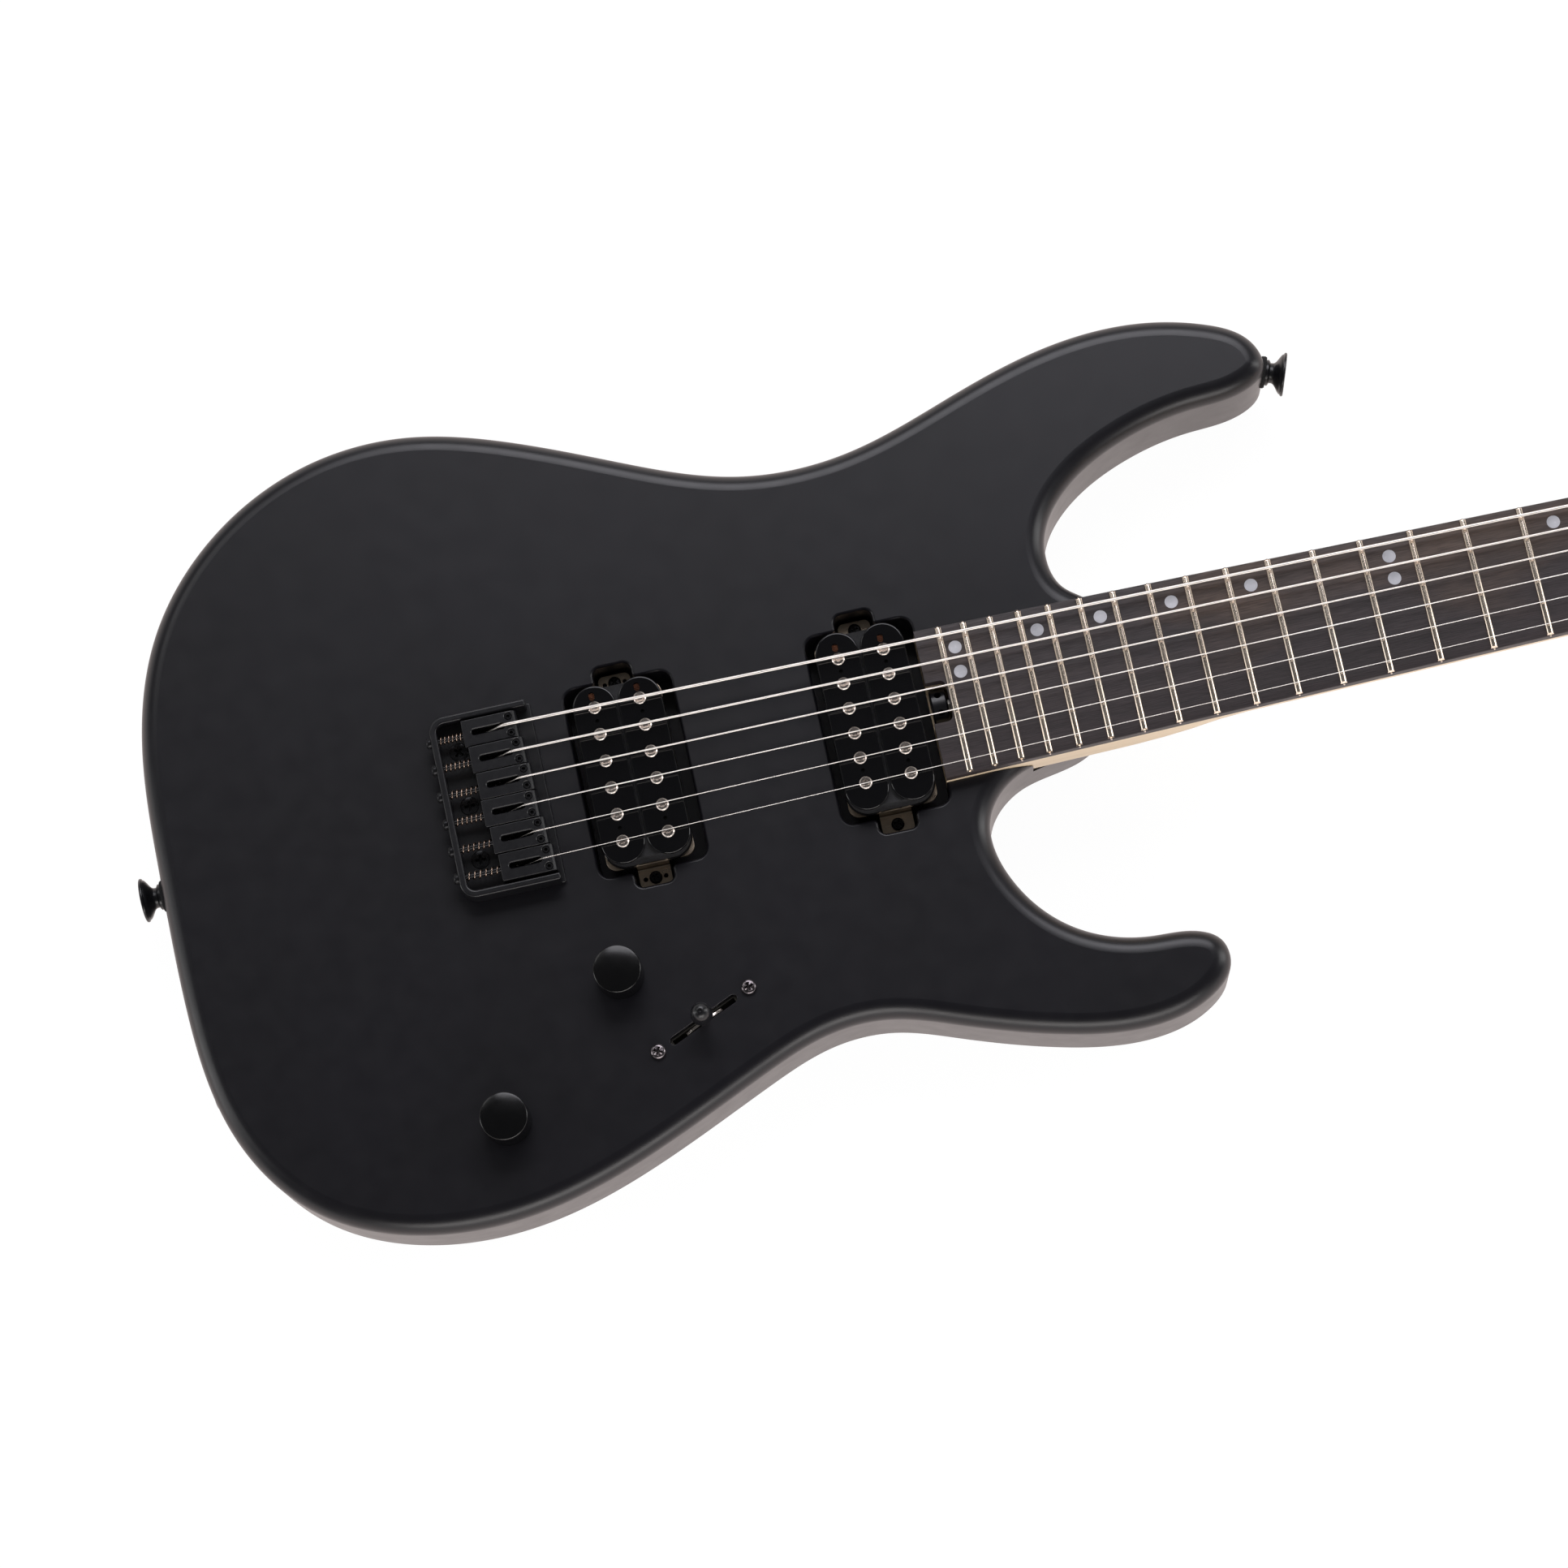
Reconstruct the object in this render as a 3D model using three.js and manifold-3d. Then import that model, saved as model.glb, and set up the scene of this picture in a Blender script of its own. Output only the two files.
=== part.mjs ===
// Electric guitar: solid body with two cutaways, bolt-on maple neck with 24 frets,
// fixed bridge with six saddles, two twin-coil pickups, six-in-line tuners.
//
// Units are millimetres. +X runs along the neck towards the headstock and is zero where
// the scale starts at the bridge, +Y points to the bass side, +Z out of the front face.
// The back face of the body lies on Z = 0, so the guitar lies on its back.

import * as THREE from 'three';
import { mergeVertices } from 'three/addons/utils/BufferGeometryUtils.js';
import Module from 'manifold-3d';

const wasm = await Module();
wasm.setup();

// ---------------------------------------------------------------- driving dimensions

const SCALE_LENGTH = 647.7;
const FRETS = 24;
const STRINGS = 6;
const SPREAD_AT_BRIDGE = 53.2;
const SPREAD_AT_NUT = 35.6;
const STRING_RADII = [0.58, 0.45, 0.33, 0.22, 0.165, 0.127];

const BODY_THICKNESS = 44.5;
const EDGE_ROUNDING = 7;
const TOP_WOOD = 5;

const BOARD_THICKNESS = 6;
const BOARD_CAMBER_RADIUS = 400;
const BOARD_OVERHANG = 9.2;
const BOARD_WIDTH_AT_NUT = 42.9;
const BOARD_WIDTH_AT_END = 58;
const FRET_HEIGHT = 1.2;
const FRET_WIDTH = 2.5;
const FRET_BITE = 0.8;
const NECK_DEPTH_AT_NUT = 14;
const NECK_DEPTH_AT_BODY = 16;
const POCKET_DEPTH = 16;
const HEEL_DEPTH = 18.2;
const NUT_LENGTH = 3.5;

const HEAD_THICKNESS = 14;
const HEAD_DROP = 9;
const POST_RADIUS = 3;
const POST_PITCH = 24.5;
const FIRST_POST = 40;
const KEY_REACH = 15;

const KNOB_RADIUS = 9;
const KNOB_HEIGHT = 16.5;
const BOBBIN_LENGTH = 69.4;
const BOBBIN_WIDTH = 16.6;
const PICKUP_TOP = 9;
const STRING_CLEARANCE_AT_NUT = 0.45;
const STRING_CLEARANCE_AT_BRIDGE = 2.7;
const BRIDGE_WIDTH = 70.7;
const PLATE_THICKNESS = 2;
const BRIDGE_WALL = 2.3;

const SEAT_GAP = 0.1;
const SIDE_GAP = 0.3;
const RUNNING_GAP = 0.2;
const THROUGH = 1;

// ---------------------------------------------------------------- derived levels

const BODY_TOP = BODY_THICKNESS;
const POCKET_FLOOR = BODY_TOP - POCKET_DEPTH;
const NECK_TOP = POCKET_FLOOR + SEAT_GAP + HEEL_DEPTH;
const BOARD_TOP = NECK_TOP + SEAT_GAP + BOARD_THICKNESS;
const FRET_TOP = BOARD_TOP + FRET_HEIGHT;
const HEAD_TOP = BOARD_TOP - HEAD_DROP;
const HEAD_BACK = HEAD_TOP - HEAD_THICKNESS;
const NUT_X = SCALE_LENGTH;
const fretX = (number) => SCALE_LENGTH * 2 ** (-number / 12);
const BOARD_END = fretX(FRETS) - BOARD_OVERHANG;
const HEEL_END = BOARD_END;
const TOP_UNDERSIDE = BODY_TOP - TOP_WOOD;
const EDGE_MIDDLE = BODY_THICKNESS / 2;

const DEGREE = Math.PI / 180;

// ---------------------------------------------------------------- solids

function toManifold(geometry) {
  const bare = geometry.clone();
  bare.deleteAttribute('normal');
  bare.deleteAttribute('uv');
  const merged = mergeVertices(bare, 1e-5);
  const vertProperties = new Float32Array(merged.attributes.position.array);
  const triVerts = new Uint32Array(merged.index.array);
  return new wasm.Manifold(new wasm.Mesh({ numProp: 3, vertProperties, triVerts }));
}

function toGeometry(manifold) {
  const mesh = manifold.getMesh();
  const geometry = new THREE.BufferGeometry();
  const positions = new Float32Array(mesh.vertProperties);
  geometry.setAttribute('position', new THREE.BufferAttribute(positions, 3));
  geometry.setIndex(new THREE.BufferAttribute(new Uint32Array(mesh.triVerts), 1));
  geometry.computeVertexNormals();
  return geometry;
}

function prismGeometry(shape, low, high, curveSegments = 3) {
  const options = { depth: high - low, bevelEnabled: false, curveSegments };
  return new THREE.ExtrudeGeometry(shape, options).translate(0, 0, low);
}

const prism = (shape, low, high, curveSegments) =>
  toManifold(prismGeometry(shape, low, high, curveSegments));

function block(lowCorner, highCorner) {
  const low = new THREE.Vector3(...lowCorner);
  const high = new THREE.Vector3(...highCorner);
  const size = high.clone().sub(low);
  const middle = high.add(low).multiplyScalar(0.5);
  const geometry = new THREE.BoxGeometry(size.x, size.y, size.z);
  return toManifold(geometry.translate(middle.x, middle.y, middle.z));
}

// A cylinder between two points.
function rod(start, end, radius, sides = 16) {
  const from = new THREE.Vector3(...start);
  const to = new THREE.Vector3(...end);
  const along = to.clone().sub(from);
  const geometry = new THREE.CylinderGeometry(radius, radius, along.length(), sides);
  const up = new THREE.Vector3(0, 1, 0);
  const turn = new THREE.Quaternion().setFromUnitVectors(up, along.normalize());
  const middle = from.add(to).multiplyScalar(0.5);
  geometry.applyQuaternion(turn).translate(middle.x, middle.y, middle.z);
  return toManifold(geometry);
}

// A turned piece about +Z, from [radius, height] pairs that start and end on the axis.
function turned(profile, sides = 20) {
  const points = profile.map(([radius, height]) => new THREE.Vector2(radius, height));
  return new THREE.LatheGeometry(points, sides).rotateX(Math.PI / 2);
}

function polygon(points) {
  return new THREE.Shape(points.map(([x, y]) => new THREE.Vector2(x, y)));
}

function roundedRectangle(x0, x1, y0, y1, radius) {
  const shape = new THREE.Shape();
  shape.moveTo(x0 + radius, y0);
  shape.lineTo(x1 - radius, y0);
  shape.absarc(x1 - radius, y0 + radius, radius, -Math.PI / 2, 0, false);
  shape.lineTo(x1, y1 - radius);
  shape.absarc(x1 - radius, y1 - radius, radius, 0, Math.PI / 2, false);
  shape.lineTo(x0 + radius, y1);
  shape.absarc(x0 + radius, y1 - radius, radius, Math.PI / 2, Math.PI, false);
  shape.lineTo(x0, y0 + radius);
  shape.absarc(x0 + radius, y0 + radius, radius, Math.PI, 1.5 * Math.PI, false);
  return shape;
}

// A slot with round ends between two points.
function capsule([x0, y0], [x1, y1], radius) {
  const angle = Math.atan2(y1 - y0, x1 - x0);
  const shape = new THREE.Shape();
  shape.absarc(x1, y1, radius, angle - Math.PI / 2, angle + Math.PI / 2, false);
  shape.absarc(x0, y0, radius, angle + Math.PI / 2, angle + 1.5 * Math.PI, false);
  return shape;
}

// A path whose cross-sections stand exactly on the points of its route.
class Route extends THREE.Curve {
  constructor(points) {
    super();
    this.points = points.map((point) => new THREE.Vector3(...point));
  }

  getPoint(t, target = new THREE.Vector3()) {
    const place = t * (this.points.length - 1);
    const index = Math.min(Math.floor(place + 1e-9), this.points.length - 2);
    return target.lerpVectors(this.points[index], this.points[index + 1], place - index);
  }

  getPointAt(u, target) {
    return this.getPoint(u, target);
  }

  getTangentAt(u, target = new THREE.Vector3()) {
    const last = this.points.length - 1;
    const index = Math.round(u * last);
    const before = this.points[Math.max(index - 1, 0)];
    const here = this.points[index];
    const after = this.points[Math.min(index + 1, last)];
    const into = here.clone().sub(before).normalize();
    const out = after.clone().sub(here).normalize();
    return target.copy(into.add(out)).normalize();
  }
}

function wire(points, radius) {
  const section = new THREE.Shape();
  section.absarc(0, 0, radius, 0, 2 * Math.PI, false);
  const options = {
    steps: points.length - 1,
    extrudePath: new Route(points),
    curveSegments: 4,
    bevelEnabled: false,
  };
  return new THREE.ExtrudeGeometry(section, options);
}

const guitar = new THREE.Group();
guitar.name = 'electric_guitar';

function finish(color, roughness, metalness) {
  return { color, roughness, metalness };
}

const SATIN_BLACK = finish(0x242428, 0.55, 0);
const MAPLE = finish(0xe3c9a4, 0.5, 0);
const EBONY = finish(0x2a2523, 0.6, 0);
const STEEL = finish(0xc9c4bc, 0.3, 1);
const BLACK_METAL = finish(0x1c1c1f, 0.4, 0.6);
const BLACK_PLASTIC = finish(0x0c0c0d, 0.2, 0);
const BRASS = finish(0x6a5436, 0.4, 1);

function place(parent, name, solid, look) {
  const geometry = solid.isBufferGeometry ? solid : toGeometry(solid);
  const mesh = new THREE.Mesh(geometry, new THREE.MeshStandardMaterial(look));
  mesh.name = name;
  parent.add(mesh);
  return mesh;
}

// ---------------------------------------------------------------- lines shared by pieces

const stringY = (index, x) => {
  const spread = SPREAD_AT_BRIDGE + ((SPREAD_AT_NUT - SPREAD_AT_BRIDGE) * x) / SCALE_LENGTH;
  return spread * (0.5 - index / (STRINGS - 1));
};

const camber = (y) => (y * y) / (2 * BOARD_CAMBER_RADIUS);

const stringBottom = (index, x) => {
  const rise = STRING_CLEARANCE_AT_BRIDGE - STRING_CLEARANCE_AT_NUT;
  const clearance = STRING_CLEARANCE_AT_NUT + rise * (1 - x / SCALE_LENGTH);
  return FRET_TOP + clearance - camber(stringY(index, x));
};

const halfBoard = (x) => {
  const share = (NUT_X - x) / (NUT_X - BOARD_END);
  return (BOARD_WIDTH_AT_NUT + (BOARD_WIDTH_AT_END - BOARD_WIDTH_AT_NUT) * share) / 2;
};

// Body outline, from the bass side of the neck joint round by the upper horn, the tail
// and the lower horn to the heel under the neck.
const OUTLINE = [
  [224, 27], [215.5, 33], [209.5, 41.5], [209, 54], [214.5, 66.5], [231, 80.5],
  [260, 91.8], [290, 95.6], [303.2, 99.4], [306.7, 108], [299.5, 119.6], [275, 129.8],
  [245, 132.6], [210, 127], [165, 112.4], [122, 103.6], [80, 113], [30, 134.7],
  [-5, 147], [-37, 151.2], [-80, 141.5], [-118, 112], [-138.6, 75], [-145, 30],
  [-145.2, -25], [-142.8, -78], [-126, -122], [-95, -146], [-52, -155.8], [-5, -148.5], [50, -127],
  [77, -115.5], [102, -110.2], [125, -114.5], [150, -123.7], [198, -135], [225, -131.7],
  [238.5, -123], [242, -113.5], [236.5, -105], [225, -102.5], [203, -99.5], [178, -84.5],
  [164.5, -54], [171, -36], [190, -27.5], [208, -24], [216, -15], [221, 2], [225, 17],
];
const STEPS_BETWEEN_KNOTS = 2;

const OUTLINE_POINTS = (() => {
  const knots = OUTLINE.map(([x, y]) => new THREE.Vector3(x, y, 0));
  const curve = new THREE.CatmullRomCurve3(knots, true, 'centripetal');
  return curve.getPoints(OUTLINE.length * STEPS_BETWEEN_KNOTS).slice(0, -1);
})();

// The place where a line from a point inside the body leaves its outline.
function edgeFrom([x, y], angle) {
  const [cosine, sine] = [Math.cos(angle * DEGREE), Math.sin(angle * DEGREE)];
  let nearest = Infinity;
  OUTLINE_POINTS.forEach((start, index) => {
    const end = OUTLINE_POINTS[(index + 1) % OUTLINE_POINTS.length];
    const before = cosine * (start.y - y) - sine * (start.x - x);
    const after = cosine * (end.y - y) - sine * (end.x - x);
    if (before * after <= 0 && before !== after) {
      const share = before / (before - after);
      const alongStart = cosine * (start.x - x) + sine * (start.y - y);
      const alongEnd = cosine * (end.x - x) + sine * (end.y - y);
      const distance = alongStart + (alongEnd - alongStart) * share;
      nearest = distance > 0 ? Math.min(nearest, distance) : nearest;
    }
  });
  return [x + cosine * nearest, y + sine * nearest];
}

// Bridge places. Each saddle's crown stands a little further back on the bass side.
const BRIDGE_FRONT = 4;
const BRIDGE_REAR = -33.7;
const BRIDGE_CORNER = 6;
const BRIDGE_WALL_TOP = BODY_TOP + 10;
const PLATE_TOP = BODY_TOP + SEAT_GAP + PLATE_THICKNESS;
const CROWN_BACKSET = [4.2, 3.2, 2.4, 2.6, 1.4, 0.4];
const STRING_HOLE_BEHIND = 10.5;
const STRING_HOLE_RADIUS = 1.8;
const stringHoleX = (index) => -CROWN_BACKSET[index] - STRING_HOLE_BEHIND;
const FERRULE_RADIUS = 4;
const FERRULE_DEPTH = 10;

// Pickups: middle of the pair of coils, with the rout round it.
const BRIDGE_PICKUP_X = 38;
const NECK_PICKUP_BEHIND_BOARD = 21.2;
const NECK_PICKUP_X = BOARD_END - NECK_PICKUP_BEHIND_BOARD;
const COIL_SPACING = 17.4;
const ROUT_HALF_LENGTH = BOBBIN_LENGTH / 2 + 2.3;
const ROUT_BEHIND = (COIL_SPACING + BOBBIN_WIDTH) / 2 + 3;
const BRIDGE_ROUT_AHEAD = ROUT_BEHIND + 1.5;
const ROUT_DEPTH = 20;
const ROUT_CORNER = 4;
const TAB_REACH = BOBBIN_LENGTH / 2 + 7.3;
const TAB_HALF_WIDTH = 6.2;
const TAB_ROUT_ROOM = 1.2;
const TAB_ROUT_CORNER = 3;
const LEG_DROP = 7;

// Controls.
const VOLUME_AT = [17.6, -74.4];
const TONE_AT = [-34.5, -119.2];
const SWITCH_AT = [44.7, -97.4];
const SWITCH_TURN = 23.5;
const SWITCH_SCREW_SPACING = 41.5;
const SWITCH_SLOT_LENGTH = 30;
const SWITCH_SLOT_WIDTH = 3;
const SWITCH_PIVOT_DEPTH = 19;
const POT_BUSHING_RADIUS = 3.8;
const COVER_LEDGE = 6;
const COVER_THICKNESS = 2;
const COVER_RECESS = COVER_THICKNESS + SIDE_GAP;

const JACK_Y = -78;
const JACK_RADIUS = 9.5;
const JACK_LENGTH = 34;
const JACK_RECESS = 0.6;
const JACK_WIRE_ROOM = 4;
const WIRE_HOLE_RADIUS = 3;
const JACK_FACE_X = edgeFrom([0, JACK_Y], 180)[0] + JACK_RECESS;
const SOCKET_RADIUS = 3.4;
const SOCKET_DEPTH = 28;

const END_BUTTON_AT = edgeFrom([0, -2.2], 180);
const HORN_BUTTON_TURN = -19.6;
const HORN_BUTTON_AT = edgeFrom([285, 111], HORN_BUTTON_TURN);
const BUTTON_SCREW_RADIUS = 2.2;
const BUTTON_SCREW_LENGTH = 22;

const HEEL_LENGTH = edgeFrom([0, 0], 0)[0] - HEEL_END;
const NECK_SCREW_SHARES = [0.21, 0.68];
const NECK_SCREW_Y = 14;
const NECK_SCREW_RADIUS = 2.3;
const NECK_SCREW_HEAD_RADIUS = 5;
const NECK_SCREW_HEAD_HEIGHT = 3.5;
const NECK_SCREW_BITE = 13;

const WHEEL_RADIUS = 7;
const WHEEL_THICKNESS = 6;
const WHEEL_NOTCH = WHEEL_THICKNESS + 2 * SIDE_GAP + 1;
const ROD_RADIUS = 3;
const ROD_AXIS_Z = NECK_TOP - ROD_RADIUS - 1;
const ROD_END_FROM_NUT = 22;

// ---------------------------------------------------------------- body

function routAt(x, ahead) {
  const floor = BODY_TOP - ROUT_DEPTH;
  const top = BODY_TOP + THROUGH;
  const main = roundedRectangle(
    x - ROUT_BEHIND, x + ahead, -ROUT_HALF_LENGTH, ROUT_HALF_LENGTH, ROUT_CORNER);
  const half = TAB_HALF_WIDTH + TAB_ROUT_ROOM;
  const reach = TAB_REACH + TAB_ROUT_ROOM;
  const tabs = roundedRectangle(x - half, x + half, -reach, reach, TAB_ROUT_CORNER);
  return prism(main, floor, top, 1).add(prism(tabs, floor, top, 1));
}

function switchEnds(length) {
  const half = length / 2;
  const along = [Math.cos(SWITCH_TURN * DEGREE) * half, Math.sin(SWITCH_TURN * DEGREE) * half];
  const [x, y] = SWITCH_AT;
  return [[x - along[0], y - along[1]], [x + along[0], y + along[1]]];
}

// The control cavity's plan, or the wider one of its cover's ledge.
const POT_ROOM = 16.5;
const SWITCH_ROOM = 12.5;

function controlPlan(grow, low, high) {
  const potRoom = POT_ROOM + grow;
  const switchRoom = SWITCH_ROOM + grow;
  const between = [(VOLUME_AT[0] + TONE_AT[0]) / 2, (VOLUME_AT[1] + TONE_AT[1]) / 2];
  const [rearEnd, frontEnd] = switchEnds(SWITCH_SCREW_SPACING);
  return prism(capsule(TONE_AT, VOLUME_AT, potRoom), low, high)
    .add(prism(capsule(rearEnd, frontEnd, switchRoom), low, high))
    .add(prism(capsule(between, SWITCH_AT, potRoom), low, high));
}

function neckScrewPlaces() {
  return NECK_SCREW_SHARES.flatMap((share) => [
    [HEEL_END + share * HEEL_LENGTH, NECK_SCREW_Y],
    [HEEL_END + share * HEEL_LENGTH, -NECK_SCREW_Y],
  ]);
}

// The heel block's plan, or with a gap the plan of the pocket that holds it.
function heelPlan(from, to, gap) {
  return polygon([
    [from, -halfBoard(from) - gap],
    [to, -halfBoard(to) - gap],
    [to, halfBoard(to) + gap],
    [from, halfBoard(from) + gap],
  ]);
}

function makeBody() {
  const options = {
    depth: BODY_THICKNESS - 2 * EDGE_ROUNDING,
    bevelEnabled: true,
    bevelThickness: EDGE_ROUNDING,
    bevelSize: EDGE_ROUNDING,
    bevelOffset: -EDGE_ROUNDING,
    bevelSegments: 2,
  };
  const plan = polygon(OUTLINE_POINTS.map((point) => [point.x, point.y]));
  const slab = new THREE.ExtrudeGeometry(plan, options);
  let body = toManifold(slab.translate(0, 0, EDGE_ROUNDING));

  const above = BODY_TOP + THROUGH;
  const pocket = heelPlan(HEEL_END - SIDE_GAP, HEEL_END + 120, SIDE_GAP);
  body = body.subtract(prism(pocket, POCKET_FLOOR, above));
  body = body.subtract(routAt(BRIDGE_PICKUP_X, BRIDGE_ROUT_AHEAD));
  body = body.subtract(routAt(NECK_PICKUP_X, NECK_PICKUP_BEHIND_BOARD));

  body = body.subtract(controlPlan(COVER_LEDGE, -THROUGH, COVER_RECESS));
  body = body.subtract(controlPlan(0, -THROUGH, TOP_UNDERSIDE));
  for (const [x, y] of [VOLUME_AT, TONE_AT]) {
    const hole = POT_BUSHING_RADIUS + SIDE_GAP;
    body = body.subtract(rod([x, y, TOP_UNDERSIDE - THROUGH], [x, y, above], hole, 12));
  }
  const slot = capsule(...switchEnds(SWITCH_SLOT_LENGTH - SWITCH_SLOT_WIDTH), SWITCH_SLOT_WIDTH / 2);
  body = body.subtract(prism(slot, TOP_UNDERSIDE - THROUGH, above, 2));

  for (let index = 0; index < STRINGS; index += 1) {
    const x = stringHoleX(index);
    const y = stringY(index, 0);
    body = body.subtract(rod([x, y, FERRULE_DEPTH - THROUGH], [x, y, above], STRING_HOLE_RADIUS, 6));
    body = body.subtract(rod([x, y, -THROUGH], [x, y, FERRULE_DEPTH], FERRULE_RADIUS, 10));
  }

  const jackFloor = JACK_FACE_X + JACK_LENGTH + JACK_WIRE_ROOM;
  const jackStart = [JACK_FACE_X - 20, JACK_Y, EDGE_MIDDLE];
  body = body.subtract(rod(jackStart, [jackFloor, JACK_Y, EDGE_MIDDLE], JACK_RADIUS + SIDE_GAP, 16));
  const wireStart = [jackFloor - JACK_WIRE_ROOM, JACK_Y, EDGE_MIDDLE];
  const wireEnd = [TONE_AT[0], TONE_AT[1], EDGE_MIDDLE];
  body = body.subtract(rod(wireStart, wireEnd, WIRE_HOLE_RADIUS, 6));

  const [endX, endY] = END_BUTTON_AT;
  const hole = BUTTON_SCREW_RADIUS + SIDE_GAP;
  const endStop = [endX + BUTTON_SCREW_LENGTH + SIDE_GAP, endY, EDGE_MIDDLE];
  body = body.subtract(rod([endX - 5, endY, EDGE_MIDDLE], endStop, hole, 8));
  const [hornX, hornY] = HORN_BUTTON_AT;
  const cosine = Math.cos(HORN_BUTTON_TURN * DEGREE);
  const sine = Math.sin(HORN_BUTTON_TURN * DEGREE);
  const reach = BUTTON_SCREW_LENGTH + SIDE_GAP;
  const hornStop = [hornX - cosine * reach, hornY - sine * reach, EDGE_MIDDLE];
  const hornMouth = [hornX + cosine * 5, hornY + sine * 5, EDGE_MIDDLE];
  body = body.subtract(rod(hornMouth, hornStop, hole, 8));

  for (const [x, y] of neckScrewPlaces()) {
    const recess = NECK_SCREW_HEAD_HEIGHT + 2 * SIDE_GAP;
    body = body.subtract(rod([x, y, -THROUGH], [x, y, above], NECK_SCREW_RADIUS + SIDE_GAP, 8));
    body = body.subtract(rod([x, y, -THROUGH], [x, y, recess], NECK_SCREW_HEAD_RADIUS + SIDE_GAP, 12));
  }
  return body;
}

// ---------------------------------------------------------------- neck and headstock

const HEEL_BLOCK_END = HEEL_END + 70;
const SHAFT_START = HEEL_END + 30;
const SHAFT_BLEND_START = HEEL_END + 68;
const SHAFT_BLEND_LENGTH = 45;
const SHAFT_END = NUT_X + NUT_LENGTH + 1.5;

const smooth = (value) => {
  const clamped = Math.min(Math.max(value, 0), 1);
  return clamped * clamped * (3 - 2 * clamped);
};

// The back of the neck: nearly square at the heel, then a rounded D that thins to the nut.
function makeShaft() {
  const sides = 5;
  const half = new THREE.Shape();
  half.absarc(0, 0, 1, Math.PI, 2 * Math.PI, false);
  const steps = 18;
  const options = { depth: 1, steps, bevelEnabled: false, curveSegments: sides };
  const geometry = new THREE.ExtrudeGeometry(half, options);
  const positions = geometry.attributes.position;
  for (let index = 0; index < positions.count; index += 1) {
    const angle = Math.atan2(positions.getY(index), positions.getX(index));
    const share = positions.getZ(index) ** 1.6;
    const x = SHAFT_START + (SHAFT_END - SHAFT_START) * share;
    const blend = smooth((x - SHAFT_BLEND_START) / SHAFT_BLEND_LENGTH);
    const along = (NUT_X - x) / (NUT_X - HEEL_END);
    const slim = NECK_DEPTH_AT_NUT + (NECK_DEPTH_AT_BODY - NECK_DEPTH_AT_NUT) * along;
    const depth = HEEL_DEPTH - 0.05 + (slim - HEEL_DEPTH + 0.05) * blend;
    const power = 2 / (9 + (2.5 - 9) * blend);
    const side = Math.sign(Math.cos(angle)) * Math.abs(Math.cos(angle)) ** power;
    const down = Math.abs(Math.sin(angle)) ** power;
    positions.setXYZ(index, x, side * halfBoard(x), NECK_TOP - down * depth);
  }
  return toManifold(geometry);
}

// Tuner posts stand in one slanted row, each beside the straight run of its own string.
const WRAP_GAP = 0.15;
const WRAP_TURNS = 1.5;
const WRAP_STEPS = 12;
const WAIST_RADIUS = POST_RADIUS - 0.5;
const wrapRadius = (index) => {
  const straightStep = Math.cos((Math.PI * WRAP_TURNS) / WRAP_STEPS);
  return (WAIST_RADIUS + STRING_RADII[index] + WRAP_GAP) / straightStep;
};
const postPlace = (index) => [
  NUT_X + FIRST_POST + POST_PITCH * index,
  stringY(index, NUT_X) + wrapRadius(index),
];
const [firstPost, lastPost] = [postPlace(0), postPlace(STRINGS - 1)];
const ROW_TURN = Math.atan2(lastPost[1] - firstPost[1], lastPost[0] - firstPost[0]);
const HEAD_EDGE_FROM_POSTS = 11.5;

function beside([x, y], along, across) {
  const cosine = Math.cos(ROW_TURN);
  const sine = Math.sin(ROW_TURN);
  return [x + cosine * along - sine * across, y + sine * along + cosine * across];
}

function headPlan() {
  const [bassStartX, bassStartY] = beside(firstPost, -15, HEAD_EDGE_FROM_POSTS);
  const [bassEndX, bassEndY] = beside(lastPost, 10, HEAD_EDGE_FROM_POSTS);
  const [tipX, tipY] = beside(lastPost, 23, -5);
  const [lowX, lowY] = beside(lastPost, 12, -19);
  const half = halfBoard(NUT_X);
  const start = NUT_X - 3;
  const shape = new THREE.Shape();
  shape.moveTo(start, -half);
  shape.lineTo(NUT_X + 8, -half);
  shape.quadraticCurveTo(NUT_X + 24, -half, NUT_X + 40, -half - 2.5);
  shape.lineTo(lowX - 6, lowY + 0.6);
  shape.quadraticCurveTo(lowX + 8, lowY, tipX, tipY);
  shape.quadraticCurveTo(tipX - 1, tipY + 12, bassEndX, bassEndY);
  shape.lineTo(bassStartX, bassStartY);
  shape.quadraticCurveTo(bassStartX - 10, bassStartY + 2.5, bassStartX - 15, half + 3);
  shape.quadraticCurveTo(NUT_X + 7, half, NUT_X + 2, half);
  shape.lineTo(start, half);
  return shape;
}

// Seen from the side, the face drops behind the nut and the back sweeps down to the slab.
function headSide() {
  const shelf = NUT_X + NUT_LENGTH + 1;
  const shape = new THREE.Shape();
  shape.moveTo(NUT_X - 40, NECK_TOP);
  shape.lineTo(shelf, NECK_TOP);
  shape.quadraticCurveTo(shelf + 3, HEAD_TOP, shelf + 14, HEAD_TOP);
  shape.lineTo(NUT_X + 260, HEAD_TOP);
  shape.lineTo(NUT_X + 260, HEAD_BACK);
  shape.lineTo(NUT_X + 20, HEAD_BACK);
  shape.quadraticCurveTo(NUT_X + 4, HEAD_BACK, NUT_X - 3, NECK_TOP - NECK_DEPTH_AT_NUT + 1);
  shape.lineTo(NUT_X - 40, NECK_TOP - NECK_DEPTH_AT_NUT + 1);
  return shape;
}

const HOUSING_TUBE_RADIUS = 4.6;
const TREE_STRINGS = [2, 4];
const TREE_X = [NUT_X + 42, NUT_X + 64];
const TREE_STEM_RADIUS = 1.6;
const treeY = (pair) => (stringY(TREE_STRINGS[pair], NUT_X) + stringY(TREE_STRINGS[pair] + 1, NUT_X)) / 2;

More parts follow.
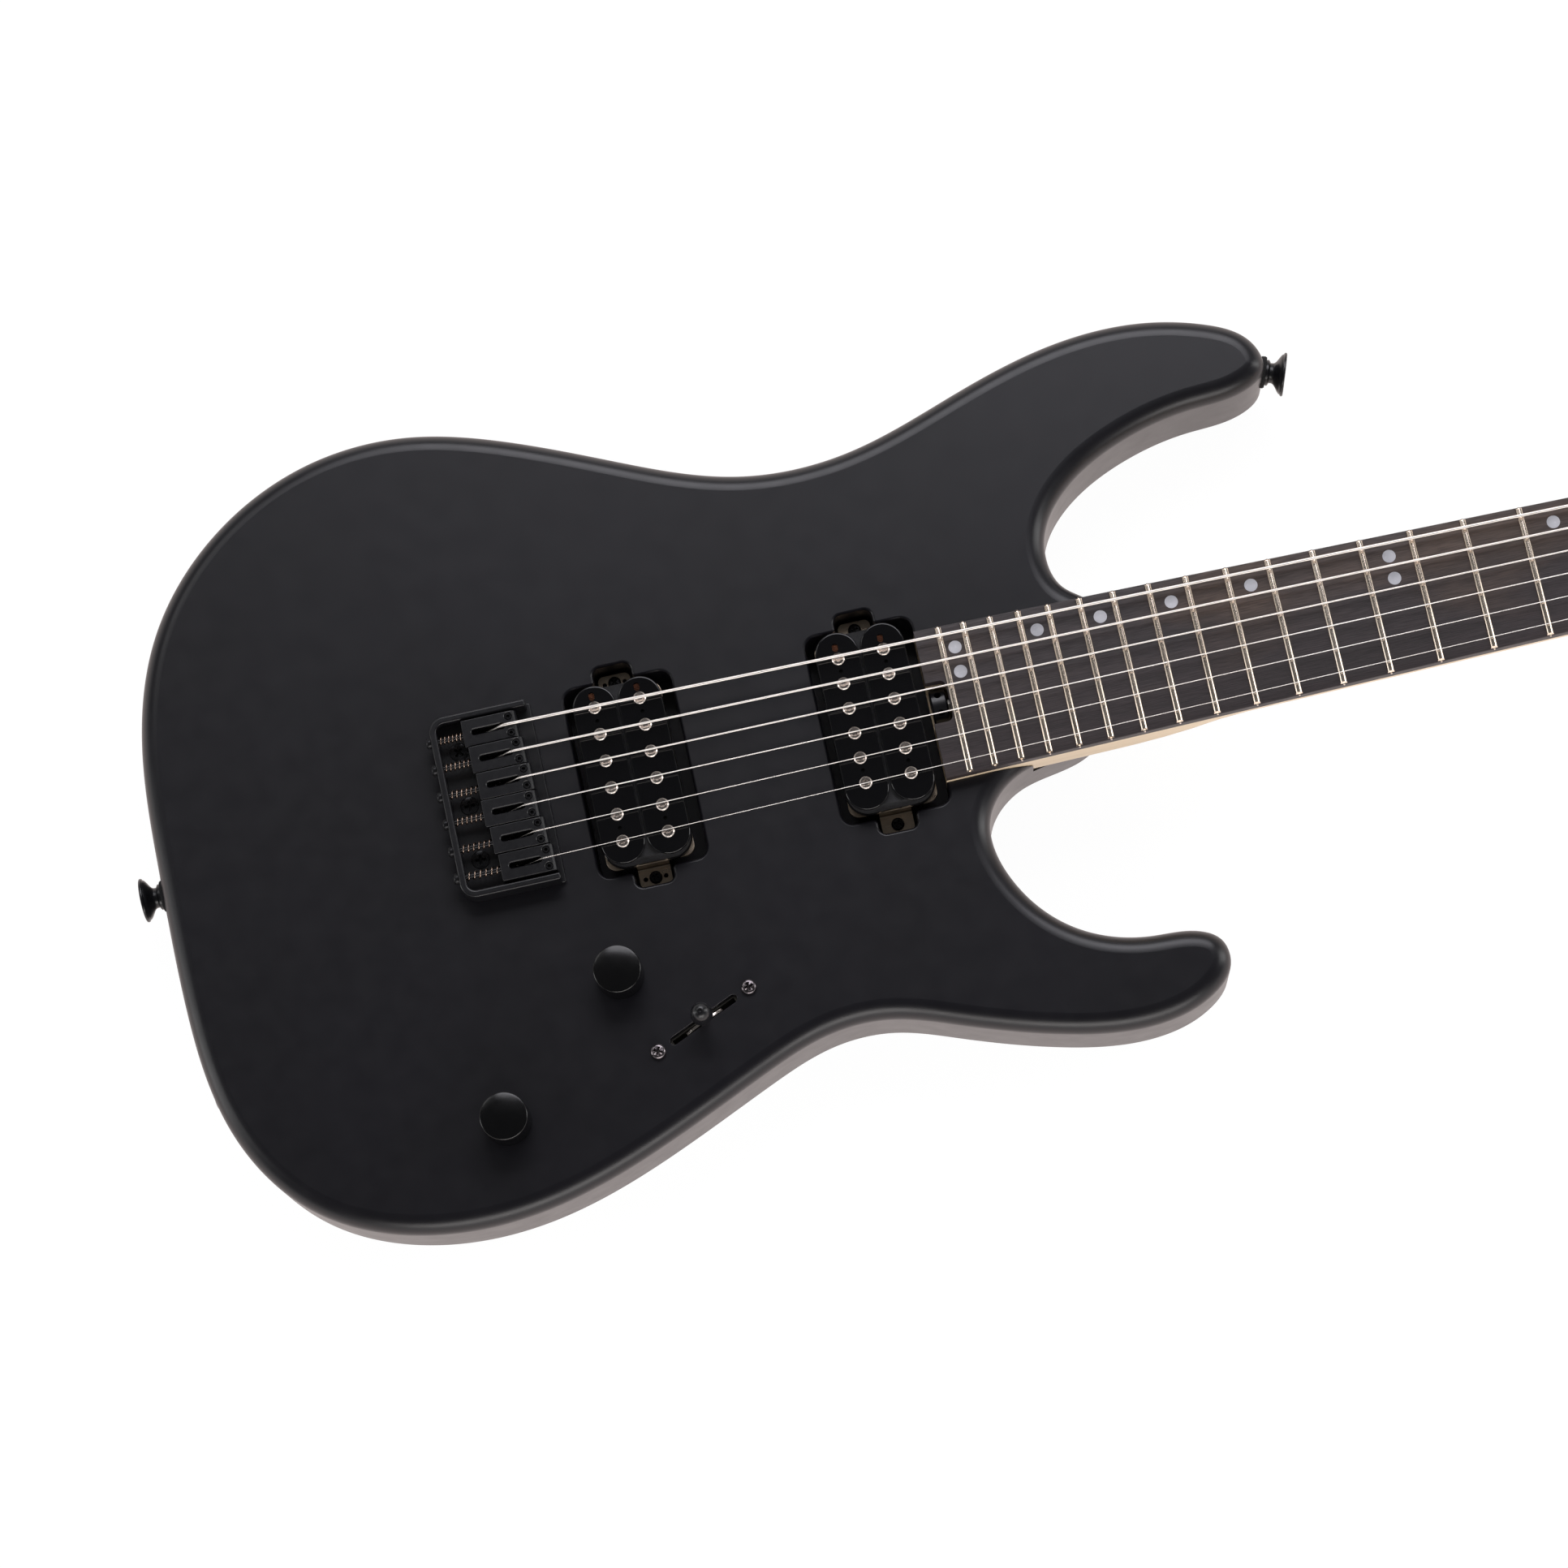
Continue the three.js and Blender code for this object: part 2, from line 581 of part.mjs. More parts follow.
function makeHead() {
  const plan = prism(headPlan(), HEAD_BACK - 5, NECK_TOP + 5, 4);
  const side = prismGeometry(headSide(), -80, 80, 4).rotateX(Math.PI / 2);
  let head = plan.intersect(toManifold(side));
  for (let index = 0; index < STRINGS; index += 1) {
    const [x, y] = postPlace(index);
    const hole = HOUSING_TUBE_RADIUS + SIDE_GAP;
    head = head.subtract(rod([x, y, HEAD_BACK - 5], [x, y, HEAD_TOP + 5], hole, 10));
  }
  for (let pair = 0; pair < TREE_X.length; pair += 1) {
    const stem = TREE_STEM_RADIUS + SIDE_GAP;
    const x = TREE_X[pair];
    head = head.subtract(rod([x, treeY(pair), HEAD_TOP - 9], [x, treeY(pair), HEAD_TOP + 5], stem, 8));
  }
  return head;
}

function makeNeck() {
  const heel = prism(heelPlan(HEEL_END, HEEL_BLOCK_END, 0), POCKET_FLOOR + SEAT_GAP, NECK_TOP);
  let neck = heel.add(makeShaft()).add(makeHead());

  const notchHalf = WHEEL_RADIUS + 1;
  const notchLow = [HEEL_END - THROUGH, -notchHalf, ROD_AXIS_Z - notchHalf];
  neck = neck.subtract(block(notchLow, [HEEL_END + WHEEL_NOTCH, notchHalf, NECK_TOP + THROUGH]));
  const channelHalf = ROD_RADIUS + SIDE_GAP;
  const channelLow = [HEEL_END, -channelHalf, ROD_AXIS_Z - channelHalf];
  const channelHigh = [NUT_X - ROD_END_FROM_NUT + SIDE_GAP, channelHalf, NECK_TOP + THROUGH];
  neck = neck.subtract(block(channelLow, channelHigh));

  for (const [x, y] of neckScrewPlaces()) {
    const stop = POCKET_FLOOR + NECK_SCREW_BITE + SIDE_GAP;
    const hole = NECK_SCREW_RADIUS + SIDE_GAP;
    neck = neck.subtract(rod([x, y, POCKET_FLOOR - THROUGH], [x, y, stop], hole, 8));
  }
  return neck;
}

// ---------------------------------------------------------------- fretboard, nut, truss rod

function makeBoard() {
  const facets = 4;
  const corners = [[-1, 0]];
  for (let index = 0; index <= facets; index += 1) {
    corners.push([-1 + (2 * index) / facets, 1]);
  }
  corners.push([1, 0]);
  const options = { depth: 1, steps: 2, bevelEnabled: false };
  const geometry = new THREE.ExtrudeGeometry(polygon(corners), options);
  const positions = geometry.attributes.position;
  for (let index = 0; index < positions.count; index += 1) {
    const x = BOARD_END + (NUT_X - SEAT_GAP - BOARD_END) * positions.getZ(index);
    const y = positions.getX(index) * halfBoard(x);
    const top = BOARD_TOP - camber(y);
    const bottom = NECK_TOP + SEAT_GAP;
    positions.setXYZ(index, x, y, positions.getY(index) > 0.5 ? top : bottom);
  }
  let board = toManifold(geometry);
  for (let number = 1; number <= FRETS; number += 1) {
    board = board.add(makeFret(fretX(number)));
  }
  const notchHalf = WHEEL_RADIUS + 1;
  const low = [BOARD_END - THROUGH, -notchHalf, NECK_TOP - THROUGH];
  return board.subtract(block(low, [BOARD_END + WHEEL_NOTCH, notchHalf, FRET_TOP + THROUGH]));
}

// A fret wire: a low crown across the board that follows its camber.
function makeFret(x) {
  const half = FRET_WIDTH / 2;
  const crown = polygon([
    [-half, -FRET_BITE], [half, -FRET_BITE], [half / 2, FRET_HEIGHT], [-half / 2, FRET_HEIGHT],
  ]);
  const options = { depth: 1, steps: 2, bevelEnabled: false };
  const geometry = new THREE.ExtrudeGeometry(crown, options);
  const positions = geometry.attributes.position;
  const reach = halfBoard(x) - 0.4;
  for (let index = 0; index < positions.count; index += 1) {
    const y = reach * (1 - 2 * positions.getZ(index));
    const z = BOARD_TOP - camber(y) + positions.getY(index);
    positions.setXYZ(index, x + positions.getX(index), y, z);
  }
  return toManifold(geometry);
}

const NUT_HEIGHT_ABOVE_STRING = 0.5;

function makeNut() {
  const half = BOARD_WIDTH_AT_NUT / 2 - 0.1;
  const top = stringBottom(2, NUT_X) + NUT_HEIGHT_ABOVE_STRING;
  let nut = block([NUT_X + SEAT_GAP, -half, NECK_TOP + SEAT_GAP], [NUT_X + NUT_LENGTH, half, top]);
  for (let index = 0; index < STRINGS; index += 1) {
    const y = stringY(index, NUT_X);
    const halfSlot = STRING_RADII[index] + RUNNING_GAP;
    const floor = stringBottom(index, NUT_X) - RUNNING_GAP;
    const low = [NUT_X - THROUGH, y - halfSlot, floor];
    nut = nut.subtract(block(low, [NUT_X + NUT_LENGTH + THROUGH, y + halfSlot, top + THROUGH]));
  }
  return nut;
}

// The spoke wheel that turns the truss rod's end, reached at the end of the board.
function makeWheel() {
  const from = HEEL_END + 0.6;
  const wheel = rod([from, 0, ROD_AXIS_Z], [from + WHEEL_THICKNESS, 0, ROD_AXIS_Z], WHEEL_RADIUS, 16);
  const middle = from + WHEEL_THICKNESS / 2;
  const spokeHoles = [0, 1, 2].map((turn) => {
    const angle = (turn * 60 + 30) * DEGREE;
    const reach = WHEEL_RADIUS + THROUGH;
    const y = Math.cos(angle) * reach;
    const z = Math.sin(angle) * reach;
    return rod([middle, -y, ROD_AXIS_Z - z], [middle, y, ROD_AXIS_Z + z], 1.3, 6);
  });
  return spokeHoles.reduce((solid, hole) => solid.subtract(hole), wheel);
}

function makeTrussRod() {
  const from = HEEL_END + 0.6 + WHEEL_THICKNESS + SIDE_GAP;
  const to = NUT_X - ROD_END_FROM_NUT;
  return rod([from, 0, ROD_AXIS_Z], [to, 0, ROD_AXIS_Z], ROD_RADIUS, 10);
}

// ---------------------------------------------------------------- bridge

function makeBridgePlate() {
  const half = BRIDGE_WIDTH / 2;
  const bottom = BODY_TOP + SEAT_GAP;
  const outer = roundedRectangle(BRIDGE_REAR, BRIDGE_FRONT + 20, -half, half, BRIDGE_CORNER);
  const inset = BRIDGE_WALL;
  const inner = roundedRectangle(
    BRIDGE_REAR + inset, BRIDGE_FRONT + 20, -half + inset, half - inset, BRIDGE_CORNER - inset);
  let plate = prism(outer, bottom, BRIDGE_WALL_TOP, 2);
  plate = plate.subtract(prism(inner, PLATE_TOP, BRIDGE_WALL_TOP + THROUGH, 2));
  const ahead = [BRIDGE_FRONT, -half - THROUGH, bottom - THROUGH];
  plate = plate.subtract(block(ahead, [BRIDGE_FRONT + 30, half + THROUGH, BRIDGE_WALL_TOP + THROUGH]));
  for (let index = 0; index < STRINGS; index += 1) {
    const x = stringHoleX(index);
    const y = stringY(index, 0);
    plate = plate.subtract(rod([x, y, bottom - 2], [x, y, PLATE_TOP + 2], STRING_HOLE_RADIUS, 6));
  }
  return plate;
}

const SADDLE_LENGTH = 21;
const SADDLE_WIDTH = SPREAD_AT_BRIDGE / (STRINGS - 1) - SIDE_GAP;
const SADDLE_AHEAD = 4;
const SADDLE_BODY = 6;
const SADDLE_SLOT_WIDTH = 3;
const HEIGHT_SCREW_RADIUS = 1.4;
const HEIGHT_SCREW_SIDE = 3.2;

// One saddle, about the point where its string leaves it. Two height screws carry it.
function makeSaddle(topAbovePlate) {
  const back = SADDLE_AHEAD - SADDLE_LENGTH;
  const side = new THREE.Shape();
  side.moveTo(back, -SADDLE_BODY);
  side.lineTo(SADDLE_AHEAD, -SADDLE_BODY);
  side.lineTo(SADDLE_AHEAD, -2.5);
  side.quadraticCurveTo(SADDLE_AHEAD, 0, SADDLE_AHEAD - 2.5, 0);
  side.lineTo(back, 0);
  const half = SADDLE_WIDTH / 2;
  const across = prismGeometry(side, -half, half, 3).rotateX(Math.PI / 2);
  const slot = capsule([-13, 0], [-3, 0], SADDLE_SLOT_WIDTH / 2);
  let saddle = toManifold(across).subtract(prism(slot, -SADDLE_BODY - 1, 1, 2));
  for (const y of [-HEIGHT_SCREW_SIDE, HEIGHT_SCREW_SIDE]) {
    const foot = [1, y, SEAT_GAP - topAbovePlate];
    saddle = saddle.add(rod(foot, [1, y, -1], HEIGHT_SCREW_RADIUS, 6));
  }
  return saddle;
}

function addSaddle(parent, index) {
  const top = stringBottom(index, 0) - RUNNING_GAP;
  const mesh = place(parent, `saddle_${index + 1}`, makeSaddle(top - PLATE_TOP), BLACK_METAL);
  mesh.position.set(-CROWN_BACKSET[index], stringY(index, 0), top);
}

// ---------------------------------------------------------------- strings

const POST_WAIST_Z = HEAD_TOP + 7;
const TREE_STRING_Z = HEAD_TOP + 6.2;

function stringRoute(index) {
  const radius = STRING_RADII[index];
  const crown = -CROWN_BACKSET[index];
  const holeX = stringHoleX(index);
  const y0 = stringY(index, 0);
  const top = stringBottom(index, 0) + radius;
  const bend = crown - 1.6;
  const points = [
    [holeX, y0, FERRULE_DEPTH - 4],
    [holeX, y0, PLATE_TOP + 1],
    [holeX + 1.2, y0, PLATE_TOP + 2.6],
    [bend - 0.8, y0, top - 0.9],
    [bend, y0, top - 0.2],
    [bend + 1, y0, top],
  ];
  const nutEnd = NUT_X + NUT_LENGTH;
  const yNut = stringY(index, NUT_X);
  const nutZ = stringBottom(index, NUT_X) + radius;
  points.push([NUT_X, yNut, nutZ], [nutEnd, yNut, nutZ]);
  const tree = TREE_STRINGS.findIndex((first) => index === first || index === first + 1);
  if (tree >= 0) {
    points.push([TREE_X[tree] - 2.5, yNut, TREE_STRING_Z], [TREE_X[tree] + 2.5, yNut, TREE_STRING_Z]);
  }
  const [postX, postY] = postPlace(index);
  const drop = 2 * radius + 0.25;
  for (let step = 0; step <= WRAP_STEPS; step += 1) {
    const turn = (WRAP_TURNS * step) / WRAP_STEPS;
    const angle = 2 * Math.PI * turn - Math.PI / 2;
    const x = postX + Math.cos(angle) * wrapRadius(index);
    const y = postY + Math.sin(angle) * wrapRadius(index);
    points.push([x, y, POST_WAIST_Z - drop * turn]);
  }
  return points;
}

// ---------------------------------------------------------------- tuners

const HOUSING_DEPTH = 11;
const GEAR_RADIUS = 4.2;
const WORM_RADIUS = 2;
const WORM_ASIDE = -(GEAR_RADIUS + WORM_RADIUS + RUNNING_GAP);
const GEAR_Z = -6;
const HOUSING_OUT = 9;

// Tuners are built about the post's axis at the back of the headstock, key along +Y.
function makeHousing() {
  const outline = roundedRectangle(WORM_ASIDE - 4, GEAR_RADIUS + 2.2, -7.5, HOUSING_OUT, 2.5);
  const topNut = HEAD_THICKNESS + SEAT_GAP;
  let housing = prism(outline, -HOUSING_DEPTH, -SEAT_GAP, 1)
    .add(rod([0, 0, -1], [0, 0, topNut + 1], HOUSING_TUBE_RADIUS, 10))
    .add(rod([0, 0, topNut], [0, 0, topNut + 2], 6.4, 6));
  const bore = POST_RADIUS + RUNNING_GAP;
  housing = housing.subtract(rod([0, 0, GEAR_Z], [0, 0, topNut + 3], bore, 12));
  const room = GEAR_RADIUS + RUNNING_GAP + 0.1;
  housing = housing.subtract(rod([0, 0, GEAR_Z - 2], [0, 0, GEAR_Z + 2], room, 10));
  const wormRoom = WORM_RADIUS + RUNNING_GAP + 0.1;
  const wormStart = [WORM_ASIDE, -5.2, GEAR_Z];
  return housing.subtract(rod(wormStart, [WORM_ASIDE, HOUSING_OUT + 1, GEAR_Z], wormRoom, 8));
}

function makePost() {
  const foot = GEAR_Z - 1.6;
  const gearTop = GEAR_Z + 1.6;
  const waistMiddle = POST_WAIST_Z - HEAD_BACK;
  return turned([
    [0, foot],
    [GEAR_RADIUS, foot],
    [GEAR_RADIUS, gearTop],
    [POST_RADIUS, gearTop],
    [POST_RADIUS, waistMiddle - 4],
    [WAIST_RADIUS, waistMiddle - 3.4],
    [WAIST_RADIUS, waistMiddle + 1.2],
    [POST_RADIUS + 0.2, waistMiddle + 2.2],
    [POST_RADIUS + 0.2, waistMiddle + 3.4],
    [0, waistMiddle + 3.4],
  ], 10);
}

// The worm, its shaft and the flattened oval button that the player turns.
function makeKey() {
  const buttonStart = HOUSING_OUT + 3;
  const shaft = turned([
    [0, -5],
    [WORM_RADIUS, -5],
    [WORM_RADIUS, HOUSING_OUT - 0.5],
    [1.6, HOUSING_OUT - 0.5],
    [1.6, buttonStart + 2],
    [0, buttonStart + 2],
  ], 8);
  const reach = KEY_REACH;
  const button = turned([
    [0, 0],
    [2.4, 0],
    [3, 1.5],
    [6.5, reach * 0.3],
    [8.2, reach * 0.6],
    [7, reach * 0.88],
    [3.5, reach],
    [0, reach],
  ], 12);
  button.scale(1, 0.5, 1).translate(0, 0, buttonStart);
  return toManifold(shaft).add(toManifold(button));
}

function addTuner(index) {
  const tuner = new THREE.Group();
  const [x, y] = postPlace(index);
  tuner.position.set(x, y, HEAD_BACK);
  tuner.rotation.z = ROW_TURN;
  place(tuner, `tuner_housing_${index + 1}`, makeHousing(), BLACK_METAL);
  place(tuner, `tuner_post_${index + 1}`, makePost(), BLACK_METAL);
  const key = place(tuner, `tuner_key_${index + 1}`, makeKey(), BLACK_METAL);
  key.position.set(WORM_ASIDE, 0, GEAR_Z);
  key.rotation.x = -Math.PI / 2;
  guitar.add(tuner);
}

// A string tree holds two strings down between the nut and their posts.
function makeStringTree(pair) {
  const halfSpan = Math.abs(stringY(0, NUT_X) - stringY(1, NUT_X)) / 2 + 2.2;
  const barBottom = TREE_STRING_Z + STRING_RADII[TREE_STRINGS[pair]] + RUNNING_GAP;
  const bar = block([-2, -halfSpan, barBottom], [2, halfSpan, barBottom + 1.6]);
  const stem = rod([0, 0, HEAD_TOP - 8], [0, 0, barBottom + 1], TREE_STEM_RADIUS, 10);
  const collar = rod([0, 0, HEAD_TOP + SEAT_GAP], [0, 0, barBottom + 0.5], 2.4, 10);
  return bar.add(stem).add(collar);
}

// ---------------------------------------------------------------- pickups

const BASE_THICKNESS = 1.4;
const BOBBIN_HEIGHT = 12.5;
const PICKUP_TOP_Z = BODY_TOP + PICKUP_TOP;
const BASE_TOP = PICKUP_TOP_Z - BOBBIN_HEIGHT - SEAT_GAP;

function makeBobbin() {
  const reach = (BOBBIN_LENGTH - BOBBIN_WIDTH) / 2;
  const low = PICKUP_TOP_Z - BOBBIN_HEIGHT;
  const whole = capsule([0, -reach], [0, reach], BOBBIN_WIDTH / 2);
  const winding = capsule([0, -reach], [0, reach], BOBBIN_WIDTH / 2 - 1);
  return prism(whole, low, low + 1.6)
    .add(prism(winding, low + 1, PICKUP_TOP_Z - 1))
    .add(prism(whole, PICKUP_TOP_Z - 2, PICKUP_TOP_Z));
}

// The metal base under both coils, its two bent legs and the height screws in their tabs.
function makeBaseplate() {
  const halfX = (COIL_SPACING + BOBBIN_WIDTH) / 2;
  const halfY = BOBBIN_LENGTH / 2 - 0.3;
  const low = BASE_TOP - BASE_THICKNESS;
  const tabZ = low - LEG_DROP;
  const floor = BODY_TOP - ROUT_DEPTH + SIDE_GAP;
  let base = prism(roundedRectangle(-halfX, halfX, -halfY, halfY, 4), low, BASE_TOP, 1);
  for (const side of [-1, 1]) {
    const inner = side * (halfY - 1.4);
    const outer = side * halfY;
    const end = side * TAB_REACH;
    const width = TAB_HALF_WIDTH;
    const leg = block(
      [-width, Math.min(inner, outer), tabZ], [width, Math.max(inner, outer), BASE_TOP]);
    const tab = block(
      [-width, Math.min(inner, end), tabZ], [width, Math.max(inner, end), tabZ + BASE_THICKNESS]);
    const screwY = side * (TAB_REACH - 3.4);
    const screw = rod([0, screwY, floor], [0, screwY, tabZ + BASE_THICKNESS + 1.5], 1.4, 6);
    base = base.add(leg).add(tab).add(screw);
  }
  return base;
}

function addPickup(name, x) {
  const pickup = new THREE.Group();
  pickup.position.set(x, 0, 0);
  place(pickup, `${name}_pickup_baseplate`, makeBaseplate(), BRASS);
  for (const [end, side] of [['rear', -1], ['front', 1]]) {
    const bobbin = place(pickup, `${name}_pickup_${end}_bobbin`, makeBobbin(), BLACK_PLASTIC);
    bobbin.position.x = (side * COIL_SPACING) / 2;
  }
  guitar.add(pickup);
}

// ---------------------------------------------------------------- controls

const KNOB_LIFT = 0.6;
const POT_RADIUS = 12;
const POT_DEPTH = 9;
const SHAFT_RADIUS = 3;

// A knob with its shaft, about the top face of the body.
function makeKnob() {
  const radius = KNOB_RADIUS;
  const hollow = radius - 1.6;
  const shaftEnd = -TOP_WOOD - POT_DEPTH + 2;
  return turned([
    [0, shaftEnd],
    [SHAFT_RADIUS, shaftEnd],
    [SHAFT_RADIUS, 6],
    [hollow, 6],
    [hollow, KNOB_LIFT],
    [radius + 0.2, KNOB_LIFT],
    [radius, KNOB_HEIGHT - 2],
    [radius - 0.5, KNOB_HEIGHT - 0.8],
    [radius - 2.5, KNOB_HEIGHT],
    [0, KNOB_HEIGHT + 0.4],
  ], 18);
}

// A potentiometer under the top: its can, threaded bushing and the nut above the wood.
function makePot() {
  const canTop = -TOP_WOOD - SEAT_GAP;
  const canBottom = canTop - POT_DEPTH;
  const bore = SHAFT_RADIUS + RUNNING_GAP;
  return turned([
    [0, canBottom],
    [POT_RADIUS, canBottom],
    [POT_RADIUS, canTop],
    [POT_BUSHING_RADIUS, canTop],
    [POT_BUSHING_RADIUS, SEAT_GAP],
    [5.5, SEAT_GAP],
    [5.5, 2.2],
    [POT_BUSHING_RADIUS, 2.2],
    [POT_BUSHING_RADIUS, 4],
    [bore, 4],
    [bore, canBottom + 1.2],
    [0, canBottom + 1.2],
  ], 14);
}

const TIP_RADIUS = 3.7;
const TIP_SKIRT = 6;
const TIP_Z = BODY_TOP + 17.5;
const LEVER_BITE = 4;
const LEVER_THICKNESS = 1.5;
const LEVER_WIDTH = 4;
const PIVOT_Z = BODY_TOP - SWITCH_PIVOT_DEPTH;
const PIVOT_RADIUS = 1.5;

// The switch is built along local X, which is then turned with the slot.
function makeSwitchFrame() {
  const top = TOP_UNDERSIDE - SEAT_GAP;
  const halfPlate = SWITCH_SCREW_SPACING / 2 + 3.5;
  const plate = block([-halfPlate, -7, top - 1.5], [halfPlate, 7, top]);
  const cage = block([-16, -6, PIVOT_Z - 8], [16, 6, top - 1]);
  const gap = LEVER_THICKNESS / 2 + SIDE_GAP;
  const room = block([-14, -gap, PIVOT_Z - 4], [14, gap, top + THROUGH]);
  const pin = rod([0, -8, PIVOT_Z], [0, 8, PIVOT_Z], PIVOT_RADIUS + RUNNING_GAP, 12);
  return plate.add(cage).subtract(room).subtract(pin);
}

function makeLever() {
  const half = LEVER_THICKNESS / 2;
  const foot = PIVOT_Z - 2.5;
  const head = TIP_Z - TIP_SKIRT + LEVER_BITE;
  return block([-LEVER_WIDTH / 2, -half, foot], [LEVER_WIDTH / 2, half, head])
    .add(rod([0, -5, PIVOT_Z], [0, 5, PIVOT_Z], PIVOT_RADIUS, 12));
}

function makeTip() {
  const radius = TIP_RADIUS;
  const tip = turned([
    [0, -TIP_SKIRT],
    [radius + 0.5, -TIP_SKIRT],
    [radius, -radius * 0.6],
    [radius * 0.86, radius * 0.5],
    [radius * 0.5, radius * 0.9],
    [0, radius],
  ], 12);
  const halfWidth = LEVER_WIDTH / 2 + RUNNING_GAP;
  const halfThickness = LEVER_THICKNESS / 2 + RUNNING_GAP;
  const low = [-halfWidth, -halfThickness, -TIP_SKIRT - THROUGH];
  const high = [halfWidth, halfThickness, LEVER_BITE - TIP_SKIRT + RUNNING_GAP];
  return toManifold(tip).subtract(block(low, high));
}

function addSwitch() {
  const selector = new THREE.Group();
  selector.position.set(SWITCH_AT[0], SWITCH_AT[1], 0);
  selector.rotation.z = SWITCH_TURN * DEGREE;
  place(selector, 'switch_frame', makeSwitchFrame(), STEEL);
  place(selector, 'switch_lever', makeLever(), STEEL);
  place(selector, 'switch_tip', makeTip(), BLACK_PLASTIC).position.z = TIP_Z;
  guitar.add(selector);
}

// ---------------------------------------------------------------- small hardware

// The barrel of the output jack, about its outer face, with the plug's socket along +X.
function makeJack() {
  return turned([
    [0, JACK_LENGTH],
    [4, JACK_LENGTH],
    [4, JACK_LENGTH - 6],
    [JACK_RADIUS, JACK_LENGTH - 6],
    [JACK_RADIUS, 0],
    [SOCKET_RADIUS, 0],
    [SOCKET_RADIUS, SOCKET_DEPTH],
    [0, SOCKET_DEPTH],
  ].reverse(), 16);
}

// A strap button with its screw, about the wood's face, standing out along +Z. A felt
// washer fills the space under its foot.
const WASHER_ROOM = 2.7;

function makeButton() {
  const waist = 3.9;
  return turned([
    [0, -BUTTON_SCREW_LENGTH],
    [BUTTON_SCREW_RADIUS, -BUTTON_SCREW_LENGTH + 3],
    [BUTTON_SCREW_RADIUS, WASHER_ROOM],
    [5, WASHER_ROOM],
    [5, WASHER_ROOM + 1],
    [waist, WASHER_ROOM + 1.3],
    [waist, WASHER_ROOM + 2.4],
    [7.7, WASHER_ROOM + 6],
    [8.5, WASHER_ROOM + 6.6],
    [8.5, WASHER_ROOM + 7.4],
    [0, WASHER_ROOM + 7.4],
  ], 12);
}

function makeNeckScrew() {
  const shankEnd = POCKET_FLOOR + NECK_SCREW_BITE;
  const low = SIDE_GAP;
  return turned([
    [0, low],
    [NECK_SCREW_HEAD_RADIUS, low],
    [NECK_SCREW_HEAD_RADIUS, low + NECK_SCREW_HEAD_HEIGHT],
    [NECK_SCREW_RADIUS, low + NECK_SCREW_HEAD_HEIGHT],
    [NECK_SCREW_RADIUS, shankEnd - 3],
    [0, shankEnd],
  ], 12);
}

function makeCover() {
  return controlPlan(COVER_LEDGE - SIDE_GAP, SEAT_GAP, SEAT_GAP + COVER_THICKNESS);
}

// ---------------------------------------------------------------- assembly

place(guitar, 'body', makeBody(), SATIN_BLACK);
place(guitar, 'neck', makeNeck(), MAPLE);
place(guitar, 'fretboard', makeBoard(), EBONY);
place(guitar, 'nut', makeNut(), BLACK_PLASTIC);
place(guitar, 'truss_rod', makeTrussRod(), STEEL);
place(guitar, 'truss_rod_wheel', makeWheel(), BLACK_METAL);
place(guitar, 'bridge_plate', makeBridgePlate(), BLACK_METAL);
for (let index = 0; index < STRINGS; index += 1) {
  addSaddle(guitar, index);
  place(guitar, `string_${index + 1}`, wire(stringRoute(index), STRING_RADII[index]), STEEL);
  addTuner(index);
}
for (let pair = 0; pair < TREE_X.length; pair += 1) {
  const tree = place(guitar, `string_tree_${pair + 1}`, makeStringTree(pair), BLACK_METAL);
  tree.position.set(TREE_X[pair], treeY(pair), 0);
}
addPickup('bridge', BRIDGE_PICKUP_X);
addPickup('neck', NECK_PICKUP_X);
for (const [name, [x, y]] of [['volume', VOLUME_AT], ['tone', TONE_AT]]) {
  place(guitar, `${name}_knob`, makeKnob(), BLACK_METAL).position.set(x, y, BODY_TOP);
  place(guitar, `${name}_pot`, makePot(), STEEL).position.set(x, y, BODY_TOP);
}
addSwitch();

const jack = place(guitar, 'output_jack', makeJack(), BLACK_METAL);
jack.position.set(JACK_FACE_X, JACK_Y, EDGE_MIDDLE);
jack.rotation.y = Math.PI / 2;

const endButton = place(guitar, 'strap_button_end', makeButton(), BLACK_METAL);
endButton.position.set(...END_BUTTON_AT, EDGE_MIDDLE);
endButton.rotation.y = -Math.PI / 2;

const hornMount = new THREE.Group();
hornMount.position.set(...HORN_BUTTON_AT, EDGE_MIDDLE);
hornMount.rotation.z = HORN_BUTTON_TURN * DEGREE;
place(hornMount, 'strap_button_horn', makeButton(), BLACK_METAL).rotation.y = Math.PI / 2;
guitar.add(hornMount);

neckScrewPlaces().forEach(([x, y], index) => {
  place(guitar, `neck_screw_${index + 1}`, makeNeckScrew(), BLACK_METAL).position.set(x, y, 0);
});
place(guitar, 'control_cover', makeCover(), BLACK_PLASTIC);

export default guitar;
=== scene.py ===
# %% [markdown]
# # A solid-body electric guitar
# The guitar lies on its back with its neck along +X. Its construction comes in model.glb:
# sixty solids with their joints. This lesson builds the looks round them. Each cell makes
# one piece or one finish, and says why it is made that way.
# Lengths are in millimetres here and turn into Blender's metres when a mesh is finished.

# %% The fixed frame
import math

import bmesh
import bpy
import numpy as np
from mathutils import Matrix, Vector


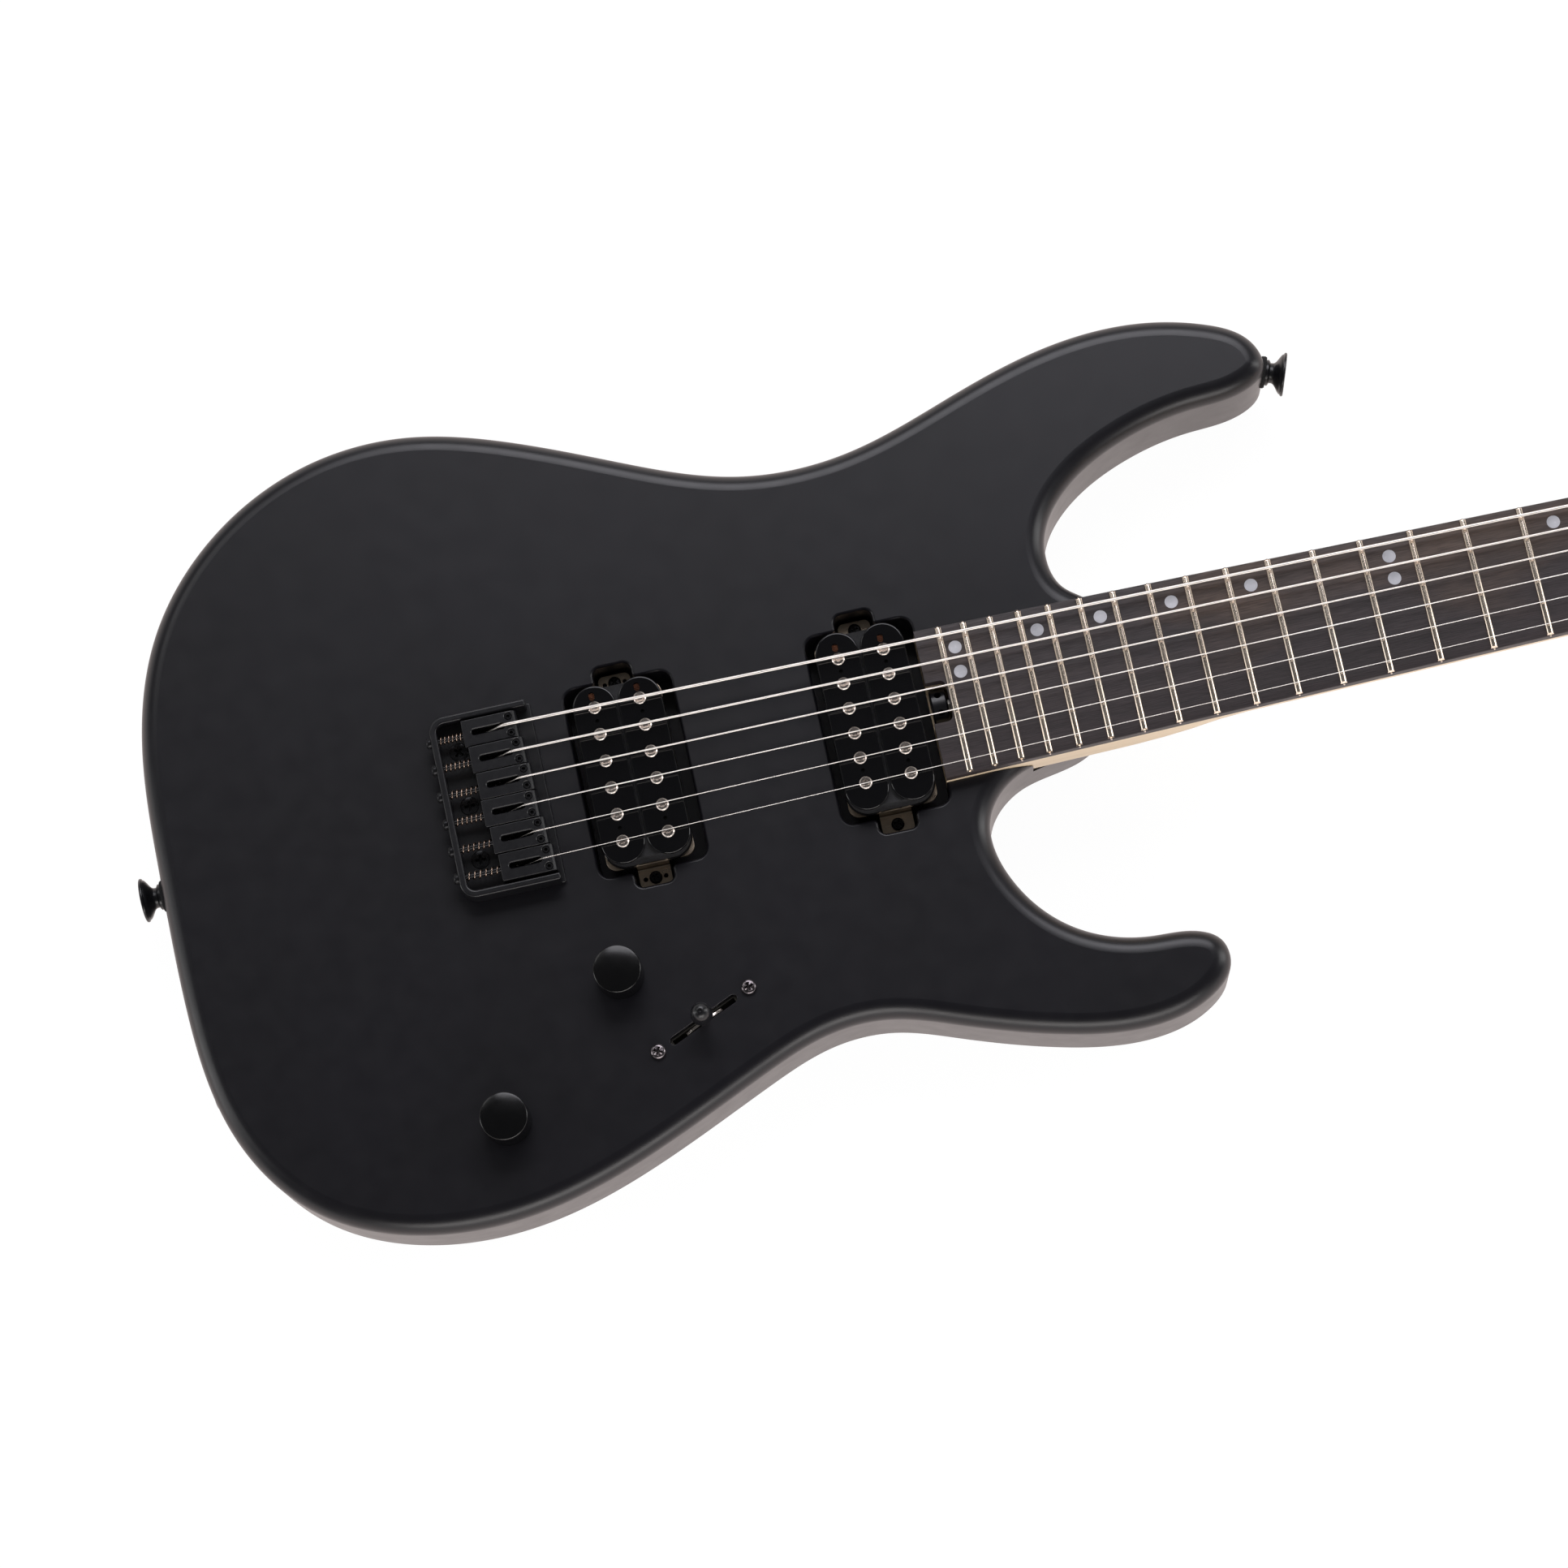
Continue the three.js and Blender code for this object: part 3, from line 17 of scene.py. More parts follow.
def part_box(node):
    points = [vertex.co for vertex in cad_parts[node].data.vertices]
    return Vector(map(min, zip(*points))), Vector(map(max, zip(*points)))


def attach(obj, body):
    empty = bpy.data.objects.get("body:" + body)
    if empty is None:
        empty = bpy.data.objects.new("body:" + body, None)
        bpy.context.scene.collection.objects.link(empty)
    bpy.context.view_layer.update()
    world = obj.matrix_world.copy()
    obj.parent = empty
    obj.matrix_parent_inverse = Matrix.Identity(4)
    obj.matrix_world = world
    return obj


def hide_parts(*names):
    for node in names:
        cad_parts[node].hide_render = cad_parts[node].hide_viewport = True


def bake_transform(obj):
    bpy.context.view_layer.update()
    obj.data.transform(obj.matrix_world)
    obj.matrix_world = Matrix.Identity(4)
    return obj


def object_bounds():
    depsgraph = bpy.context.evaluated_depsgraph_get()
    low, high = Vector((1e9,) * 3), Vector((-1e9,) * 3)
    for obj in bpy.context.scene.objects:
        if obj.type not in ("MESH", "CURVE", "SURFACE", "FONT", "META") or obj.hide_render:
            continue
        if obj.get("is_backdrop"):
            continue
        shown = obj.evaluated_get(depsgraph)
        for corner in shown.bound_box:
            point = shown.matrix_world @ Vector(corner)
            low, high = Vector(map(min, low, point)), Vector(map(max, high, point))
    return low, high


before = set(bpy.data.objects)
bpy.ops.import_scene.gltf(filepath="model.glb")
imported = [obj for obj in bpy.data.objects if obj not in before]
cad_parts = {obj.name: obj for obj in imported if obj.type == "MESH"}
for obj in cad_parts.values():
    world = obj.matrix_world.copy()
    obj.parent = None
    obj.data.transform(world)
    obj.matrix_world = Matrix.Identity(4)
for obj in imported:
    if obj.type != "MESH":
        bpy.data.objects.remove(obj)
cad_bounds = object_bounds()
MM = 0.001

# %% [markdown]
# ## Levels that every piece shares
# On a bolt-on guitar everything hangs on a few heights and lines: the face of the wood,
# the top of the fretboard, the nut. They are read from the solids' boxes, so a piece made
# here always meets the piece beside it.

# %% Levels read from the solids


def box_mm(node):
    """Lowest and highest corner of a solid, in millimetres."""
    low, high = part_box(node)
    return low / MM, high / MM


def middle_mm(node):
    """The middle of a solid's box, in millimetres."""
    low, high = box_mm(node)
    return (low + high) / 2


SEAT_GAP = 0.1
FRETS = 24
STRINGS = 6
BODY_LOW, BODY_HIGH = box_mm("body")
BODY_TOP = BODY_HIGH.z
NUT_X = box_mm("nut")[0].x - SEAT_GAP
BOARD_LOW, BOARD_HIGH = box_mm("fretboard")
BOARD_END = BOARD_LOW.x
BOARD_BOTTOM = BOARD_LOW.z
FRET_HEIGHT = 1.2
FRET_TOP = BOARD_HIGH.z
BOARD_TOP = FRET_TOP - FRET_HEIGHT
BOARD_CAMBER_RADIUS = 400
NECK_LOW, NECK_HIGH = box_mm("neck")
NECK_TOP = NECK_HIGH.z
HALF_BOARD_AT_END = BOARD_HIGH.y
HALF_BOARD_AT_NUT = box_mm("nut")[1].y + SEAT_GAP
SADDLES = [box_mm(f"saddle_{i + 1}") for i in range(STRINGS)]
STRING_RADII = [0.58, 0.45, 0.33, 0.22, 0.165, 0.127]
SPREAD_AT_NUT = 35.6
STRING_LIFT_AT_NUT = 0.45
STRING_LIFT_AT_BRIDGE = 2.7


def camber(y):
    """How far the rounded fretboard has dropped at a distance from the centre line."""
    return y * y / (2 * BOARD_CAMBER_RADIUS)


def half_board(x):
    """Half the fretboard's width at a place along the neck."""
    share = (NUT_X - x) / (NUT_X - BOARD_END)
    return HALF_BOARD_AT_NUT + (HALF_BOARD_AT_END - HALF_BOARD_AT_NUT) * share


def saddle_y(index):
    return (SADDLES[index][0].y + SADDLES[index][1].y) / 2


def string_y(index, x):
    """A string's distance from the centre line, at a place along the neck."""
    at_nut = SPREAD_AT_NUT * (0.5 - index / (STRINGS - 1))
    return saddle_y(index) + (at_nut - saddle_y(index)) * x / NUT_X


def string_bottom(index, x):
    """The height of a string's underside between the bridge and the nut."""
    rise = STRING_LIFT_AT_BRIDGE - STRING_LIFT_AT_NUT
    lift = STRING_LIFT_AT_NUT + rise * (1 - x / NUT_X)
    return FRET_TOP + lift - camber(string_y(index, x))


def fret_x(number):
    """Each fret stands a twelfth root of two nearer the bridge than the one before."""
    return NUT_X * 2 ** (-number / 12)


print(f"scale {NUT_X:.1f} mm, board ends at {BOARD_END:.1f}, body face at {BODY_TOP:.1f}")

# %% [markdown]
# ## The camera
# The guitar is seen from above with a long lens, a little from the treble side, and rolled
# so that the neck climbs to the right. A camera that looks from one point to another needs
# only three facts, and the roll is one more turn about its own line of sight.

# %% Camera
CAMERA_AT = Vector((0.0978, -0.4035, 1.8303))
CAMERA_AIM = Vector((0.0928, -0.0162, 0.0445))
CAMERA_ROLL = math.radians(-13.13)
LENS = 111.45

camera_data = bpy.data.cameras.new("camera")
camera_data.lens = LENS
camera_data.sensor_width = 36
camera = bpy.data.objects.new("camera", camera_data)
bpy.context.collection.objects.link(camera)
looking = (CAMERA_AIM - CAMERA_AT).to_track_quat("-Z", "Y").to_matrix().to_4x4()
camera.matrix_world = Matrix.Translation(CAMERA_AT) @ looking @ Matrix.Rotation(CAMERA_ROLL, 4, "Z")
bpy.context.scene.camera = camera
print("camera axes", [[round(v, 4) for v in column[:3]] for column in camera.matrix_world.col[:3]])

# %% [markdown]
# ## Node materials
# Every finish below is a small node tree. One function adds any node, sets it up and links
# it, so that each finish reads as a short list. Colours are written as the hex values of a
# paint chart, and one function turns them into the linear light that Blender works in.

# %% Colours, nodes and ramps


def linear(hex_colour):
    """An sRGB hex colour as linear red, green, blue and alpha."""
    parts = [int(hex_colour[i : i + 2], 16) / 255 for i in (1, 3, 5)]
    light = [p / 12.92 if p <= 0.04045 else ((p + 0.055) / 1.055) ** 2.4 for p in parts]
    return (*light, 1)


print("mid grey as light", round(linear("#808080")[0], 3))


def add_node(tree, kind, inputs=None, **settings):
    """Adds a node. An input is a value, or the output socket that feeds it."""
    node = tree.nodes.new(kind)
    for name, value in settings.items():
        setattr(node, name, value)
    for key, value in (inputs or {}).items():
        socket = node.inputs[key]
        if isinstance(value, bpy.types.NodeSocket):
            tree.links.new(value, socket)
        else:
            socket.default_value = value
    return node


def colour_ramp(tree, factor, stops):
    """A ramp through (place, hex colour) stops."""
    node = add_node(tree, "ShaderNodeValToRGB", {"Fac": factor})
    while len(node.color_ramp.elements) < len(stops):
        node.color_ramp.elements.new(0.5)
    for element, (place, hex_colour) in zip(node.color_ramp.elements, stops):
        element.position = place
        element.color = linear(hex_colour)
    return node.outputs["Color"]


# %% [markdown]
# A finish starts from a Principled shader and a place on the piece in millimetres, because
# grain and peel are measured in millimetres. Noise gives the pattern, a range turns it into
# gloss, and a bump turns it into relief.

# %% A material, its noise and its relief


def new_material(name):
    """A material with its shader, its tree and the object coordinates in millimetres."""
    material = bpy.data.materials.new(name)
    material.use_nodes = True
    tree = material.node_tree
    shader = tree.nodes["Principled BSDF"]
    place = add_node(tree, "ShaderNodeTexCoord").outputs["Object"]
    inputs = {0: place, 1: (1 / MM,) * 3}
    scaled = add_node(tree, "ShaderNodeVectorMath", inputs, operation="MULTIPLY")
    return material, tree, shader, scaled.outputs[0]


def noise(tree, place, size, detail=2.0, stretch=(1, 1, 1)):
    """Noise whose lumps are about size millimetres across, longer where stretch is less."""
    mapping = add_node(tree, "ShaderNodeMapping", {"Vector": place, "Scale": stretch})
    inputs = {"Vector": mapping.outputs[0], "Scale": 1 / size, "Detail": detail}
    return add_node(tree, "ShaderNodeTexNoise", inputs).outputs["Fac"]


def spread(tree, factor, low, high):
    """Turns noise into a number between low and high."""
    inputs = {"Value": factor, "From Min": 0.3, "From Max": 0.7, "To Min": low, "To Max": high}
    return add_node(tree, "ShaderNodeMapRange", inputs).outputs["Result"]


def bump(tree, shader, height, depth_mm):
    """Raises the surface by depth_mm where the height is 1."""
    node = add_node(tree, "ShaderNodeBump", {"Height": height, "Distance": depth_mm * MM, "Strength": 1.0})
    tree.links.new(node.outputs[0], shader.inputs["Normal"])


def dress(tree, shader, colour, roughness):
    """Feeds a colour and a gloss pattern to the shader."""
    tree.links.new(colour, shader.inputs["Base Color"])
    tree.links.new(roughness, shader.inputs["Roughness"])


# %% [markdown]
# ## Finishes of wood and lacquer
# The body is wood under a satin black polyurethane, sprayed and left unpolished: the eye
# sees a soft broad sheen, a trace of orange peel, and no grain. The gloss drifts a little
# from patch to patch, as sprayed coats do. The peel is drawn coarser than a real one.

# %% Satin black lacquer
SPRAY_ORANGE_PEEL_MM = 1.6
COAT_CLOUD_MM = 60
GLOSS_PATCH_MM = 9


def satin_black_lacquer():
    material, tree, shader, place = new_material("satin_black_polyurethane_sprayed")
    black = colour_ramp(tree, noise(tree, place, COAT_CLOUD_MM, 3), [(0.3, "#0d0c11"), (0.7, "#0f0e14")])
    dress(tree, shader, black, spread(tree, noise(tree, place, GLOSS_PATCH_MM, 4), 0.33, 0.37))
    bump(tree, shader, noise(tree, place, SPRAY_ORANGE_PEEL_MM, 2), 0.008)
    return material


LACQUER = satin_black_lacquer()
print("finish", LACQUER.name)

# %% [markdown]
# The neck is maple, sanded and sealed with a thin satin film. Lines of growth run along it,
# so the noise is stretched until each lump is twenty times as long as it is wide. Finer
# fibres, stretched further, break the lines up, vary the gloss and give a trace of relief.

# %% Satin maple
MAPLE_GRAIN_MM = 2.2
GRAIN_OFFSET = 0.25


def satin_maple():
    material, tree, shader, place = new_material("maple_sanded_satin_film")
    bands = noise(tree, place, MAPLE_GRAIN_MM * 4, 3, (0.05, 1, 1))
    fibres = noise(tree, place, MAPLE_GRAIN_MM / 4, 3, (0.02, 1, 1))
    mixed = add_node(tree, "ShaderNodeMath", {0: bands, 1: fibres}, operation="MULTIPLY_ADD")
    mixed.inputs[2].default_value = GRAIN_OFFSET
    stops = [(0.3, "#d9bf9c"), (0.5, "#e7d0b0"), (0.7, "#efdcc2")]
    dress(tree, shader, colour_ramp(tree, mixed.outputs[0], stops), spread(tree, fibres, 0.36, 0.48))
    bump(tree, shader, fibres, 0.012)
    return material


MAPLE = satin_maple()
print("finish", MAPLE.name)

# %% [markdown]
# The board is a dark hardwood, oiled and not sealed: open pores break the gloss, and brown
# streaks come and go along it. Real pores are about half as wide as these, which are drawn
# as coarse as they need to be to show.

# %% Dark oiled board
PORE_WIDTH_MM = 0.35
STREAK_MM = 9
BROWN_PATCH_MM = 40


def dark_fretboard_wood():
    material, tree, shader, place = new_material("dark_hardwood_oiled_open_pore")
    streaks = noise(tree, place, STREAK_MM, 4, (0.07, 1, 1))
    pores = noise(tree, place, PORE_WIDTH_MM, 2, (0.05, 1, 1))
    warm = noise(tree, place, BROWN_PATCH_MM, 2, (0.5, 1, 1))
    ground = colour_ramp(tree, streaks, [(0.25, "#292324"), (0.5, "#332b2d"), (0.78, "#3f3636")])
    brown = colour_ramp(tree, streaks, [(0.3, "#3a2b23"), (0.7, "#57453a")])
    patch = spread(tree, warm, -0.9, 0.9)
    mixed = add_node(tree, "ShaderNodeMix", {0: patch, 6: ground, 7: brown}, data_type="RGBA")
    inputs = {0: mixed.outputs[2], 1: spread(tree, pores, 0.55, 1.1)}
    shaded = add_node(tree, "ShaderNodeVectorMath", inputs, operation="MULTIPLY")
    dress(tree, shader, shaded.outputs[0], spread(tree, pores, 0.62, 0.45))
    bump(tree, shader, pores, 0.05)
    return material


BOARD_WOOD = dark_fretboard_wood()
print("finish", BOARD_WOOD.name)

# %% [markdown]
# ## Finishes of metal and plastic
# Most other parts have one colour and one gloss, which vary a little over a fine grain. One
# function makes them all, from two close colours, a range of roughness, how metallic it is,
# the size of the grain and how far it stands up, both in millimetres.

# %% A finish with a little variation
CLOUDS_PER_GRAIN = 12


def plain_finish(name, colours, roughness, metallic, grain_mm, lift_mm, stretch=(1, 1, 1)):
    """Colour, gloss and relief follow one fine grain; the colour also drifts in clouds."""
    material, tree, shader, place = new_material(name)
    grain = noise(tree, place, grain_mm, 3, stretch)
    cloud = noise(tree, place, grain_mm * CLOUDS_PER_GRAIN, 2, stretch)
    colour = colour_ramp(tree, cloud, [(0.35, colours[0]), (0.65, colours[1])])
    dress(tree, shader, colour, spread(tree, grain, *roughness))
    shader.inputs["Metallic"].default_value = metallic
    bump(tree, shader, grain, lift_mm)
    return material


# %% [markdown]
# Black hardware is steel under a satin coating, so it shades like lacquer and not like a
# metal. Bare and plated metals follow. Each comment says what the making gives the eye.

# %% Coatings and metals
# An even coat: soft highlights without a tint of metal.
HARDWARE = plain_finish(
    "steel_satin_black_electrocoated", ("#0f0f12", "#131316"), (0.28, 0.34), 0.0, 1.6, 0.0006)
# Oxide lets the steel through: small grey glints.
SCREW_BLACK = plain_finish(
    "steel_screw_black_oxide", ("#1a1a1c", "#242426"), (0.24, 0.34), 0.6, 1.2, 0.0006)
# A warm grey mirror, a little blurred.
DARK_NICKEL = plain_finish(
    "steel_screw_dark_nickel", ("#6c6669", "#8d8689"), (0.2, 0.28), 1.0, 2.0, 0.0005)
# Bright plating: small sharp mirrors of the room.
NICKEL = plain_finish(
    "nickel_plated_steel_polished", ("#e9ddd5", "#f6ece4"), (0.13, 0.2), 1.0, 4.0, 0.0002)
# Polished along the crown: long warm highlights.
FRET_METAL = plain_finish(
    "nickel_silver_fretwire_polished", ("#f3e1ce", "#fbeddd"), (0.2, 0.26), 1.0, 3.0, 0.0003, (1, 0.1, 1))
# Pale grey with a faint crystal grain.
ZINC = plain_finish(
    "steel_zinc_plated", ("#b9b6ae", "#cfcbc2"), (0.3, 0.42), 1.0, 2.0, 0.004)
print("coatings and metals ready")

# %% [markdown]
# Most of these are black, and only their gloss tells them apart: close to a mirror on the
# bobbins and knobs, a dull grain on the cover, and nothing at all on felt.

# %% Plastics, pickup metals, springs and felt
# Glossy from the mould: sharp highlights on deep black.
BOBBIN = plain_finish(
    "abs_black_gloss_moulded", ("#08080a", "#0b0b0d"), (0.06, 0.12), 0.0, 3.0, 0.002)
# Tarnish: a brownish metal with uneven, blurred gloss.
BRONZE = plain_finish(
    "nickel_silver_tarnished_stamped", ("#b0a08e", "#d6c5b1"), (0.25, 0.4), 1.0, 3.0, 0.004)
# Lacquer over turned metal: deep black with tight bright edges.
KNOB_METAL = plain_finish(
    "brass_black_lacquered_turned", ("#040405", "#070708"), (0.17, 0.21), 0.0, 4.0, 0.0005)
# Polished by hand: a soft line along the rounded top.
BLACK_NUT = plain_finish(
    "nut_black_moulded_polished", ("#101012", "#17171a"), (0.22, 0.32), 0.0, 1.0, 0.003)
# A textured mould: dull black with fine pebbles.
COVER_PLASTIC = plain_finish(
    "abs_black_textured_moulded", ("#131315", "#18181a"), (0.45, 0.6), 0.0, 0.7, 0.03)
# Enamel over copper: dark red-brown glints.
COPPER = plain_finish(
    "copper_wire_enamelled", ("#3c261d", "#553729"), (0.3, 0.45), 1.0, 0.4, 0.004)
# Darkened wire: brown-grey, with a bright spot on every coil.
SPRING_STEEL = plain_finish(
    "spring_steel_darkened", ("#9c8678", "#c4ac9b"), (0.2, 0.3), 1.0, 0.5, 0.001)
# Cloudy plastic: pale grey with a soft shine.
PEARL = plain_finish(
    "pearloid_polished", ("#a6a6ad", "#bebec5"), (0.15, 0.3), 0.0, 0.9, 0.001)
# Pressed fibres: no highlight at all.
FELT = plain_finish(
    "wool_felt_black_pressed", ("#0b0b0c", "#1b1b1d"), (0.85, 1.0), 0.0, 0.25, 0.12)
# A woven tape: matt, almost black.
CLOTH_TAPE = plain_finish(
    "acetate_tape_black", ("#101012", "#202023"), (0.6, 0.8), 0.0, 0.3, 0.06)
print("plastics, pickup metals, springs and felt ready")

# %% [markdown]
# The bass strings are a steel core wound with nickel wire, which catches the light as fine
# bands. A wave in bands across the string draws them, about a quarter of a millimetre
# apart. The treble strings are plain drawn steel.

# %% String wire
WINDING_BANDS = 1.2


def wire_steel():
    material, tree, shader, place = new_material("nickel_steel_wire_wound")
    inputs = {"Vector": place, "Scale": WINDING_BANDS}
    turns = add_node(tree, "ShaderNodeTexWave", inputs, bands_direction="X").outputs["Fac"]
    colour = colour_ramp(tree, turns, [(0.0, "#f0e8e0"), (1.0, "#fffaf5")])
    dress(tree, shader, colour, spread(tree, noise(tree, place, 2), 0.34, 0.42))
    shader.inputs["Metallic"].default_value = 1.0
    bump(tree, shader, turns, 0.01)
    return material


WOUND_WIRE = wire_steel()
PLAIN_WIRE = plain_finish(
    "steel_wire_tinned_drawn", ("#f6efe8", "#fffbf6"), (0.34, 0.4), 1.0, 4.0, 0.0005)
print("string wire ready")

# %% [markdown]
# ## Shapes in mesh code
# Most parts of a guitar are turned on a lathe, cut from a plate, or drawn out along a
# line. All three are rings of points stitched to the next ring, so one function stitches
# and the others only say where the rings lie. Rings give clean quads and even shading.

# %% Stitching rings
TURN = 2 * math.pi


def stitched(rings, closed=False):
    """A solid through rings of 3D points. A ring of one point is a pole."""
    shape = bmesh.new()
    loops = [[shape.verts.new(point) for point in ring] for ring in rings]
    pairs = list(zip(loops, loops[1:])) + ([(loops[-1], loops[0])] if closed else [])
    for one, other in pairs:
        count = max(len(one), len(other))
        for i in range(count):
            j = (i + 1) % count
            corners = [one[i % len(one)], one[j % len(one)], other[j % len(other)], other[i % len(other)]]
            shape.faces.new(list(dict.fromkeys(corners)))
    for loop in () if closed else (loops[0], loops[-1]):
        if len(loop) > 2:
            shape.faces.new(loop)
    bmesh.ops.recalc_face_normals(shape, faces=shape.faces)
    return shape


def turned(profile, sides=40, closed=False):
    """A piece turned about Z, from (radius, height) pairs."""
    rings = []
    for radius, height in profile:
        angles = [TURN * i / sides for i in range(sides if radius > 1e-6 else 1)]
        rings.append([(radius * math.cos(a), radius * math.sin(a), height) for a in angles])
    return stitched(rings, closed)


print("points of a turned cone", len(turned([(1, 0), (0, 1)]).verts))

# %% [markdown]
# Plates are outlines raised through levels. The outline moves inwards a little at each level
# near an edge, and that rounds the edge over without any bevel.

# %% Plates with rounded edges


def inset_loop(points, inset):
    """A closed anticlockwise outline moved inwards, or outwards where inset is negative."""
    here = np.array(points, float)
    step = np.roll(here, -1, 0) - here
    step /= np.linalg.norm(step, axis=1)[:, None]
    ahead = np.stack([-step[:, 1], step[:, 0]], 1)
    behind = np.roll(ahead, 1, 0)
    both = ahead + behind
    return here + inset * both / (1 + (ahead * behind).sum(1))[:, None]


def prism(points, levels):
    """An outline raised through (height, inset) levels."""
    return stitched([[(x, y, z) for x, y in inset_loop(points, inset)] for z, inset in levels])


def rounded_levels(low, high, radius, steps=4):
    """Levels of a plate whose top edge is rounded over."""
    arc = [math.pi / 2 * i / steps for i in range(steps + 1)]
    rounding = [(high - radius + radius * math.sin(a), radius * (1 - math.cos(a))) for a in arc]
    return [(low, 0), *rounding]


def pill_levels(low, high, radius, steps=4):
    """Levels of a plate whose bottom and top edges are both rounded over."""
    top = rounded_levels(low, high, radius, steps)[1:]
    return [(low + high - z, inset) for z, inset in reversed(top)] + top


print("levels of a rounded plate", len(pill_levels(0, 2, 0.5)))

# %% [markdown]
# Outlines come from a few rules: circles, slots, and polygons whose corners each have their
# own radius, as a router or a press tool leaves them.

# %% Outlines


def circle(x, y, radius, sides=32):
    angles = [TURN * i / sides for i in range(sides)]
    return [(x + radius * math.cos(a), y + radius * math.sin(a)) for a in angles]


def capsule(start, end, radius, sides=32):
    """A slot's outline: two half circles joined by straight sides."""
    aim = math.atan2(end[1] - start[1], end[0] - start[0])
    points = []
    for (x, y), first in ((end, aim - math.pi / 2), (start, aim + math.pi / 2)):
        angles = [first + math.pi * i / (sides // 2) for i in range(sides // 2 + 1)]
        points += [(x + radius * math.cos(a), y + radius * math.sin(a)) for a in angles]
    return points


def rounded_polygon(corners, steps=6):
    """An outline from (x, y, radius) corners, each rounded with its own radius."""
    points = []
    for index, (x, y, radius) in enumerate(corners):
        here = Vector((x, y))
        before = (Vector(corners[index - 1][:2]) - here).normalized()
        after = (Vector(corners[(index + 1) % len(corners)][:2]) - here).normalized()
        if radius == 0:
            points.append((x, y))
            continue
        half = before.angle(after) / 2
        centre = here + (before + after).normalized() * radius / math.sin(half)
        start = here + before * radius / math.tan(half) - centre
        end = here + after * radius / math.tan(half) - centre
        sweep = start.angle_signed(end)
        for step in range(steps + 1):
            points.append(tuple(centre + Matrix.Rotation(-sweep * step / steps, 2) @ start))
    return points


def rectangle(x0, x1, y0, y1, radius, steps=6):
    return rounded_polygon([(x0, y0, radius), (x1, y0, radius), (x1, y1, radius), (x0, y1, radius)], steps)


print("points of a slot's outline", len(capsule((0, 0), (5, 0), 1)))

# %% [markdown]
# Wires follow a path of points. A shape made at the origin is then turned and moved to its
# place, and shapes that are one piece are joined without being fused.

# %% Wires, and moving and joining shapes


def tube(points, radius, sides=12):
    """A round wire along points, with a flat cap at each end."""
    path = [Vector(point) for point in points]
    side = (path[1] - path[0]).orthogonal().normalized()
    rings = []
    for index, point in enumerate(path):
        along = path[min(index + 1, len(path) - 1)] - path[max(index - 1, 0)]
        side = (side - side.project(along)).normalized()
        other = along.normalized().cross(side)
        angles = [TURN * i / sides for i in range(sides)]
        rings.append([point + radius * (math.cos(a) * side + math.sin(a) * other) for a in angles])
    return stitched(rings)


def moved(shape, at=(0, 0, 0), turn=None):
    """The same shape, turned by a matrix and then moved."""
    shape.transform(Matrix.Translation(at) @ (turn.to_4x4() if turn else Matrix()))
    return shape


def joined(*shapes):
    """Several shapes as one, which stay separate shells."""
    whole = bmesh.new()
    for shape in shapes:
        mesh = bpy.data.meshes.new("part")
        shape.to_mesh(mesh)
        whole.from_mesh(mesh)
        bpy.data.meshes.remove(mesh)
    return whole


def along(axis):
    """The turn that lays a piece made about Z along another direction."""
    return Vector((0, 0, 1)).rotation_difference(Vector(axis)).to_matrix()


print("points of a short wire", len(tube([(0, 0, 0), (1, 0, 0)], 0.2).verts))

# %% [markdown]
# ## Cutting, finishing and handing over
# Holes and pockets are cut with Blender's Boolean modifier, which does what the router
# does in the workshop. A finished piece is turned to metres, gets sharp edges where its
# faces meet steeply, and weighted normals, so that flat faces stay flat beside rounded
# edges. Then it is tied to the body that carries it.

# %% From shape to piece


def temporary(shape, name="part"):
    """A shape as an object in millimetres, for modifiers to work with."""
    mesh = bpy.data.meshes.new(name)
    shape.to_mesh(mesh)
    holder = bpy.data.objects.new(name, mesh)
    bpy.context.collection.objects.link(holder)
    return holder


def evaluated(holder):
    """What an object's modifiers make, as a plain mesh."""
    return bpy.data.meshes.new_from_object(holder.evaluated_get(bpy.context.evaluated_depsgraph_get()))


def boolean(shape, others, operation="DIFFERENCE"):
    """Cuts, joins or intersects a shape with each of the others in turn."""
    target = temporary(shape)
    tools = [temporary(other, "cutter") for other in others]
    for tool in tools:
        modifier = target.modifiers.new("cut", "BOOLEAN")
        modifier.operation, modifier.solver, modifier.object = operation, "EXACT", tool
    result = bmesh.new()
    result.from_mesh(evaluated(target))
    for holder in [target, *tools]:
        bpy.data.objects.remove(holder)
    return result


# %% [markdown]
# Two measures in square metres say which faces are shaded flat: any face wider than the
# first, and a level face wider than the second, such as the top of the body.

# %% Finishing a piece
WIDE_FACE = 0.002
LEVEL_FACE = 1e-5
LEVEL = 0.9999
CLOSE = 1e-4
BEVEL_STEPS = 3


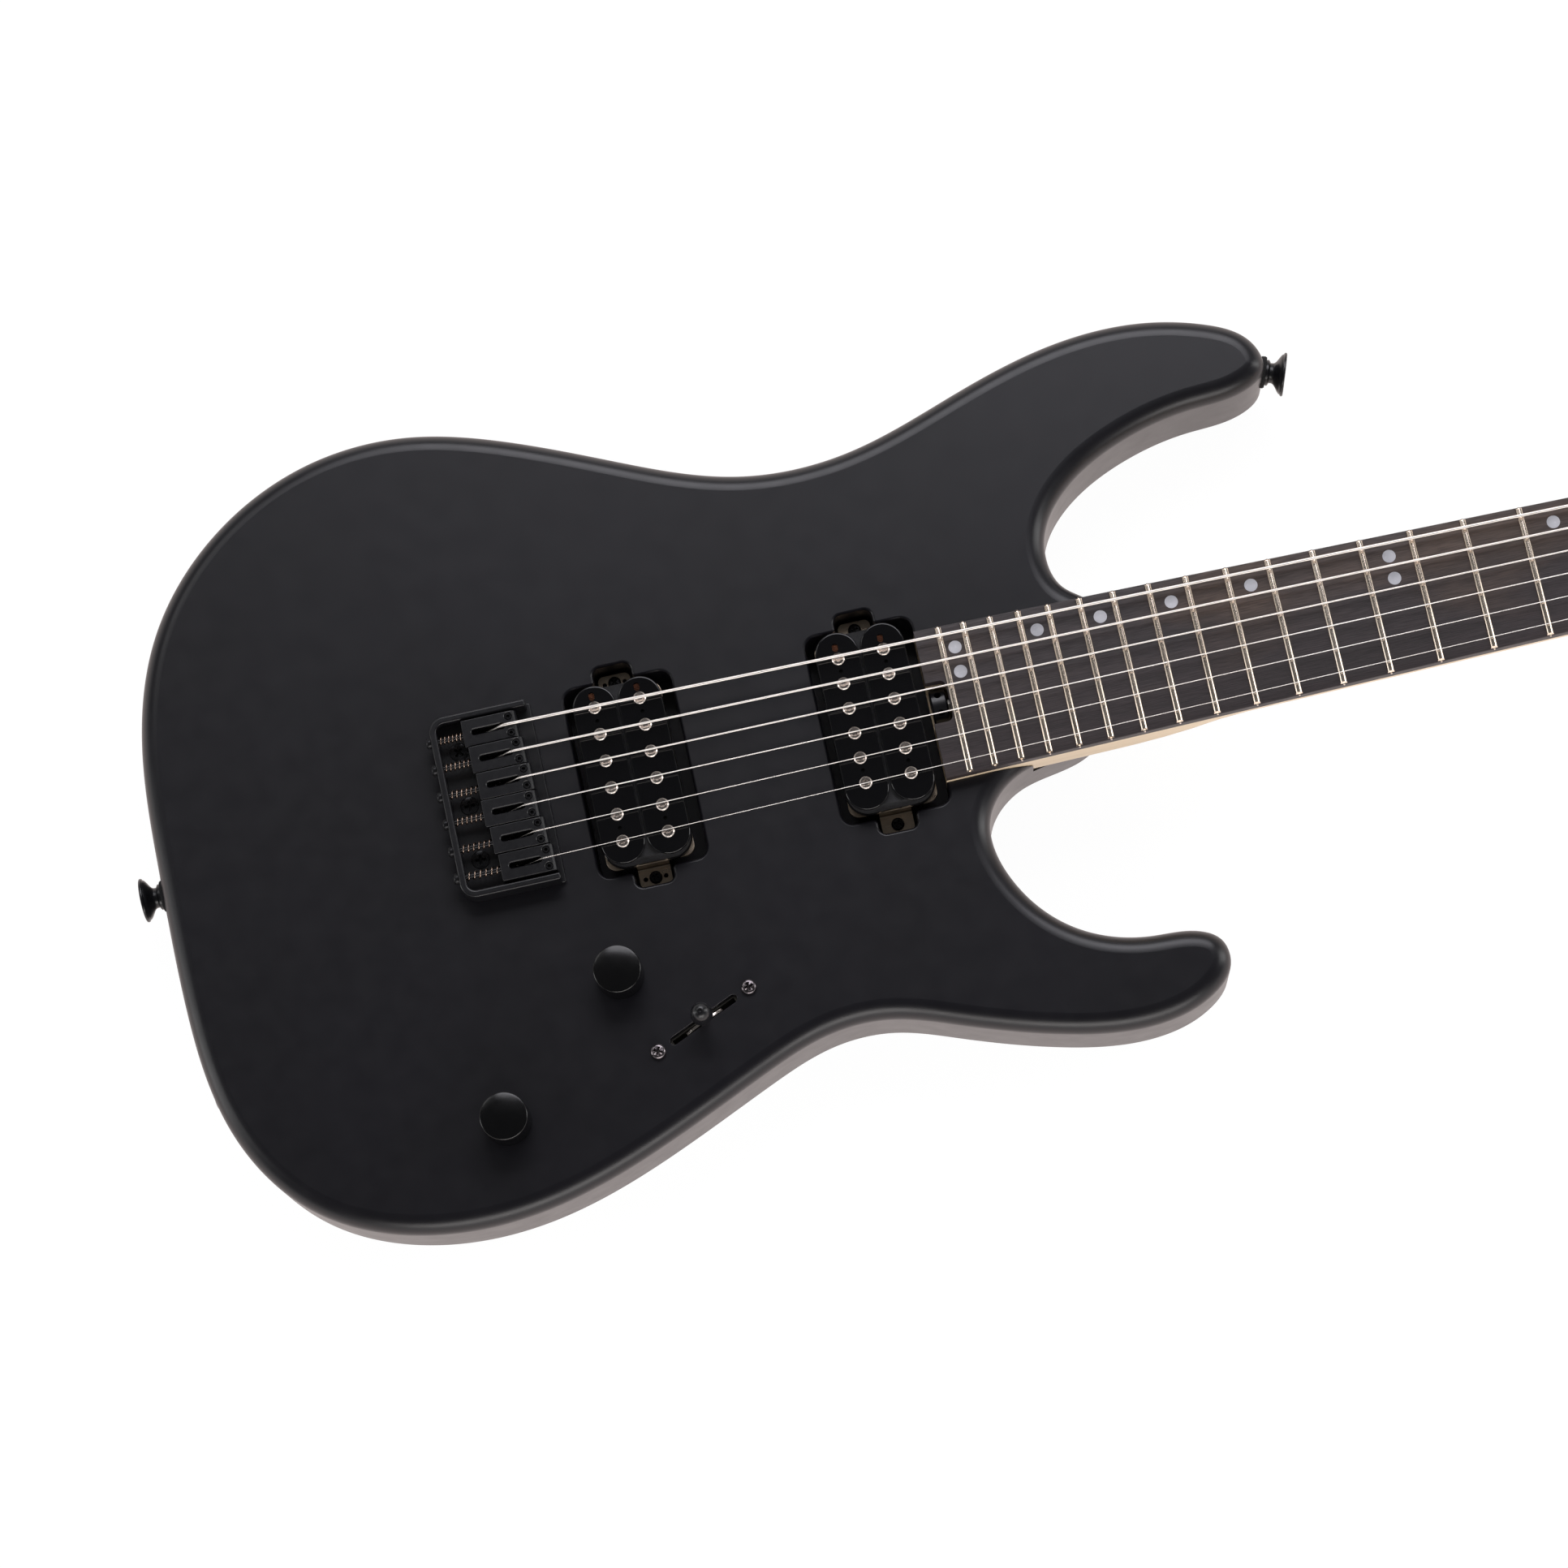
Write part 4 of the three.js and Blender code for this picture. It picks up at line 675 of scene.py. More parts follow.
def piece(name, shape, body, material, replaces=(), bevel=0.0, sharp=35):
    """Finishes a shape: metres, normals, finish, and the body that it rides on, if one alone."""
    bmesh.ops.remove_doubles(shape, verts=shape.verts, dist=CLOSE)
    bmesh.ops.dissolve_degenerate(shape, edges=shape.edges, dist=CLOSE)
    bmesh.ops.recalc_face_normals(shape, faces=shape.faces)
    shape.transform(Matrix.Scale(MM, 4))
    thing = temporary(shape, name)
    if bevel:
        edge = thing.modifiers.new("edge", "BEVEL")
        edge.width, edge.segments, edge.angle_limit = bevel * MM, BEVEL_STEPS, math.radians(sharp)
    thing.data.shade_smooth()
    thing.data.set_sharp_from_angle(angle=math.radians(sharp))
    for face in thing.data.polygons:
        level = abs(face.normal.z) > LEVEL
        face.use_smooth = face.area < (LEVEL_FACE if level else WIDE_FACE)
    weighted = thing.modifiers.new("normals", "WEIGHTED_NORMAL")
    weighted.keep_sharp = True
    final = evaluated(thing)
    thing.modifiers.clear()
    thing.data = final
    final.name = name
    final.materials.clear()
    final.materials.append(material)
    if body:
        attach(thing, body)
    if replaces:
        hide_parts(*replaces)
    print(f"{name}: {len(final.polygons)} faces")
    return thing


# %% [markdown]
# ## Repeats made with Geometry Nodes
# Frets, pole screws, springs and small screws come in rows. One tree puts a shape on every
# point of a row, with a fixed seed for how far each screw was turned home. A row of points
# carries its own tilt, so screws may stand in the top, the back or an end.

# %% A tree that sets a shape on points


def new_tree(name, inputs):
    """An empty geometry tree with named inputs; returns the tree and its input node."""
    tree = bpy.data.node_groups.new(name, "GeometryNodeTree")
    tree.interface.new_socket("Geometry", in_out="OUTPUT", socket_type="NodeSocketGeometry")
    tree.interface.new_socket("Geometry", in_out="INPUT", socket_type="NodeSocketGeometry")
    for label, kind, value in inputs:
        socket = tree.interface.new_socket(label, in_out="INPUT", socket_type=f"NodeSocket{kind}")
        if value is not None:
            socket.default_value = value
    return tree, tree.nodes.new("NodeGroupInput").outputs


def finish_tree(tree, geometry, material):
    """Every tree ends in real geometry with its material set."""
    real = add_node(tree, "GeometryNodeRealizeInstances", {"Geometry": geometry})
    coated = add_node(tree, "GeometryNodeSetMaterial", {"Geometry": real.outputs[0], "Material": material})
    add_node(tree, "NodeGroupOutput", {"Geometry": coated.outputs[0]})
    return tree


def row_tree():
    names = [("Shape", "Object", None), ("Tilt", "Vector", None), ("Turn", "Float", 0.0),
             ("Seed", "Int", 7), ("Material", "Material", None)]
    tree, given = new_tree("shape_on_each_point", names)
    shape = add_node(tree, "GeometryNodeObjectInfo", {"Object": given["Shape"]})
    inputs = {"Min": 0.0, "Max": given["Turn"], "Seed": given["Seed"]}
    turn = add_node(tree, "FunctionNodeRandomValue", inputs, data_type="FLOAT").outputs[1]
    spin = add_node(tree, "ShaderNodeCombineXYZ", {"Z": turn})
    as_turn = add_node(tree, "FunctionNodeEulerToRotation", {0: spin.outputs[0]})
    tilt = add_node(tree, "FunctionNodeEulerToRotation", {0: given["Tilt"]})
    inputs = {"Rotation": as_turn.outputs[0], "Rotate By": tilt.outputs[0]}
    both = add_node(tree, "FunctionNodeRotateRotation", inputs, rotation_space="GLOBAL")
    length = add_node(tree, "GeometryNodeInputNamedAttribute", {"Name": "length"}, data_type="FLOAT")
    size = add_node(tree, "ShaderNodeCombineXYZ", {"X": 1.0, "Y": 1.0, "Z": length.outputs["Attribute"]})
    points = add_node(tree, "GeometryNodeMeshToPoints", {"Mesh": given["Geometry"]})
    inputs = {"Points": points.outputs[0], "Instance": shape.outputs["Geometry"],
              "Rotation": both.outputs[0], "Scale": size.outputs[0]}
    instances = add_node(tree, "GeometryNodeInstanceOnPoints", inputs)
    return finish_tree(tree, instances.outputs[0], given["Material"])


# %% [markdown]
# A modifier finds its inputs by their sockets' identifiers, so one function looks them up by
# name, sets them before the tree first runs, and takes the result as a plain mesh.

# %% Running a tree, and a row of shapes


def grown(tree, source, **inputs):
    """Runs a tree on a source object and returns what it makes as a shape."""
    modifier = source.modifiers.new("grow", "NODES")
    modifier.node_group = tree
    for item in tree.interface.items_tree:
        if item.in_out == "INPUT" and item.name in inputs:
            modifier[item.identifier] = inputs[item.name]
    result = bmesh.new()
    result.from_mesh(evaluated(source))
    source.modifiers.clear()
    return result


ROW = row_tree()


def row(shape, points, tilt=(0, 0, 0), turn=0.0, seed=7, lengths=None, material=HARDWARE):
    """A shape on every point. Tilt is in degrees; turn is the most that each one spins."""
    pattern = temporary(shape, "pattern")
    places = bmesh.new()
    for point in points:
        places.verts.new(point)
    source = temporary(places, "places")
    stretch = source.data.attributes.new("length", "FLOAT", "POINT")
    stretch.data.foreach_set("value", lengths or [1.0] * len(points))
    tilt = [math.radians(angle) for angle in tilt]
    made = grown(ROW, source, Shape=pattern, Tilt=tilt, Turn=math.radians(turn), Seed=seed,
                 Material=material)
    for holder in (pattern, source):
        bpy.data.objects.remove(holder)
    return made


print("tree", ROW.name)

# %% [markdown]
# ## The studio
# A pale floor, one broad soft lamp above the horns, and four lower ones: along the front,
# past the tail, past the head, and a small card above the knobs. Satin black shows almost
# nothing of its own colour: the eye reads the lamps' broad reflections, lighter towards the
# upper horn and darker towards the knobs. The floor stays white to the camera and to the
# surfaces that mirror it, and still takes the guitar's shadow.

# %% Floor
FLOOR_HALF = 4000
FLOOR_TOP = -0.2
FLOOR_IN_REFLECTIONS = (1.12, 1.0, 0.97, 1)
FLOOR_SEEN = (1.04, 1.04, 1.04, 1)
FLOOR_GLOW_SHARE = 0.93


def light_paths(tree):
    """One where a ray comes from the camera, a reflection or through glass, else zero."""
    ray = add_node(tree, "ShaderNodeLightPath").outputs
    shiny = add_node(tree, "ShaderNodeMath", {0: ray["Is Glossy Ray"], 1: ray["Is Transmission Ray"]},
                     operation="MAXIMUM")
    return ray["Is Camera Ray"], shiny.outputs[0]


def pale_floor():
    material = bpy.data.materials.new("paper_white_seamless")
    material.use_nodes = True
    tree = material.node_tree
    camera_ray, shiny_ray = light_paths(tree)
    paper = tree.nodes["Principled BSDF"]
    paper.inputs["Base Color"].default_value = linear("#f4f4f4")
    paper.inputs["Roughness"].default_value = 0.9
    paper.inputs["Specular IOR Level"].default_value = 0.0
    inputs = {0: camera_ray, 6: FLOOR_IN_REFLECTIONS, 7: FLOOR_SEEN}
    tint = add_node(tree, "ShaderNodeMix", inputs, data_type="RGBA")
    seen = add_node(tree, "ShaderNodeEmission", {"Color": tint.outputs[2], "Strength": 1.0})
    share = add_node(tree, "ShaderNodeMath", {0: camera_ray, 1: FLOOR_GLOW_SHARE}, operation="MULTIPLY")
    mostly = add_node(tree, "ShaderNodeMath", {0: share.outputs[0], 1: shiny_ray}, operation="MAXIMUM")
    inputs = {0: mostly.outputs[0], 1: paper.outputs[0], 2: seen.outputs[0]}
    mix = add_node(tree, "ShaderNodeMixShader", inputs)
    tree.links.new(mix.outputs[0], tree.nodes["Material Output"].inputs["Surface"])
    return material


FLOOR_CORNERS = rectangle(-FLOOR_HALF, FLOOR_HALF, -FLOOR_HALF, FLOOR_HALF, 10)
floor = temporary(prism(FLOOR_CORNERS, [(FLOOR_TOP - 1.8, 0), (FLOOR_TOP, 0)]), "floor")
floor.data.transform(Matrix.Scale(MM, 4))
floor.data.materials.append(pale_floor())
floor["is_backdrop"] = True
print("floor ready")

# %% [markdown]
# The world is white near the horizon and dark overhead in reflections, so that a level
# black face stays black while a side wall mirrors a white room. Its plain light fades upward
# too, and the camera sees it as white.

# %% World
HORIZON_GLOW = 1.1
OVERHEAD_GLOW = 0.2
CEILING_GREY = 0.06


def studio_world():
    world = bpy.data.worlds.new("white_studio")
    world.use_nodes = True
    bpy.context.scene.world = world
    tree = world.node_tree
    camera_ray, shiny_ray = light_paths(tree)
    towards = add_node(tree, "ShaderNodeTexCoord").outputs["Generated"]
    up = add_node(tree, "ShaderNodeSeparateXYZ", {0: towards}).outputs["Z"]
    inputs = {"Value": up, "From Min": 0.05, "From Max": 0.4, "To Min": 1.0, "To Max": CEILING_GREY}
    backdrop = add_node(tree, "ShaderNodeMapRange", inputs).outputs["Result"]
    inputs = {"Value": up, "From Min": 0.0, "From Max": 0.7, "To Min": HORIZON_GLOW, "To Max": OVERHEAD_GLOW}
    walls = add_node(tree, "ShaderNodeMapRange", inputs).outputs["Result"]
    fill = add_node(tree, "ShaderNodeMix", {0: shiny_ray, 2: walls, 3: backdrop}, data_type="FLOAT")
    level = add_node(tree, "ShaderNodeMix", {0: camera_ray, 2: fill.outputs[0], 3: 1.0}, data_type="FLOAT")
    tree.links.new(level.outputs[0], tree.nodes["Background"].inputs["Strength"])
    tree.nodes["Background"].inputs["Color"].default_value = (1, 1, 1, 1)


studio_world()
bpy.context.scene.view_settings.view_transform = "Standard"
print("world ready")

# %% [markdown]
# Each lamp is a soft rectangle. Its place and its aim are in millimetres, then come its two
# sides, its power in watts and, where it isn't white, its colour.

# %% Lamps
OVER_BODY = (150, 0, 40)


def soft_lamp(name, at, aim, width, height, power, colour=(1, 1, 1)):
    """A square of soft light at a place in millimetres, aimed at another."""
    data = bpy.data.lights.new(name, "AREA")
    data.shape = "RECTANGLE"
    data.size, data.size_y = width * MM, height * MM
    data.energy, data.color = power, colour
    lamp = bpy.data.objects.new(name, data)
    bpy.context.collection.objects.link(lamp)
    aimed = (Vector(aim) - Vector(at)).to_track_quat("-Z", "Y").to_matrix().to_4x4()
    lamp.matrix_world = Matrix.Translation(Vector(at) * MM) @ aimed


soft_lamp("broad_lamp", (500, 1250, 1500), OVER_BODY, 1500, 1100, 21, (0.95, 0.94, 1.0))
soft_lamp("front_lamp", (150, -1600, 800), OVER_BODY, 1700, 600, 14, (1.0, 0.96, 0.94))
soft_lamp("tail_lamp", (-1500, 0, 700), (50, 0, 40), 500, 1400, 5)
soft_lamp("knob_card", (-640, 780, 1150), (40, -80, 60), 420, 420, 1.1)
soft_lamp("head_lamp", (1900, 0, 800), (250, 0, 40), 600, 1400, 9)
print("five lamps ready")

# %% [markdown]
# ## The body
# A slab of wood 44.5 mm thick, sawn to an outline, rounded over on both faces and routed
# for neck, pickups and controls. The solid carries the outline as a ring of points along
# its side. A periodic cubic spline through every other point gives back the fair curve
# that a template has, with no kink for a reflection to catch on.

# %% The outline of the body
EDGE_ROUNDING = 7
OUTLINE_POINTS = 860


def side_ring(node, height):
    """The points where a solid's side wall has an edge at one height, in order."""
    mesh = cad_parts[node].data
    places = [tuple(round(v / MM, 2) for v in vertex.co) for vertex in mesh.vertices]
    beside = {}
    for one, other in (edge.vertices for edge in mesh.edges):
        ends = [places[one], places[other]]
        if ends[0] != ends[1] and all(abs(end[2] - height) < 0.02 for end in ends):
            beside.setdefault(ends[0], set()).add(ends[1])
            beside.setdefault(ends[1], set()).add(ends[0])
    start = min(beside)
    ring, here, before = [], start, None
    while here is not None and (here != start or not ring):
        ring.append(here[:2])
        ahead = [place for place in beside[here] if place != before]
        before, here = here, (ahead[0] if ahead else None)
    return np.array(ring)


def fair_curve(knots, count):
    """A closed cubic spline through knots, without a kink in its curvature."""
    gaps = np.linalg.norm(np.roll(knots, -1, 0) - knots, axis=1)
    size = len(knots)
    slope = (np.roll(knots, -1, 0) - knots) / gaps[:, None]
    system = np.zeros((size, size))
    for i in range(size):
        system[i, i - 1] += gaps[i - 1] / 6
        system[i, i] += (gaps[i - 1] + gaps[i]) / 3
        system[i, (i + 1) % size] += gaps[i] / 6
    bend = np.linalg.solve(system, slope - np.roll(slope, 1, 0))
    marks = np.linspace(0, gaps.sum(), count, endpoint=False)
    starts = np.concatenate([[0], np.cumsum(gaps)])
    points = []
    for mark in marks:
        i = min(np.searchsorted(starts, mark, "right") - 1, size - 1)
        j, t = (i + 1) % size, (mark - starts[i]) / gaps[i]
        curl = gaps[i] ** 2 / 6
        point = (1 - t) * knots[i] + t * knots[j]
        point += curl * (((1 - t) ** 3 - (1 - t)) * bend[i] + (t**3 - t) * bend[j])
        points.append(point)
    return np.array(points)


def body_outline():
    ring = side_ring("body", EDGE_ROUNDING)
    curve = fair_curve(ring[::2], OUTLINE_POINTS)
    low, high = curve.min(0), curve.max(0)
    size = np.array(BODY_HIGH - BODY_LOW)[:2]
    curve = (curve - low) * size / (high - low) + np.array(BODY_LOW)[:2]
    x, y = curve[:, 0], curve[:, 1]
    area = np.sum(x * np.roll(y, -1) - y * np.roll(x, -1))
    return curve if area > 0 else curve[::-1]


OUTLINE = body_outline()
print("outline points", len(OUTLINE))

# %% [markdown]
# ## Routs, pocket and holes
# Each pickup sits in a rout with a tab at both ends for its mounting screw. The lacquer
# softens the rout's lip, so its cutter flares out at the top. The neck pocket is open at
# the heel. From the back come the control cavity with its ledge, the string holes and the
# recesses of the neck screws. Three passes keep cutters that touch apart.

# %% Places and sizes of the cuts
POCKET_FLOOR = NECK_LOW.z - SEAT_GAP
SIDE_GAP = 0.3
ABOVE = BODY_TOP + 1
COIL_SPACING = 17.4
BRIDGE_PICKUP_X = middle_mm("bridge_pickup_baseplate").x
NECK_PICKUP_X = middle_mm("neck_pickup_baseplate").x
ROUT_BEHIND = 20
ROUT_HALF_LENGTH = 37
ROUT_FLOOR = BODY_TOP - 20
TAB_HALF_WIDTH = 7.4
TAB_REACH = 43.2
VOLUME_AT = tuple(middle_mm("volume_pot")[:2])
TONE_AT = tuple(middle_mm("tone_pot")[:2])
SWITCH_AT = tuple(middle_mm("switch_frame")[:2])
SWITCH_TURN = math.radians(23.5)
SWITCH_SCREW_SPAN = 41.5
SWITCH_SLOT_LENGTH = 27
CAVITY_ROUND_POT = 16.5
CAVITY_ROUND_SWITCH = 12.5
TOP_WOOD = 5
COVER_LEDGE = 6
COVER_RECESS = 2.3
FERRULE_RADIUS = 4
FERRULE_DEPTH = 10
STRING_HOLE_BEHIND = 10.5
NECK_SCREWS = [tuple(middle_mm(f"neck_screw_{i + 1}")[:2]) for i in range(4)]
JACK_LOW, JACK_HIGH = box_mm("output_jack")
JACK_Y = (JACK_LOW.y + JACK_HIGH.y) / 2
EDGE_MIDDLE = BODY_TOP / 2
print("pocket floor at", round(POCKET_FLOOR, 2), "mm")

# %% [markdown]
# Each rout is drawn in plan with a tab at both ends. Its cutter's levels flare outward by a
# quarter turn at the top, which leaves a soft lip once the wood is cut away.

# %% Plans and levels of the cuts


def string_hole(index):
    return SADDLES[index][1].x - 4 - STRING_HOLE_BEHIND, saddle_y(index)


def rout_outline(x, ahead):
    """A rectangle with a tab at each end, its corners as a router leaves them."""
    right, left = x + ahead, x - ROUT_BEHIND
    lower = [(left, -ROUT_HALF_LENGTH, 4.5), (x - TAB_HALF_WIDTH, -ROUT_HALF_LENGTH, 1.6),
             (x - TAB_HALF_WIDTH, -TAB_REACH, 3), (x + TAB_HALF_WIDTH, -TAB_REACH, 3),
             (x + TAB_HALF_WIDTH, -ROUT_HALF_LENGTH, 1.6), (right, -ROUT_HALF_LENGTH, 4.5)]
    upper = [(along_x, -across, radius) for along_x, across, radius in reversed(lower)]
    return rounded_polygon(lower + upper)


def flared_levels(floor, lip):
    """Levels of a cutter that leaves a rounded lip at the body's face."""
    arc = [math.pi / 8 * i for i in range(5)]
    flare = [(BODY_TOP - lip + (lip + 0.02) * math.sin(a), -lip * (1 - math.cos(a))) for a in arc]
    return [(floor, 0), *flare, (ABOVE, -lip)]


def switch_ends(length):
    """The two ends of a slot that follows the selector's own line."""
    across = Vector((math.cos(SWITCH_TURN), math.sin(SWITCH_TURN))) * length / 2
    middle = Vector(SWITCH_AT)
    return tuple(middle - across), tuple(middle + across)


def control_plan(grow, low, high):
    """The cavity's plan: two overlapping slots and the bridge between them."""
    between = [(VOLUME_AT[i] + TONE_AT[i]) / 2 for i in (0, 1)]
    slots = [capsule(TONE_AT, VOLUME_AT, CAVITY_ROUND_POT + grow, 64),
             capsule(*switch_ends(SWITCH_SCREW_SPAN), CAVITY_ROUND_SWITCH + grow, 64),
             capsule(between, SWITCH_AT, CAVITY_ROUND_POT + grow, 64)]
    first, *rest = [prism(slot, [(low, 0), (high, 0)]) for slot in slots]
    return boolean(first, rest, "UNION")


def heel_pocket():
    x0, x1 = BOARD_END - SIDE_GAP, BOARD_END + 120
    w0, w1 = half_board(x0) + SIDE_GAP, half_board(x1) + SIDE_GAP
    corners = [(x0, -w0, 1.5), (x1, -w1, 0), (x1, w1, 0), (x0, w0, 1.5)]
    return prism(rounded_polygon(corners), [(POCKET_FLOOR, 0), (ABOVE, 0)])


def hole(x, y, radius, low, high, sides=32):
    return prism(circle(x, y, radius, sides), [(low, 0), (high, 0)])


print("string holes at", [tuple(round(v, 1) for v in string_hole(i)) for i in (0, 5)])

# %% [markdown]
# The slab's two faces round over by the same quarter circle. The last ring of each face is
# set just inside it, so that the flat face begins where the curve ends.

# %% Cutting the body


def make_body():
    turn = [math.pi / 2 * i / 8 for i in range(9)]
    front = [(BODY_TOP - EDGE_ROUNDING * (1 - math.sin(a)), EDGE_ROUNDING * (1 - math.cos(a)))
             for a in turn]
    back = [(BODY_TOP - z, inset) for z, inset in reversed(front)]
    flat = EDGE_ROUNDING + 0.3
    slab = prism(OUTLINE, [(0, flat), *back, *front, (BODY_TOP, flat)])
    jack_axis = Matrix.Rotation(math.pi / 2, 3, "Y")
    jack_bore = moved(hole(0, 0, 9.8, -20, 38), (JACK_LOW.x, JACK_Y, EDGE_MIDDLE), jack_axis)
    first = [heel_pocket(), control_plan(COVER_LEDGE, -1, COVER_RECESS), jack_bore]
    first += [hole(*string_hole(i), FERRULE_RADIUS, -1, FERRULE_DEPTH) for i in range(STRINGS)]
    first += [hole(x, y, 5.3, -1, 4.1) for x, y in NECK_SCREWS]
    ahead = BOARD_END - NECK_PICKUP_X
    rout_levels = flared_levels(ROUT_FLOOR, 1.1)
    second = [prism(rout_outline(BRIDGE_PICKUP_X, ROUT_BEHIND + 1.5), rout_levels),
              prism(rout_outline(NECK_PICKUP_X, ahead), rout_levels),
              control_plan(0, -1, BODY_TOP - TOP_WOOD)]
    second += [hole(*string_hole(i), 1.8, -1, ABOVE, 16) for i in range(STRINGS)]
    second += [hole(x, y, 2.6, -1, POCKET_FLOOR + 1, 16) for x, y in NECK_SCREWS]
    third = [hole(x, y, 4.1, BODY_TOP - TOP_WOOD - 1, ABOVE) for x, y in (VOLUME_AT, TONE_AT)]
    slot = capsule(*switch_ends(SWITCH_SLOT_LENGTH), 1.5)
    third += [prism(slot, flared_levels(BODY_TOP - TOP_WOOD - 1, 0.35))]
    return boolean(slab, [joined(*first), joined(*second), joined(*third)])


piece("body_wood", make_body(), "guitar", LACQUER, ["body"], sharp=38)

# %% [markdown]
# ## The neck
# The back of the neck is a family of cross-sections: nearly square in the pocket, a soft D
# along the playing length, and square again where it runs into the headstock. A
# superellipse covers all three, because one exponent takes it from round to square. The
# headstock is a plate with rounded edges, joined to the end of the loft.

# %% Sizes of the neck, and three helpers
HEEL_DEPTH = NECK_TOP - NECK_LOW.z
BLEND_START = BOARD_END + 68
BLEND_LENGTH = 45
NECK_DEPTH_AT_NUT = 14
NECK_DEPTH_AT_BODY = 16
HEAD_TOP = BOARD_TOP - 9
HEAD_BACK = HEAD_TOP - 14
NUT_LENGTH = 3.5
SHELF = NUT_X + NUT_LENGTH + 1
HEAD_FROM = NUT_X + 19
HEAD_EDGE = 1.5
POST_AT = [tuple(middle_mm(f"tuner_post_{i + 1}")[:2]) for i in range(STRINGS)]
ROW_TURN = math.atan2(POST_AT[-1][1] - POST_AT[0][1], POST_AT[-1][0] - POST_AT[0][0])


def smooth(value):
    clamped = min(max(value, 0), 1)
    return clamped * clamped * (3 - 2 * clamped)


def mixed(low, high, share):
    return low + (high - low) * share


def bend(start, control, end, steps=8):
    """A quadratic curve, without its first point."""
    shares = [i / steps for i in range(1, steps + 1)]
    return [tuple((1 - t) ** 2 * a + 2 * t * (1 - t) * b + t * t * c
                  for a, b, c in zip(start, control, end)) for t in shares]


print("tuner row slants by", round(math.degrees(ROW_TURN), 1), "degrees")

# %% [markdown]
# The headstock is drawn from its tuners: the edge beside the keys keeps a set distance
# from the slanted row of posts, and soft curves lead on to the tip and back to the nut.

# %% Plan of the headstock


def beside(post, ahead, across):
    """A place beside a tuner post, along and across the slanted row."""
    cosine, sine = math.cos(ROW_TURN), math.sin(ROW_TURN)
    return post[0] + cosine * ahead - sine * across, post[1] + sine * ahead + cosine * across


def head_plan():
    bass_start, bass_end = beside(POST_AT[0], -15, 11.5), beside(POST_AT[-1], 10, 11.5)
    tip, low = beside(POST_AT[-1], 23, -5), beside(POST_AT[-1], 12, -19)
    half = HALF_BOARD_AT_NUT
    points = [(NUT_X - 3, -half), (NUT_X + 8, -half)]
    points += bend(points[-1], (NUT_X + 24, -half), (NUT_X + 40, -half - 2.5))
    points += [(low[0] - 6, low[1] + 0.6)]
    points += bend(points[-1], (low[0] + 8, low[1]), tip)
    points += bend(tip, (tip[0] - 1, tip[1] + 12), bass_end)
    points += [bass_start]
    shoulder = (bass_start[0] - 10, bass_start[1] + 2.5)
    points += bend(bass_start, shoulder, (bass_start[0] - 15, half + 3))
    points += bend(points[-1], (NUT_X + 7, half), (NUT_X + 2, half))
    return points + [(NUT_X - 3, half)]


HEAD_PLAN = head_plan()


def head_span(x):
    """The headstock's two edges at a place along it."""
    crossings = []
    for (x0, y0), (x1, y1) in zip(HEAD_PLAN, HEAD_PLAN[1:] + HEAD_PLAN[:1]):
        if min(x0, x1) <= x <= max(x0, x1) and x0 != x1:
            crossings.append(y0 + (y1 - y0) * (x - x0) / (x1 - x0))
    return min(crossings), max(crossings)


print("headstock outline points", len(HEAD_PLAN))

# %% [markdown]
# One ring of points across the neck, at any place along it. Three shares say how far the
# heel has given way to the playing length, the neck to the headstock, and the shelf of the
# nut to the lower headstock face.

# %% A section across the neck


def neck_section(x):
    """One closed ring of points across the neck."""
    low, high = head_span(x) if x > NUT_X else (-half_board(x), half_board(x))
    slim = mixed(NECK_DEPTH_AT_NUT, NECK_DEPTH_AT_BODY, (NUT_X - x) / (NUT_X - BOARD_END))
    blend = smooth((x - BLEND_START) / BLEND_LENGTH)
    to_head = smooth((x - NUT_X + 14) / 34)
    bottom = mixed(NECK_TOP - mixed(HEEL_DEPTH, slim, blend), HEAD_BACK, to_head)
    top = mixed(NECK_TOP, HEAD_TOP, smooth((x - SHELF) / 12))
    power = 2 / mixed(mixed(14, 2.5, blend), 16, to_head)
    round_top = 0.05 + (HEAD_EDGE - 0.05) * smooth((x - SHELF) / 12)
    middle, half = (low + high) / 2, (high - low) / 2 - 0.01
    ring = []
    for step in range(33):
        angle = math.pi + math.pi * step / 32
        across = math.copysign(abs(math.cos(angle)) ** power, math.cos(angle))
        down = abs(math.sin(angle)) ** power
        edge = top - round_top
        ring.append((x, middle + half * across, edge - down * (edge - bottom)))
    for side in (1, -1):
        angles = [math.pi / 2 * i / 4 for i in range(1, 5)]
        arc = [(x, middle + side * (half - round_top * (1 - math.cos(a))),
                top - round_top * (1 - math.sin(a))) for a in angles]
        ring += arc if side == 1 else reversed(arc)
    return ring


print("points in a section", len(neck_section(NUT_X)))

# %% [markdown]
# The truss rod ends in a spoke wheel at the body end of the board. Neck and board are
# notched round it, and the body needs no cut because the pickup's rout begins there.

# %% Cutting the neck
WHEEL_LOW, WHEEL_HIGH = box_mm("truss_rod_wheel")
WHEEL_RADIUS = (WHEEL_HIGH.z - WHEEL_LOW.z) / 2
NOTCH_END = WHEEL_HIGH.x + 1
ROD_AXIS_Z = (WHEEL_LOW.z + WHEEL_HIGH.z) / 2
NOTCH_HALF = WHEEL_RADIUS + 1
ROD_ROOM = 3.3


def wheel_notch(high):
    corners = [(BOARD_END - 2, -NOTCH_HALF, 0), (NOTCH_END, -NOTCH_HALF, 2.5),
               (NOTCH_END, NOTCH_HALF, 2.5), (BOARD_END - 2, NOTCH_HALF, 0)]
    return prism(rounded_polygon(corners), [(ROD_AXIS_Z - NOTCH_HALF, 0), (high, 0)])


